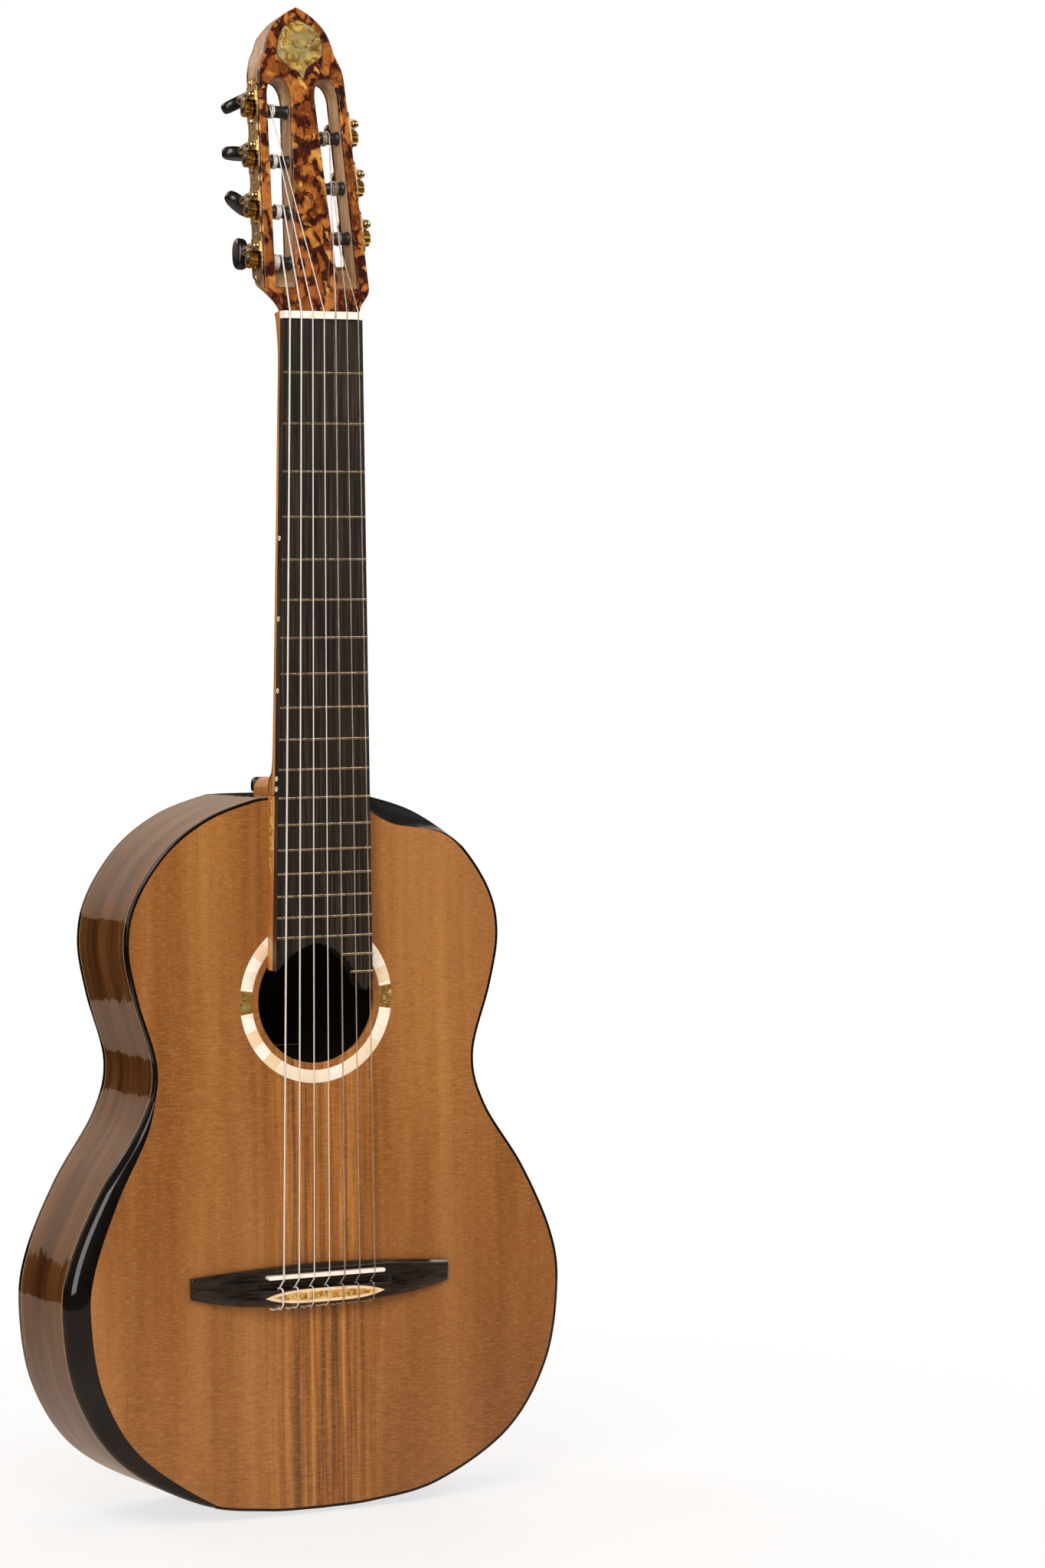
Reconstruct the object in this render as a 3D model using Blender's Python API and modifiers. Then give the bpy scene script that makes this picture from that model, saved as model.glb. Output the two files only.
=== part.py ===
"""Seven-string classical guitar with a slotted head, as separate pieces.

Units are metres. X runs to the treble side, Y to the back and Z up the neck.
The origin is the middle of the nut's lower edge, level with the top of the
fingerboard. The body and the head are tilted to the fingerboard, so each has
a frame of its own: an empty whose Y axis runs from its front to its back.
"""

import math

import bmesh
import bpy
from mathutils import Matrix, Vector

MM = 0.001

# Gap between pieces that touch on the real guitar.
CLEAR = 0.3 * MM

# Fingerboard and strings.
SCALE_LENGTH = 650.0 * MM
NUT_WIDTH = 59.0 * MM
WIDTH_AT_FRET_12 = 69.6 * MM
BOARD_THICK = 6.0 * MM
FRETS = 20
FRET_WIDTH = 2.2 * MM
FRET_HEIGHT = 0.8 * MM
NUT_LENGTH = 5.0 * MM
STRING_RADII = [r * MM for r in (0.36, 0.41, 0.52, 0.38, 0.45, 0.57, 0.67)]
SPACING_AT_NUT = 8.55 * MM
SPACING_AT_SADDLE = 11.5 * MM
SADDLE_SHIFT = 1.5 * MM
NUT_ACTION = 1.1 * MM
SADDLE_TOP = 3.2 * MM

# Neck shaft, heel and foot.
NECK_DEPTH_AT_NUT = 15.2 * MM
NECK_DEPTH_AT_HEEL = 17.7 * MM
VOLUTE_DEPTH = 17.9 * MM
HEEL_WIDTH_AT_CAP = 16.6 * MM
HEEL_LENGTH_AT_CAP = 11.0 * MM
HEEL_CAP_DEPTH = 8.0 * MM
HEEL_CAP_PROUD = 2.0 * MM
FOOT_WIDTH = 60.0 * MM
FOOT_LENGTH = 42.0 * MM
TENON_WIDTH = 16.0 * MM

# Body.
BODY_JOINT = SCALE_LENGTH / 2
BODY_TILT = math.radians(-1.15)
BOARD_OVER_TOP = 16.5 * MM
BODY_LENGTH = 491.0 * MM
UPPER_BOUT = 281.0 * MM
WAIST = 241.0 * MM
LOWER_BOUT = 371.0 * MM
NECK_SHOULDER = 64.0 * MM
DEPTH_AT_HEEL = 90.0 * MM
DEPTH_AT_TAIL = 104.0 * MM
BACK_ARCH_RADIUS = 2000.0 * MM
TOP_THICK = 2.5 * MM
BACK_THICK = 2.8 * MM
RIB_THICK = 2.2 * MM
LINING_WIDTH = 7.0 * MM
LINING_DEPTH = 14.0 * MM
BINDING_WIDTH = 2.0 * MM
BINDING_DEPTH = 5.0 * MM
OUTLINE_STATIONS = 60

# Soundhole and rosette.
HOLE_FROM_JOINT = 139.8 * MM
HOLE_RADIUS = 43.5 * MM
ROSETTE_INNER = 48.4 * MM
ROSETTE_OUTER = 57.3 * MM
ROSETTE_THICK = 1.0 * MM
ROUND_STEPS = 32

# Black bevels on the edge of the soundboard.
ARMREST_TOP = 203.0 * MM
ARMREST_TAIL = 484.0 * MM
ARMREST_WIDTH = 16.5 * MM
ARMREST_DROP = 11.0 * MM
CUTAWAY_END = 36.0 * MM
CUTAWAY_WIDTH = 12.0 * MM
CUTAWAY_DROP = 13.0 * MM
BEVEL_THICK = 4.0 * MM

# Braces.
BRACE_WIDTH = 6.0 * MM
FAN_HEIGHT = 5.0 * MM
FAN_COUNT = 5
FAN_FROM_TAIL = 60.0 * MM
HARMONIC_BAR_HEIGHT = 16.0 * MM
BACK_BRACE_HEIGHT = 14.0 * MM
BACK_BRACE_PLACES = [s * MM for s in (75.0, 205.0, 345.0)]

# Bridge, measured from its top edge and from the soundboard.
BRIDGE_FROM_JOINT = 320.0 * MM
BRIDGE_LENGTH = 194.0 * MM
BRIDGE_BLOCK = 93.0 * MM
WING_HEIGHT = 3.6 * MM
SADDLE_FROM_EDGE = 7.5 * MM
SADDLE_THICK = 2.7 * MM
SADDLE_LENGTH = 88.6 * MM
SADDLE_SINK = 5.0 * MM
TIE_BLOCK_HEIGHT = 9.0 * MM
TIE_HOLE_HEIGHT = 5.5 * MM
TIE_HOLE_RADIUS = 1.1 * MM
TRIM_LENGTH = 90.0 * MM
TRIM_WIDTH = 7.6 * MM
TRIM_THICK = 0.8 * MM

# Head.
HEAD_TILT = math.radians(-10.0)
HEAD_THICK = 20.5 * MM
HEAD_PLATE = 2.5 * MM
HEAD_HALF_AT_NUT = 39.75 * MM
HEAD_TAPER = 0.0471
SLOT_BOTTOM = 14.0 * MM
SLOT_TOP = 148.0 * MM
SLOT_ROUND = 15.0 * MM
SLOT_RAMP = 23.0 * MM
SLOT_INNER = (16.0 * MM, 8.7 * MM)
SLOT_OUTER = (31.3 * MM, 27.0 * MM)

# Tuning machines, in a frame on the side of the head: X outward, Y to the back.
BASS_ROLLERS = [v * MM for v in (36.5, 71.5, 106.5, 141.5)]
TREBLE_ROLLERS = [v * MM for v in (54.0, 89.0, 124.0)]
ROLLER_FROM_FRONT = 9.5 * MM
ROLLER_RADIUS = 5.0 * MM
ROLLER_WAIST = 4.2 * MM
ROLLER_SHAFT = 3.0 * MM
ROLLER_PIN_LENGTH = 4.6 * MM
RUNNING = 0.45 * MM
GEAR_TEETH = 16
GEAR_OUTER = 5.9 * MM
GEAR_ROOT = 4.8 * MM
GEAR_INSIDE = 2.6 * MM
GEAR_WIDTH = 5.4 * MM
TOOTH_PITCH = 2.16 * MM
TOOTH_TIP = 0.5 * MM
TOOTH_FOOT = 0.9 * MM
WORM_OUTER = 3.3 * MM
WORM_ROOT = 2.2 * MM
WORM_STEPS = 8
CENTRE_DISTANCE = 8.5 * MM
WORM_SHAFT = 1.6 * MM
PLATE_THICK = 1.2 * MM
PLATE_WIDTH = 17.5 * MM
PLATE_OVERHANG = 16.0 * MM
BEARING_HALF = 3.2 * MM
BEARING_FRONT = (-7.0 * MM, -3.5 * MM)
BEARING_BACK = (4.3 * MM, 7.5 * MM)
BUTTON_LENGTH = 22.0 * MM
BUTTON_WIDTH = 13.0 * MM
BUTTON_THICK = 8.0 * MM
BUTTON_START = 11.8 * MM
BUTTON_BORE_DEPTH = 5.6 * MM
WINDING_TURNS = 2.1
WINDING_GAP = 0.45 * MM
WINDING_STEPS = 10

# String number, head side, roller place, winding's distance from the middle
# of the head, and the angle that its button rests at.
TUNERS = [
    (1, 1, TREBLE_ROLLERS[0], 20.0 * MM, 40.0),
    (2, 1, TREBLE_ROLLERS[1], 20.0 * MM, 30.0),
    (3, 1, TREBLE_ROLLERS[2], 20.0 * MM, 15.0),
    (4, -1, BASS_ROLLERS[3], 23.0 * MM, -28.0),
    (5, -1, BASS_ROLLERS[2], 19.0 * MM, 0.0),
    (6, -1, BASS_ROLLERS[1], 18.5 * MM, 37.0),
    (7, -1, BASS_ROLLERS[0], 22.4 * MM, 90.0),
]

AXIS_TURN = {
    "X": Matrix(((0, 0, 1, 0), (1, 0, 0, 0), (0, 1, 0, 0), (0, 0, 0, 1))),
    "Y": Matrix(((1, 0, 0, 0), (0, 0, -1, 0), (0, 1, 0, 0), (0, 0, 0, 1))),
    "Z": Matrix.Identity(4),
}


# Scene and materials

def clear_scene():
    """Remove every object of the open scene."""
    for obj in list(bpy.data.objects):
        bpy.data.objects.remove(obj, do_unlink=True)


def new_collection(name):
    """A collection linked to the scene."""
    collection = bpy.data.collections.new(name)
    bpy.context.scene.collection.children.link(collection)
    return collection


def linear(channel):
    """One sRGB channel, 0 to 255, as a linear value."""
    value = channel / 255
    if value <= 0.04045:
        return value / 12.92
    return ((value + 0.055) / 1.055) ** 2.4


def finish(name, colour, roughness, metallic=0.0):
    """A Principled material of one sRGB colour, given as 0xRRGGBB."""
    made = bpy.data.materials.new(name)
    made.use_nodes = True
    shader = made.node_tree.nodes["Principled BSDF"]
    channels = [linear(colour >> shift & 255) for shift in (16, 8, 0)]
    shader.inputs["Base Color"].default_value = (*channels, 1.0)
    shader.inputs["Roughness"].default_value = roughness
    shader.inputs["Metallic"].default_value = metallic
    return made


clear_scene()
PARTS = new_collection("seven_string_guitar")
TOOLS = new_collection("cutters")

CEDAR = finish("cedar_top", 0xC08A4E, 0.35)
ROSEWOOD = finish("rosewood_rib", 0x3A1F14, 0.25)
BACK_WOOD = finish("figured_back", 0x8A4A1E, 0.25)
BLACK_LACQUER = finish("black_lacquer", 0x0C0A0A, 0.12)
NECK_WOOD = finish("cedar_neck", 0xB47A3C, 0.3)
AMBER_MOSAIC = finish("amber_mosaic", 0xC46A14, 0.15)
EBONY = finish("ebony", 0x14110F, 0.35)
BONE = finish("bone", 0xE8DFC8, 0.4)
IVORY = finish("ivory_inlay", 0xDCCFA8, 0.4)
SPRUCE = finish("spruce_brace", 0xD6BC8C, 0.6)
GOLD = finish("gold_plate", 0xC8A050, 0.25, 1.0)
STEEL = finish("bright_steel", 0xB8B4AC, 0.25, 1.0)
ROLLER_BLACK = finish("black_roller", 0x141414, 0.3)
BUTTON_BLACK = finish("black_button", 0x0A0A0C, 0.15)
SILVER_STRING = finish("wound_string", 0xC8C4BC, 0.3, 1.0)
CLEAR_STRING = finish("clear_string", 0xD8D2C4, 0.3)


# Making objects

def add(name, data, material=None, parent=None, matrix=None):
    """Link a new object; without a material it is a hidden tool."""
    obj = bpy.data.objects.new(name, data)
    obj.parent = parent
    if matrix is not None:
        obj.matrix_local = matrix
    if material is None:
        TOOLS.objects.link(obj)
        obj.hide_render = True
        obj.display_type = "WIRE"
    else:
        PARTS.objects.link(obj)
        if not data.materials:
            data.materials.append(material)
    return obj


def tilted_frame(name, location, angle):
    """An empty at a place, turned about X."""
    empty = bpy.data.objects.new(name, None)
    PARTS.objects.link(empty)
    empty.matrix_local = Matrix.Translation(location) @ Matrix.Rotation(angle, 4, "X")
    return empty


def closed_mesh(name, bm):
    """A mesh from a bmesh, welded and with its faces pointing out."""
    bmesh.ops.remove_doubles(bm, verts=bm.verts, dist=0.002 * MM)
    bmesh.ops.recalc_face_normals(bm, faces=bm.faces)
    mesh = bpy.data.meshes.new(name)
    bm.to_mesh(mesh)
    bm.free()
    return mesh


def evaluated_mesh(obj):
    """The object's mesh with its modifiers, as a welded bmesh."""
    bpy.context.view_layer.update()
    depsgraph = bpy.context.evaluated_depsgraph_get()
    mesh = bpy.data.meshes.new_from_object(obj.evaluated_get(depsgraph))
    bm = bmesh.new()
    bm.from_mesh(mesh)
    bpy.data.meshes.remove(mesh)
    return bm


def baked(obj):
    """Turn an object with modifiers, or a curve, into a plain mesh."""
    mesh = closed_mesh(obj.name, evaluated_mesh(obj))
    bpy.data.objects.remove(obj, do_unlink=True)
    return mesh


def slab(name, outlines, axis, start, end, material=None, parent=None, place=None):
    """A flat outline, with its holes, given a thickness along an axis."""
    curve = bpy.data.curves.new(name, "CURVE")
    curve.dimensions = "2D"
    curve.fill_mode = "BOTH"
    curve.extrude = (end - start) / 2
    for outline in outlines:
        spline = curve.splines.new("POLY")
        spline.points.add(len(outline) - 1)
        for point, (across, along) in zip(spline.points, outline):
            point.co = (across, along, 0, 1)
        spline.use_cyclic_u = True
    mesh = baked(add(name + "_outline", curve))
    turn = AXIS_TURN[axis]
    middle = turn.to_3x3() @ Vector((0, 0, 1)) * ((start + end) / 2)
    if axis == "Y":
        middle = -middle
    local = (place or Matrix.Identity(4)) @ Matrix.Translation(middle) @ turn
    return add(name, mesh, material, parent, local)


def box(name, low, high, material=None, parent=None, place=None):
    """A block between two corners."""
    bm = bmesh.new()
    bmesh.ops.create_cube(bm, size=1.0)
    size = [top - bottom for bottom, top in zip(low, high)]
    centre = [(top + bottom) / 2 for bottom, top in zip(low, high)]
    bmesh.ops.scale(bm, verts=bm.verts, vec=size)
    bmesh.ops.translate(bm, verts=bm.verts, vec=centre)
    return add(name, closed_mesh(name, bm), material, parent, place)


def loft(name, rings, material=None, parent=None, place=None, closed=False):
    """A skin through rings of equally many points, capped unless closed."""
    bm = bmesh.new()
    rows = [[bm.verts.new(point) for point in ring] for ring in rings]
    pairs = list(zip(rows, rows[1:]))
    if closed:
        pairs.append((rows[-1], rows[0]))
    count = len(rows[0])
    for first, second in pairs:
        for i in range(count):
            j = (i + 1) % count
            bm.faces.new((first[i], first[j], second[j], second[i]))
    if not closed:
        bm.faces.new(rows[0])
        bm.faces.new(rows[-1])
    return add(name, closed_mesh(name, bm), material, parent, place)


def turned(name, profile, steps, material=None, parent=None, place=None):
    """A (radius, height) profile, from top to bottom, turned about Z."""
    mesh = bpy.data.meshes.new(name)
    verts = [(radius, 0.0, height) for radius, height in profile]
    edges = [(i, i + 1) for i in range(len(profile) - 1)]
    mesh.from_pydata(verts, edges, [])
    obj = add(name, mesh, material, parent, place)
    screw = obj.modifiers.new("Turn", "SCREW")
    screw.steps = steps
    screw.render_steps = steps
    screw.use_merge_vertices = True
    screw.merge_threshold = 0.00001
    return obj


def tube(name, points, radius, resolution, material=None, parent=None, place=None):
    """A round tube along points, with closed ends."""
    curve = bpy.data.curves.new(name, "CURVE")
    curve.dimensions = "3D"
    curve.bevel_depth = radius
    curve.bevel_resolution = resolution
    curve.use_fill_caps = True
    spline = curve.splines.new("POLY")
    spline.points.add(len(points) - 1)
    for point, place_at in zip(spline.points, points):
        point.co = (*place_at, 1)
    return add(name, curve, material, parent, place)


def combine(target, tool, operation):
    """Add an exact Boolean of a tool to an object."""
    step = target.modifiers.new(tool.name, "BOOLEAN")
    step.operation = operation
    step.object = tool
    step.solver = "EXACT"


def gathered(name, objects):
    """One tool holding the shapes of several, none of which may touch."""
    whole = bmesh.new()
    for obj in objects:
        bm = evaluated_mesh(obj)
        bmesh.ops.remove_doubles(bm, verts=bm.verts, dist=0.002 * MM)
        bm.transform(obj.matrix_world)
        piece = bpy.data.meshes.new(name)
        bm.to_mesh(piece)
        bm.free()
        whole.from_mesh(piece)
        bpy.data.meshes.remove(piece)
        bpy.data.objects.remove(obj, do_unlink=True)
    return add(name, closed_mesh(name, whole))


def bevelled(obj, width, segments=1):
    """Give an object's sharp edges a bevel."""
    step = obj.modifiers.new("Edges", "BEVEL")
    step.width = width
    step.segments = segments
    step.limit_method = "ANGLE"
    return obj


# Plain geometry

def smooth(points, steps):
    """Points on a smooth curve through open points."""
    ends = [2 * Vector(points[0]) - Vector(points[1])]
    ends += [Vector(point) for point in points]
    ends.append(2 * Vector(points[-1]) - Vector(points[-2]))
    result = []
    for a, b, c, d in zip(ends, ends[1:], ends[2:], ends[3:]):
        for i in range(steps):
            t = i / steps
            bend = 2 * a - 5 * b + 4 * c - d
            twist = 3 * b - a - 3 * c + d
            result.append(b + ((c - a) * t + bend * t * t + twist * t ** 3) / 2)
    result.append(ends[-2])
    return result


def circle(radius, steps, centre=(0.0, 0.0)):
    """Points round a circle."""
    angles = [math.tau * i / steps for i in range(steps)]
    return [
        (centre[0] + radius * math.cos(a), centre[1] + radius * math.sin(a)) for a in angles
    ]


def oval_arc(half_width, height, power, steps):
    """Half a superellipse, from +half_width over height to -half_width."""
    points = []
    for i in range(steps + 1):
        angle = math.pi * i / steps
        across = abs(math.cos(angle)) ** (2 / power) * math.copysign(1, math.cos(angle))
        points.append((half_width * across, height * max(math.sin(angle), 0.0) ** (2 / power)))
    return points


# Body outline: places on the edge are lengths along it from the neck, past the treble side

# Width that each point belongs to, its share of half that width, and its share of the length.
OUTLINE_SHAPE = [
    (UPPER_BOUT, 0.327, 0.003),
    (UPPER_BOUT, 0.569, 0.0265),
    (UPPER_BOUT, 0.790, 0.0713),
    (UPPER_BOUT, 0.954, 0.1385),
    (UPPER_BOUT, 1.0, 0.2016),
    (UPPER_BOUT, 0.954, 0.275),
    (WAIST, 1.0, 0.3707),
    (LOWER_BOUT, 0.695, 0.444),
    (LOWER_BOUT, 0.852, 0.5356),
    (LOWER_BOUT, 0.970, 0.6314),
    (LOWER_BOUT, 1.0, 0.7088),
    (LOWER_BOUT, 0.949, 0.8187),
    (LOWER_BOUT, 0.782, 0.9145),
    (LOWER_BOUT, 0.485, 0.9786),
    (LOWER_BOUT, 0.216, 0.9969),
    (LOWER_BOUT, 0.0, 1.0),
]


def outline_loop():
    """Closed outline as (across, down) points, from the neck by the treble side."""
    points = [(NECK_SHOULDER / 2, 0.0)]
    points += [(w / 2 * across, BODY_LENGTH * down) for w, across, down in OUTLINE_SHAPE]
    half = smooth(points, 5)
    other = [Vector((-point.x, point.y)) for point in reversed(half[:-1])]
    return half + other


def loop_lengths(loop):
    """Length along the loop at each point, starting from the middle of the neck."""
    lengths = [loop[0].x]
    for first, second in zip(loop, loop[1:]):
        lengths.append(lengths[-1] + (second - first).length)
    return lengths


LOOP = outline_loop()
LOOP_LENGTHS = loop_lengths(LOOP)
EDGE_LENGTH = LOOP_LENGTHS[-1] + NECK_SHOULDER / 2
STATION_STEP = EDGE_LENGTH / OUTLINE_STATIONS
FOOT_EDGE = FOOT_WIDTH / 2 + 1.0 * MM


def on_loop(place):
    """Point of the outline at a length along it."""
    place = place % EDGE_LENGTH
    if place <= LOOP_LENGTHS[0]:
        return Vector((place, 0.0))
    for i, reached in enumerate(LOOP_LENGTHS[1:]):
        if place <= reached:
            share = (place - LOOP_LENGTHS[i]) / (reached - LOOP_LENGTHS[i])
            return LOOP[i].lerp(LOOP[i + 1], share)
    return Vector((place - EDGE_LENGTH, 0.0))


def edge_point(place, inset):
    """Point of the outline moved inward."""
    step = 1.0 * MM
    along = (on_loop(place + step) - on_loop(place - step)).normalized()
    return on_loop(place) + Vector((-along.y, along.x)) * inset


def edge_stations():
    """Even steps along the edge, and one on each side of the neck's foot."""
    even = [i * STATION_STEP for i in range(OUTLINE_STATIONS // 2 + 1)]
    half = sorted([*even, FOOT_EDGE])
    return half + [EDGE_LENGTH - place for place in reversed(half[1:-1])]


STATIONS = edge_stations()
TAIL = len(STATIONS) // 2


def edge_loop(inset):
    """The whole outline at its stations, moved inward, as (x, z) points."""
    points = [edge_point(place, inset) for place in STATIONS]
    return [(point.x, -point.y) for point in points]


def station_at(down, side):
    """Number of the station nearest to a distance down the body, on one side."""
    best = min(range(TAIL + 1), key=lambda i: abs(on_loop(STATIONS[i]).y - down))
    return best if side > 0 else len(STATIONS) - best


def station_place(number):
    """Length along the edge of a station, also past the whole round."""
    rounds, index = divmod(number, len(STATIONS))
    return STATIONS[index] + rounds * EDGE_LENGTH


def stretch(first, last, parts=1):
    """Lengths from one station to another, each step in equal parts, half a gap at each end."""
    places = []
    for number in range(first, last):
        near, far = station_place(number), station_place(number + 1)
        places += [near + (far - near) * part / parts for part in range(parts)]
    places.append(station_place(last) - CLEAR / 2)
    places[0] += CLEAR / 2
    return places


def back_at(across, down):
    """Depth of the back's outer face."""
    centre = DEPTH_AT_HEEL + (DEPTH_AT_TAIL - DEPTH_AT_HEEL) * down / BODY_LENGTH
    return centre - across ** 2 / (2 * BACK_ARCH_RADIUS)


def swept(name, places, section, material=None, closed=False):
    """A strip along the edge; its section gives (inset, depth, from the back) points."""
    rings = []
    for index, place in enumerate(places):
        share = index / (len(places) - 1)
        ring = []
        for inset, depth, from_back in section(place, share):
            point = edge_point(place, inset)
            if from_back:
                depth = back_at(point.x, point.y) - depth
            ring.append((point.x, depth, -point.y))
        rings.append(ring)
    return loft(name, rings, material, BODY, closed=closed)


BODY = tilted_frame("body_frame", (0.0, BOARD_OVER_TOP, -BODY_JOINT), BODY_TILT)
HEAD_ORIGIN = (0.0, BOARD_THICK, NUT_LENGTH)
HEAD = tilted_frame("head_frame", HEAD_ORIGIN, HEAD_TILT)

SEAT = TOP_THICK + CLEAR
LEDGE = BINDING_WIDTH + CLEAR
INNER_AT_NECK = BINDING_WIDTH + 2 * CLEAR
ARCH_SLACK = 0.15 * MM


# Ribs and bindings

def rib_section(place, share):
    """Wall with a lining at its front and back and a ledge for each binding."""
    from_neck = min(place, EDGE_LENGTH - place)
    inner = LINING_WIDTH if from_neck > FOOT_EDGE + CLEAR else INNER_AT_NECK
    slope = LINING_WIDTH - RIB_THICK
    back_seat = BACK_THICK + CLEAR
    return [
        (LEDGE, SEAT, False),
        (inner, SEAT, False),
        (inner, SEAT + LINING_DEPTH - slope, False),
        (RIB_THICK, SEAT + LINING_DEPTH, False),
        (RIB_THICK, back_seat + LINING_DEPTH, True),
        (inner, back_seat + LINING_DEPTH - slope, True),
        (inner, back_seat, True),
        (LEDGE, back_seat, True),
        (LEDGE, BINDING_DEPTH + CLEAR, True),
        (0.0, BINDING_DEPTH + CLEAR, True),
        (0.0, BINDING_DEPTH + CLEAR, False),
        (LEDGE, BINDING_DEPTH + CLEAR, False),
    ]


def rib_places():
    """Lengths along the treble side for a rib, from the tenon to the tail."""
    ends = TENON_WIDTH / 2 + CLEAR, EDGE_LENGTH / 2 - CLEAR / 2
    return [ends[0], *STATIONS[1:TAIL], ends[1]]


def make_ribs():
    """The two sides, which meet at the tail and butt on the neck's tenon."""
    treble = rib_places()
    bass = [EDGE_LENGTH - place for place in reversed(treble)]
    return [
        swept("rib_treble", treble, rib_section, ROSEWOOD),
        swept("rib_bass", bass, rib_section, ROSEWOOD),
    ]


def binding_section(from_back):
    """Section of a binding strip on the front or on the back edge."""
    depth = BINDING_DEPTH

    def section(place, share):
        corners = [(0.0, 0.0), (BINDING_WIDTH, 0.0), (BINDING_WIDTH, depth), (0.0, depth)]
        return [(inset, down, from_back) for inset, down in corners]

    return section


CUTAWAY_FIRST = STATIONS.index(FOOT_EDGE)
CUTAWAY_LAST = station_at(CUTAWAY_END, 1)
ARMREST_FIRST = station_at(ARMREST_TAIL, -1)
ARMREST_LAST = station_at(ARMREST_TOP, -1)


def make_bindings():
    """Front binding in two lengths between the bevels, and one round the back."""
    front = binding_section(False)
    bass = stretch(ARMREST_LAST, len(STATIONS) + CUTAWAY_FIRST)
    treble = stretch(CUTAWAY_LAST, ARMREST_FIRST)
    swept("binding_front_bass", bass, front, BLACK_LACQUER)
    swept("binding_front_treble", treble, front, BLACK_LACQUER)
    swept("binding_back", STATIONS, binding_section(True), BLACK_LACQUER, closed=True)


# Black bevels

def armrest_size(share):
    """Width and drop of the armrest along its length."""
    swell = math.sin(math.pi * share)
    width = BINDING_WIDTH + (ARMREST_WIDTH - BINDING_WIDTH) * swell ** 0.8
    return width, BINDING_DEPTH + (ARMREST_DROP - BINDING_DEPTH) * swell ** 0.6


def cutaway_size(share):
    """Width and drop of the cutaway scoop, which runs out away from the neck."""
    left = 1 - share
    width = BINDING_WIDTH + (CUTAWAY_WIDTH - BINDING_WIDTH) * left ** 0.9
    return width, BINDING_DEPTH + (CUTAWAY_DROP - BINDING_DEPTH) * left ** 0.7


def armrest_section(place, share):
    """Round face from the soundboard over to the rib."""
    width, drop = armrest_size(share)
    return [
        (width, 0.0, False),
        (width * 0.62, drop * 0.10, False),
        (width * 0.25, drop * 0.40, False),
        (0.0, drop, False),
        (width * 0.35, drop, False),
        (width, min(BEVEL_THICK, drop), False),
    ]


def cutaway_section(place, share):
    """Hollow face from the soundboard down to the rib."""
    width, drop = cutaway_size(share)
    return [
        (width, 0.0, False),
        (width * 0.72, drop * 0.45, False),
        (width * 0.40, drop * 0.80, False),
        (0.0, drop, False),
        (width * 0.40, drop, False),
        (width, max(BEVEL_THICK, drop / 2), False),
    ]


def bevel_seat(section):
    """Section of the room that a bevel takes from the top and the rib."""

    def room(place, share):
        inner, under, edge = [section(place, share)[i] for i in (5, 4, 3)]
        gap = CLEAR + 0.2 * MM
        return [
            (inner[0] + gap, -gap * 4, False),
            (-gap * 4, -gap * 4, False),
            (-gap * 4, edge[1] + gap, False),
            (0.0, edge[1] + gap, False),
            (under[0] + gap, under[1] + gap, False),
            (inner[0] + gap, inner[1] + gap, False),
        ]

    return room


def make_bevels(soundboard, ribs):
    """Armrest and cutaway, let into the soundboard and the ribs."""
    armrest = stretch(ARMREST_FIRST, ARMREST_LAST, 2)
    cutaway = stretch(CUTAWAY_FIRST, CUTAWAY_LAST, 6)
    swept("armrest_bevel", armrest, armrest_section, BLACK_LACQUER)
    swept("cutaway_bevel", cutaway, cutaway_section, BLACK_LACQUER)
    rib_treble, rib_bass = ribs
    for places, section, rib in (
        (armrest, armrest_section, rib_bass),
        (cutaway, cutaway_section, rib_treble),
    ):
        longer = [places[0] - CLEAR, *places[1:-1], places[-1] + CLEAR]
        seat = swept(rib.name + "_seat", longer, bevel_seat(section))
        combine(soundboard, seat, "DIFFERENCE")
        combine(rib, seat, "DIFFERENCE")


# Soundboard, rosette and back

def make_soundboard():
    """Flat top with its soundhole and the channel for the rosette."""
    centre = (0.0, -HOLE_FROM_JOINT)
    hole = circle(HOLE_RADIUS, ROUND_STEPS, centre)
    top = slab("soundboard", [edge_loop(LEDGE), hole], "Y", 0.0, TOP_THICK, CEDAR, BODY)
    channel = [
        circle(ROSETTE_OUTER + CLEAR, ROUND_STEPS, centre),
        circle(ROSETTE_INNER - CLEAR, ROUND_STEPS, centre),
    ]
    floor = ROSETTE_THICK + CLEAR
    cutter = slab("rosette_channel", channel, "Y", -TOP_THICK, floor, None, BODY)
    combine(top, cutter, "DIFFERENCE")
    ring = [circle(ROSETTE_OUTER, ROUND_STEPS, centre), circle(ROSETTE_INNER, ROUND_STEPS, centre)]
    slab("rosette", ring, "Y", 0.0, ROSETTE_THICK, IVORY, BODY)
    return top


def make_back():
    """Arched back: rows across the body, given their thickness inward."""
    columns = 6
    rows = []
    for place in STATIONS[1:TAIL]:
        edge = edge_point(place, LEDGE)
        if not rows or edge.y > rows[-1][1] + 0.5 * MM:
            rows.append((edge.x, edge.y))
    verts = []
    for half, down in rows:
        for j in range(columns + 1):
            across = half * (2 * j / columns - 1)
            verts.append((across, back_at(across, down), -down))
    faces = []
    for i in range(len(rows) - 1):
        for j in range(columns):
            corner = i * (columns + 1) + j
            below = corner + columns + 1
            faces.append((corner, corner + 1, below + 1, below))
    mesh = bpy.data.meshes.new("back_plate")
    mesh.from_pydata(verts, [], faces)
    back = add("back_plate", mesh, BACK_WOOD, BODY)
    shell = back.modifiers.new("Thickness", "SOLIDIFY")
    shell.thickness = BACK_THICK
    shell.offset = -1.0
    return back


# Braces and blocks inside the body

def inner_half(down):
    """Half of the room between the linings at a distance down the body."""
    points = [edge_point(place, LINING_WIDTH) for place in STATIONS[2:TAIL]]
    for above, below in zip(points, points[1:]):
        if above.y <= down <= below.y:
            share = (down - above.y) / (below.y - above.y)
            return above.lerp(below, share).x
    return points[0].x


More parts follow.
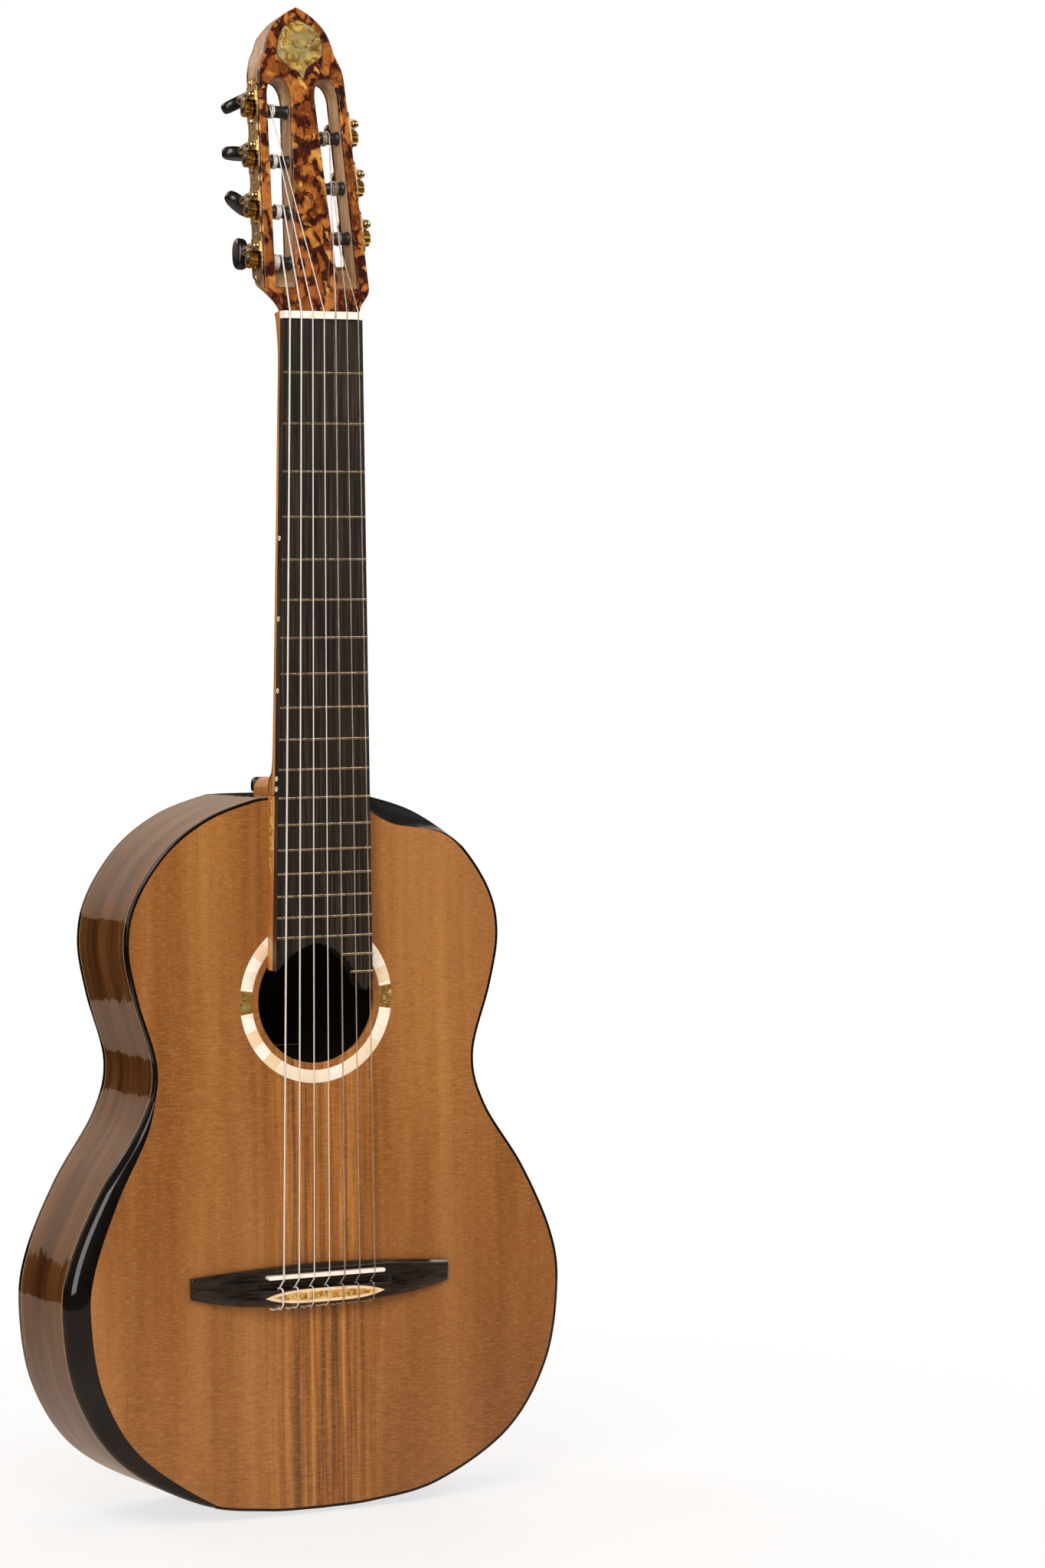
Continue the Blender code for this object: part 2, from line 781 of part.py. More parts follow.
def bar_half(down):
    """Half length of a bar across the body, which ends at the linings."""
    reach = BRACE_WIDTH / 2
    return min(inner_half(down - reach), inner_half(down + reach)) - CLEAR


def brace_side(half, height):
    """Side view of a bar on the soundboard, scooped at both ends."""
    front = TOP_THICK + CLEAR
    toe = 3.0 * MM
    run = 4 * height
    return [
        (-half, front),
        (half, front),
        (half, front + toe),
        (half - run, front + height),
        (run - half, front + height),
        (-half, front + toe),
    ]


def make_top_braces():
    """Harmonic bar below the soundhole, and the fan under the bridge."""
    down = HOLE_FROM_JOINT + HOLE_RADIUS + 12 * MM
    half = bar_half(down)
    side = brace_side(half, HARMONIC_BAR_HEIGHT)
    low = -down - BRACE_WIDTH / 2
    slab("harmonic_bar", [side], "Z", low, low + BRACE_WIDTH, SPRUCE, BODY)
    fan_top = down + 12 * MM
    fan_length = BODY_LENGTH - fan_top - FAN_FROM_TAIL
    middle = (FAN_COUNT - 1) / 2
    for i in range(FAN_COUNT):
        lean = (i - middle) * math.radians(6.0)
        length = fan_length - abs(i - middle) * 22 * MM
        turn = Matrix.Rotation(-lean, 4, "Y") @ Matrix.Rotation(math.pi / 2, 4, "Y")
        middle_down = fan_top + 2 * MM + length / 2
        spot = Matrix.Translation(((i - middle) * 34 * MM, 0.0, -middle_down))
        side = brace_side(length / 2, FAN_HEIGHT)
        half_thick = BRACE_WIDTH / 2
        slab(
            f"fan_brace_{i + 1}", [side], "Z", -half_thick, half_thick, SPRUCE, BODY, spot @ turn
        )


def make_back_braces():
    """Three bars across the back, with their tops arched to it."""
    for i, down in enumerate(BACK_BRACE_PLACES):
        half = bar_half(down)
        near = down - BRACE_WIDTH / 2
        seat = BACK_THICK + CLEAR + ARCH_SLACK
        steps = [half * (2 * j / 6 - 1) for j in range(7)]
        arch = [(x, back_at(x, near) - seat) for x in steps]
        foot = half - 4 * BACK_BRACE_HEIGHT
        inner = back_at(0.0, near) - seat - BACK_BRACE_HEIGHT
        side = arch + [(half, arch[-1][1] - 3 * MM), (foot, inner), (-foot, inner)]
        side.append((-half, arch[0][1] - 3 * MM))
        low = -down - BRACE_WIDTH / 2
        slab(f"back_brace_{i + 1}", [side], "Z", low, low + BRACE_WIDTH, SPRUCE, BODY)


def make_tail_block():
    """Block at the tail, which joins the ribs and takes the strap button."""
    half = FOOT_WIDTH / 2
    end = on_loop(EDGE_LENGTH / 2 - half).y - LINING_WIDTH - 2 * CLEAR
    start = end - 14 * MM
    deepest = back_at(half, start) - BACK_THICK - CLEAR - ARCH_SLACK
    box("tail_block", (-half, SEAT, -end), (half, deepest, -start), SPRUCE, BODY)


# Fingerboard, neck and nut

# End of the fingerboard: share of its half width, and distance past the joint.
BOARD_END_SHAPE = [
    (0.99, 127.0 * MM),
    (0.84, 133.4 * MM),
    (0.71, 129.0 * MM),
    (0.48, 112.8 * MM),
    (-0.06, 100.0 * MM),
    (-0.58, 105.0 * MM),
    (-0.99, 118.0 * MM),
]


def board_half(down):
    """Half width of the fingerboard at a distance below the nut."""
    widening = (WIDTH_AT_FRET_12 - NUT_WIDTH) / 2 / (SCALE_LENGTH / 2)
    return NUT_WIDTH / 2 + widening * down


def board_end():
    """Points round the fingerboard's end, from the treble side to the bass side."""
    return [
        (share * board_half(BODY_JOINT + past), -BODY_JOINT - past)
        for share, past in BOARD_END_SHAPE
    ]


def fret_height(number):
    """Z of a fret."""
    return -SCALE_LENGTH * (1 - 2 ** (-number / 12))


def make_fingerboard():
    """Side view with a ridge for each fret, cut to the tapered outline."""
    end = -BODY_JOINT - max(past for _, past in BOARD_END_SHAPE) - FRET_WIDTH
    side = [(BOARD_THICK, -CLEAR), (0.0, -CLEAR)]
    for number in range(1, FRETS + 1):
        height = fret_height(number)
        crown = FRET_WIDTH / 4
        side.append((0.0, height + FRET_WIDTH / 2))
        side.append((-FRET_HEIGHT, height + crown))
        side.append((-FRET_HEIGHT, height - crown))
        side.append((0.0, height - FRET_WIDTH / 2))
    side += [(0.0, end), (BOARD_THICK, end)]
    half = WIDTH_AT_FRET_12
    board = slab("fingerboard", [side], "X", -half, half, EBONY)
    outline = [(-board_half(0.0), 1 * MM), (board_half(0.0), 1 * MM), *board_end()]
    shape = slab("fingerboard_outline", [outline], "Y", -2 * MM, BOARD_THICK + 2 * MM)
    combine(board, shape, "INTERSECT")


def shaft_ring(height, half, depth, power):
    """Section of the neck: flat under the fingerboard, rounded behind."""
    top = BOARD_THICK + CLEAR
    return [(x, top + y, height) for x, y in oval_arc(half, depth, power, 10)]


def heel_ring(depth, half, length):
    """Section of the heel at a depth behind the soundboard's plane."""
    arc = oval_arc(half, length - CLEAR, 2.4, 10)
    return [(x, depth, CLEAR + up) for x, up in arc]


def make_heel():
    """Heel, which sweeps from the full neck down to its narrow cap."""
    start = BOARD_THICK + CLEAR + NECK_DEPTH_AT_HEEL - BOARD_OVER_TOP
    end = DEPTH_AT_HEEL + HEEL_CAP_PROUD - HEEL_CAP_DEPTH - CLEAR
    neck_half = board_half(BODY_JOINT)
    cap_half = HEEL_WIDTH_AT_CAP / 2
    rings = [heel_ring(start - 13 * MM, neck_half - 0.6 * MM, 6 * MM)]
    for share in (0.0, 0.07, 0.15, 0.25, 0.4, 0.6, 1.0):
        half = cap_half + (0.82 * neck_half - cap_half) * math.exp(-3.3 * share)
        length = HEEL_LENGTH_AT_CAP + 27 * MM * math.exp(-6.5 * share)
        rings.append(heel_ring(start + (end - start) * share, half, length))
    return loft("heel", rings, None, BODY)


def make_extension():
    """Neck wood under the fingerboard, over the soundboard."""
    half = board_half(BODY_JOINT) - 0.1 * MM
    above = -BODY_JOINT + 3 * MM
    outline = [(-half, above), (half, above), *board_end()]
    low = BOARD_THICK + CLEAR
    wood = slab("extension", [outline], "Y", low, low + 20 * MM)
    room = box(
        "room_for_body", (-0.1, -CLEAR, -0.2), (0.1, 40 * MM, 12 * MM), None, BODY
    )
    combine(wood, room, "DIFFERENCE")
    return wood


def splice_ring(half, depth, power):
    """End of the neck where the head is spliced on, level with the head's bottom."""
    slope = math.tan(HEAD_TILT)
    return [
        (x, y, NUT_LENGTH + slope * (y - BOARD_THICK))
        for x, y, _ in shaft_ring(0.0, half, depth, power)
    ]


def make_neck():
    """Shaft, heel and foot as one piece of wood."""
    top_half = NUT_WIDTH / 2
    joint = BODY_JOINT - 0.5 * MM
    rings = [
        splice_ring(top_half + 0.6 * MM, VOLUTE_DEPTH - 1.2 * MM, 4.0),
        shaft_ring(0.0, top_half + 0.3 * MM, VOLUTE_DEPTH, 3.2),
        shaft_ring(-8 * MM, board_half(8 * MM), VOLUTE_DEPTH, 2.8),
        shaft_ring(-18 * MM, board_half(18 * MM), NECK_DEPTH_AT_NUT + 0.6 * MM, 2.5),
        shaft_ring(-30 * MM, board_half(30 * MM), NECK_DEPTH_AT_NUT, 2.3),
        shaft_ring(-joint, board_half(joint), NECK_DEPTH_AT_HEEL, 2.3),
    ]
    neck = loft("neck", rings, NECK_WOOD)
    combine(neck, make_heel(), "UNION")
    combine(neck, make_extension(), "UNION")
    behind = INNER_AT_NECK + CLEAR
    tenon_half = TENON_WIDTH / 2
    tenon_end = DEPTH_AT_HEEL - 10 * MM
    tenon = box(
        "tenon",
        (-tenon_half, BINDING_DEPTH + 1 * MM, -behind - 1 * MM),
        (tenon_half, tenon_end, 3 * MM),
        None,
        BODY,
    )
    combine(neck, tenon, "UNION")
    half = FOOT_WIDTH / 2
    deepest = back_at(half, 0.0) - BACK_THICK - CLEAR - ARCH_SLACK
    foot = box(
        "foot", (-half, SEAT, -behind - FOOT_LENGTH), (half, deepest, -behind), None, BODY
    )
    combine(neck, foot, "UNION")
    return neck


def make_heel_cap():
    """Black cap on the heel, flush with the back and slightly proud of it."""
    rear = DEPTH_AT_HEEL + HEEL_CAP_PROUD
    wide = HEEL_WIDTH_AT_CAP / 2
    narrow = wide * 0.78
    rings = []
    for depth, half in ((rear - HEEL_CAP_DEPTH, wide), (rear, narrow)):
        low, high = CLEAR, HEEL_LENGTH_AT_CAP
        corner = half * 0.7
        rings.append(
            [
                (-half, depth, low),
                (half, depth, low),
                (half, depth, high * 0.75),
                (corner, depth, high),
                (-corner, depth, high),
                (-half, depth, high * 0.75),
            ]
        )
    return loft("heel_cap", rings, BLACK_LACQUER, BODY)


def string_x(number, spacing, shift=0.0):
    """Place of a string across the guitar."""
    return (4 - number) * spacing + shift


def make_nut():
    """Nut with a notch for each string."""
    half = NUT_WIDTH / 2
    top = NUT_ACTION + 0.7 * MM
    nut = box("nut", (-half, -top, 0.0), (half, BOARD_THICK, NUT_LENGTH), BONE)
    notches = []
    for number, radius in enumerate(STRING_RADII, 1):
        x = string_x(number, SPACING_AT_NUT)
        depth = -NUT_ACTION - radius
        run = [(x, depth, -2 * MM), (x, depth, NUT_LENGTH + 2 * MM)]
        notches.append(tube(f"notch_{number}", run, radius + CLEAR + 0.1 * MM, 1))
    combine(nut, gathered("nut_notches", notches), "DIFFERENCE")


# Head

def head_half(up):
    """Half width of the head where its sides are straight."""
    return HEAD_HALF_AT_NUT - HEAD_TAPER * up


# Points of the head's edge (half width, height) with how far each climbs to the back.
HEAD_EARS = [
    (30.8 * MM, 2.0 * MM, 1.0 * MM),
    (32.5 * MM, 5.5 * MM, 5.0 * MM),
    (36.0 * MM, 10.0 * MM, 7.0 * MM),
    (38.6 * MM, 14.5 * MM, 7.0 * MM),
]
HEAD_CROWN = [
    (31.6 * MM, 166.0 * MM, 4.0 * MM),
    (29.3 * MM, 173.5 * MM, 6.0 * MM),
    (26.3 * MM, 179.5 * MM, 6.0 * MM),
    (24.6 * MM, 186.0 * MM, 4.0 * MM),
    (22.3 * MM, 192.5 * MM, 2.0 * MM),
    (18.3 * MM, 199.0 * MM, 0.0),
    (12.8 * MM, 204.5 * MM, 0.0),
    (6.5 * MM, 209.0 * MM, 0.0),
]
HEAD_TIP = 212.3 * MM
EAR_TOP = 18.0 * MM
EAR_CLIMB = 7.0 * MM
SHOULDER = 158.0 * MM
BACK_PLATE_POINT = 1.0 * MM


def head_edge(depth, bottom):
    """Outline of the head at a depth, from its bottom right round to its bottom left."""
    back = depth / HEAD_THICK
    ear = EAR_TOP + EAR_CLIMB * back
    right = [(30.6 * MM, bottom)]
    right += [(half, up + climb * back) for half, up, climb in HEAD_EARS]
    right += [(head_half(ear), ear), (head_half(SHOULDER), SHOULDER)]
    right += [(half, up + climb * back) for half, up, climb in HEAD_CROWN]
    left = [(-half, up) for half, up in reversed(right)]
    return right + [(0.0, HEAD_TIP)] + left


def head_slice(name, front, back, bottom, material=None):
    """Part of the head between two depths."""
    rings = []
    for depth in (front, back):
        rings.append([(x, depth, up) for x, up in head_edge(depth, bottom)])
    return loft(name, rings, material, HEAD)


def back_plate_edge(depth):
    """Outline of the back plate: the head's, with a V at the bottom."""
    edge = head_edge(depth, 0.0)
    ears = len(HEAD_EARS) + 1
    return [(0.0, BACK_PLATE_POINT), *edge[ears:-ears]]


def slot_edge(ends, up):
    """Distance of a slot's edge from the middle of the head, at a height."""
    share = (up - SLOT_BOTTOM) / (SLOT_TOP - SLOT_BOTTOM)
    return ends[0] + (ends[1] - ends[0]) * share


def make_slot(side):
    """Room of one string slot: ramp at the bottom, round end at the top."""
    centre = (SLOT_INNER[1] + SLOT_OUTER[1]) / 2
    half = (SLOT_OUTER[1] - SLOT_INNER[1]) / 2
    arch = [(centre + x, SLOT_TOP + up) for x, up in oval_arc(half, SLOT_ROUND, 2.2, 6)]
    over = 3 * MM
    rings = []
    for depth in (-over, HEAD_THICK + over):
        bottom = SLOT_BOTTOM + SLOT_RAMP * depth / HEAD_THICK
        ring = [
            (slot_edge(SLOT_INNER, bottom), bottom),
            (slot_edge(SLOT_OUTER, bottom), bottom),
            *arch,
        ]
        rings.append([(side * x, depth, up) for x, up in ring])
    return loft(f"slot_{side}", rings, None, HEAD)


def make_head_core(slots, bores):
    """Wood of the head, spliced to the neck, with its slots and roller bores."""
    front = HEAD_PLATE + CLEAR
    back = HEAD_THICK - HEAD_PLATE - CLEAR
    core = head_slice("head_core", front, back, CLEAR, NECK_WOOD)
    combine(core, slots, "DIFFERENCE")
    combine(core, bores, "DIFFERENCE")


def make_head_plates(slots):
    """Mosaic plates on the front and the back of the head."""
    front = head_slice("head_front_plate", 0.0, HEAD_PLATE, 0.5 * MM, AMBER_MOSAIC)
    combine(front, slots, "DIFFERENCE")
    rings = []
    for depth in (HEAD_THICK - HEAD_PLATE, HEAD_THICK):
        rings.append([(x, depth, up) for x, up in back_plate_edge(depth)])
    back = loft("head_back_plate", rings, AMBER_MOSAIC, HEAD)
    combine(back, slots, "DIFFERENCE")


# Bridge and strings

BRIDGE_DEPTH = 29.0 * MM
SADDLE_BLOCK_HEIGHT = 8.5 * MM
CHANNEL_HEIGHT = 4.0 * MM

# Side view of the bridge's block: distance from its top edge, and height.
BLOCK_SIDE = [
    (0.2 * MM, 0.3 * MM),
    (0.2 * MM, 5.0 * MM),
    (3.5 * MM, SADDLE_BLOCK_HEIGHT),
    (12.0 * MM, SADDLE_BLOCK_HEIGHT),
    (13.5 * MM, CHANNEL_HEIGHT),
    (16.5 * MM, CHANNEL_HEIGHT),
    (17.5 * MM, TIE_BLOCK_HEIGHT),
    (26.0 * MM, TIE_BLOCK_HEIGHT),
    (28.8 * MM, 6.0 * MM),
    (28.8 * MM, 0.3 * MM),
]


def bridge_point(across, from_edge, height):
    """A point in the body's frame, from places on the bridge."""
    return (across, -CLEAR - height, -BRIDGE_FROM_JOINT - from_edge)


def make_bridge():
    """Wings, saddle block and tie block, with the saddle's slot and the tie holes."""
    half = BRIDGE_LENGTH / 2
    block = BRIDGE_BLOCK / 2
    waist = block + 4 * MM
    right = [
        (block, 0.0),
        (waist, 3.5 * MM),
        (half, 5.0 * MM),
        (half, 19.5 * MM),
        (waist, 25.5 * MM),
        (block, BRIDGE_DEPTH),
    ]
    outline = right + [(-x, down) for x, down in reversed(right)]
    outline = [(x, -BRIDGE_FROM_JOINT - down) for x, down in outline]
    bridge = slab("bridge", [outline], "Y", -CLEAR - WING_HEIGHT, -CLEAR, EBONY, BODY)
    side = [bridge_point(0.0, down, height)[1:] for down, height in BLOCK_SIDE]
    combine(bridge, slab("bridge_block", [side], "X", -block, block, None, BODY), "UNION")
    slot_half = SADDLE_LENGTH / 2 + CLEAR
    reach = SADDLE_THICK / 2 + CLEAR
    floor = SADDLE_BLOCK_HEIGHT - SADDLE_SINK
    low = bridge_point(-slot_half, SADDLE_FROM_EDGE + reach, 20 * MM)
    high = bridge_point(slot_half, SADDLE_FROM_EDGE - reach, floor - CLEAR)
    combine(bridge, box("saddle_slot", low, high, None, BODY), "DIFFERENCE")
    holes = []
    for number in range(1, 8):
        x = string_x(number, SPACING_AT_SADDLE, SADDLE_SHIFT)
        run = [bridge_point(x, down, TIE_HOLE_HEIGHT) for down in (14.5 * MM, 33 * MM)]
        holes.append(tube(f"tie_hole_{number}", run, TIE_HOLE_RADIUS, 2, None, BODY))
    combine(bridge, gathered("tie_holes", holes), "DIFFERENCE")
    place = BODY.matrix_local.inverted() @ Vector((0.0, -SADDLE_TOP, -SCALE_LENGTH - 2.5 * MM))
    low = bridge_point(-SADDLE_LENGTH / 2, SADDLE_FROM_EDGE + SADDLE_THICK / 2, 0.0)
    high = bridge_point(SADDLE_LENGTH / 2, SADDLE_FROM_EDGE - SADDLE_THICK / 2, floor)
    box("saddle", (low[0], place.y, low[2]), high, BONE, BODY)


def make_trim():
    """Pointed strip on top of the tie block."""
    half = TRIM_LENGTH / 2
    steps = 8
    upper = []
    for i in range(steps + 1):
        x = half * (2 * i / steps - 1)
        upper.append((x, TRIM_WIDTH / 2 * (1 - (x / half) ** 2)))
    lower = [(x, -y) for x, y in reversed(upper[1:-1])]
    middle = -BRIDGE_FROM_JOINT - (17.5 * MM + 26.0 * MM) / 2
    outline = [(x, middle + y) for x, y in upper + lower]
    top = -2 * CLEAR - TIE_BLOCK_HEIGHT
    slab("tie_block_trim", [outline], "Y", top - TRIM_THICK, top, IVORY, BODY)


def string_run(number, radius):
    """Points of a string from the nut to the end of its tie hole, in the world."""
    at_nut = string_x(number, SPACING_AT_NUT)
    at_saddle = string_x(number, SPACING_AT_SADDLE, SADDLE_SHIFT)
    over_nut = -NUT_ACTION - radius
    over_saddle = -SADDLE_TOP - CLEAR - radius
    saddle = -SCALE_LENGTH - 2.5 * MM
    run = [
        (at_nut, over_nut, NUT_LENGTH),
        (at_nut, over_nut, 0.0),
        (at_saddle, over_saddle, saddle + 2.0 * MM),
        (at_saddle, over_saddle, saddle - 2.0 * MM),
    ]
    for down in (16.8 * MM, 30.5 * MM):
        point = BODY.matrix_local @ Vector(bridge_point(at_saddle, down, TIE_HOLE_HEIGHT))
        run.append(tuple(point))
    return run


# Tuning machines

TILT = math.atan(HEAD_TAPER)
WORM_X = GEAR_INSIDE + GEAR_WIDTH / 2
PITCH_RADIUS = GEAR_TEETH * TOOTH_PITCH / math.tau
PLATE_INSIDE = CLEAR
PLATE_OUTSIDE = CLEAR + PLATE_THICK


def side_frame(side, name):
    """Empty on the side of the head: X outward, Y to the back."""
    outward = Vector((side * math.cos(TILT), 0.0, math.sin(TILT)))
    backward = Vector((0.0, 1.0, 0.0))
    turn = Matrix((outward, backward, outward.cross(backward))).transposed().to_4x4()
    empty = bpy.data.objects.new(name, None)
    PARTS.objects.link(empty)
    empty.parent = HEAD
    spot = Matrix.Translation((side * HEAD_HALF_AT_NUT, ROLLER_FROM_FRONT, 0.0))
    empty.matrix_local = spot @ turn
    return empty


SIDES = {1: side_frame(1, "side_treble"), -1: side_frame(-1, "side_bass")}


def along_side(up):
    """Length along the head's side at a height."""
    return up / math.cos(TILT)


def roller_ends(up):
    """Depths of the slot's outer and inner walls, from the head's side."""
    outer = (head_half(up) - slot_edge(SLOT_OUTER, up)) / math.cos(TILT)
    inner = (head_half(up) - slot_edge(SLOT_INNER, up)) / math.cos(TILT)
    return outer, inner


def roller_place(side, up):
    """Matrix of a roller's frame inside its side frame."""
    return Matrix.Translation((0.0, 0.0, side * along_side(up)))


def make_bore(side, up):
    """Room for a roller: through the outer wall and into the middle strip."""
    outer, inner = roller_ends(up)
    wide = ROLLER_RADIUS + 0.5 * MM
    narrow = ROLLER_SHAFT + 0.4 * MM
    profile = [
        (0.0, 4 * MM),
        (wide, 4 * MM),
        (wide, -outer - 2 * MM),
        (narrow, -outer - 2 * MM),
        (narrow, -inner - ROLLER_PIN_LENGTH - 0.4 * MM),
        (0.0, -inner - ROLLER_PIN_LENGTH - 0.4 * MM),
    ]
    turn = Matrix.Rotation(math.pi / 2, 4, "Y")
    place = roller_place(side, up) @ turn
    return turned(f"bore_{side}_{round(up / MM)}", profile, 10, None, SIDES[side], place)


def make_gear(name, side, up):
    """Gear ring, its teeth leaning to match the worm's thread."""
    root_half = (math.tau * GEAR_ROOT / GEAR_TEETH - TOOTH_FOOT) / 2 / GEAR_ROOT
    step = math.tau / GEAR_TEETH
    lean = TOOTH_PITCH / math.tau / (CENTRE_DISTANCE - PITCH_RADIUS) / PITCH_RADIUS
    rings = []
    for x in (GEAR_INSIDE, GEAR_INSIDE + GEAR_WIDTH):
        ring = []
        for tooth in range(GEAR_TEETH):
            for offset, radius in (
                (-root_half, GEAR_ROOT),
                (root_half, GEAR_ROOT),
                (step / 2, GEAR_OUTER),
            ):
                angle = tooth * step + offset + lean * (x - WORM_X)
                y = -side * radius * math.sin(angle)
                ring.append((x, y, side * radius * math.cos(angle)))
        rings.append(ring)
    return loft(name, rings, None, SIDES[side], roller_place(side, up))


def wrap_point(side, x, radius, angle):
    """Point round a roller: angle from its front, over the side of the head's tip."""
    return Vector((x, -radius * math.cos(angle), side * radius * math.sin(angle)))


def string_wrap(side, up, middle, radius, nut_point):
    """Where a string meets its roller: place along it, radius and first angle."""
    x = -(head_half(up) - middle) / math.cos(TILT)
    turn_radius = ROLLER_WAIST + CLEAR + radius
    frame = HEAD.matrix_local @ SIDES[side].matrix_local @ roller_place(side, up)
    local = frame.inverted() @ Vector(nut_point)
    forward, upward = -local.y, side * local.z
    reach = math.hypot(forward, upward)
    angle = math.atan2(upward, forward) + math.acos(turn_radius / reach)
    return frame, x, turn_radius, angle


WRAP_ANGLE = math.radians(100.0)


def make_string(number, side, up, middle):
    """One string, from a quarter turn round its roller to its tie hole."""
    radius = STRING_RADII[number - 1]
    run = string_run(number, radius)
    frame, x, turn_radius, angle = string_wrap(side, up, middle, radius, run[0])
    wrap = []
    for i in range(4):
        turned_by = WRAP_ANGLE * (1 - i / 3)
        wrap.append(tuple(frame @ wrap_point(side, x, turn_radius, angle + turned_by)))
    material = CLEAR_STRING if number <= 3 else SILVER_STRING
    tube(f"string_{number}", wrap + run, radius, 1, material)


def make_winding(number, side, up, middle):
    """The turns of a string on its roller, one tube whose end goes into the roller."""
    radius = STRING_RADII[number - 1]
    nut_point = string_run(number, radius)[0]
    _, x, turn_radius, angle = string_wrap(side, up, middle, radius, nut_point)
    outer, inner = roller_ends(up)
    inward = -1 if x + inner > -outer - x else 1
    pitch = 2 * radius + WINDING_GAP
    count = round(WINDING_TURNS * WINDING_STEPS)
    points = []
    for i in range(count + 1):
        share = i / WINDING_STEPS
        place = x + inward * pitch * (1 + share)
        turned_by = angle + WRAP_ANGLE + math.tau * share
        points.append(wrap_point(side, place, turn_radius, turned_by))
    gap = least_gap(points, radius)
    print(f"winding {number}: least gap to itself {gap / MM:.2f} mm")
    last = points[-1]
    points.append(Vector((last.x, last.y * 0.45, last.z * 0.45)))
    return tube(f"winding_{number}", points, radius, 1, None, SIDES[side], roller_place(side, up))


def least_gap(points, radius):
    """Smallest room between one turn and another along a winding."""
    apart = WINDING_STEPS // 2
    least = math.inf
    for i, point in enumerate(points):
        for other in points[i + apart:]:
            least = min(least, (point - other).length)
    return least - 2 * radius


def make_roller(number, side, up, middle):
    """Roller with its gear and its winding."""
    outer, inner = roller_ends(up)
    end = GEAR_INSIDE + GEAR_WIDTH + CLEAR
    flare = 1.2 * MM
    profile = [
        (0.0, end),
        (ROLLER_SHAFT, end),
        (ROLLER_SHAFT, -CLEAR),
        (ROLLER_RADIUS, -CLEAR),
        (ROLLER_RADIUS, -outer - 1 * MM),
        (ROLLER_WAIST, -outer - 1 * MM - flare),
        (ROLLER_WAIST, -inner + 1 * MM + flare),
        (ROLLER_RADIUS, -inner + 1 * MM),
        (ROLLER_RADIUS, -inner + RUNNING),
        (ROLLER_SHAFT, -inner + RUNNING),
        (ROLLER_SHAFT, -inner - ROLLER_PIN_LENGTH),
        (0.0, -inner - ROLLER_PIN_LENGTH),
    ]
    turn = Matrix.Rotation(math.pi / 2, 4, "Y")
    place = roller_place(side, up) @ turn
    roller = turned(f"tuner_roller_{number}", profile, 9, ROLLER_BLACK, SIDES[side], place)
    combine(roller, make_gear(f"gear_{number}", side, up), "UNION")
    winding = make_winding(number, side, up, middle)
    solid = baked_tool(winding)
    combine(roller, solid, "UNION")


def baked_tool(obj):
    """A curve tool as a mesh tool at the same place."""
    bpy.context.view_layer.update()
    name, parent, matrix = obj.name, obj.parent, obj.matrix_local.copy()
    return add(name + "_solid", baked(obj), None, parent, matrix)


# Worm's shaft: place along it from the roller's axis, and radius.
WORM_FRONT = [
    (-9.3 * MM, 1.2 * MM),
    (-8.3 * MM, 2.4 * MM),
    (-7.3 * MM, WORM_SHAFT),
    (-3.3 * MM, WORM_SHAFT),
]
WORM_BACK = [
    (4.1 * MM, WORM_SHAFT),
    (7.8 * MM, WORM_SHAFT),
    (8.3 * MM, 2.8 * MM),
    (9.3 * MM, 2.0 * MM),
    (10.4 * MM, 3.0 * MM),
    (11.5 * MM, 1.5 * MM),
    (11.5 * MM + BUTTON_BORE_DEPTH, 1.5 * MM),
]
THREAD_FIRST = -round(1.2 * WORM_STEPS)
THREAD_LAST = round(1.5 * WORM_STEPS)


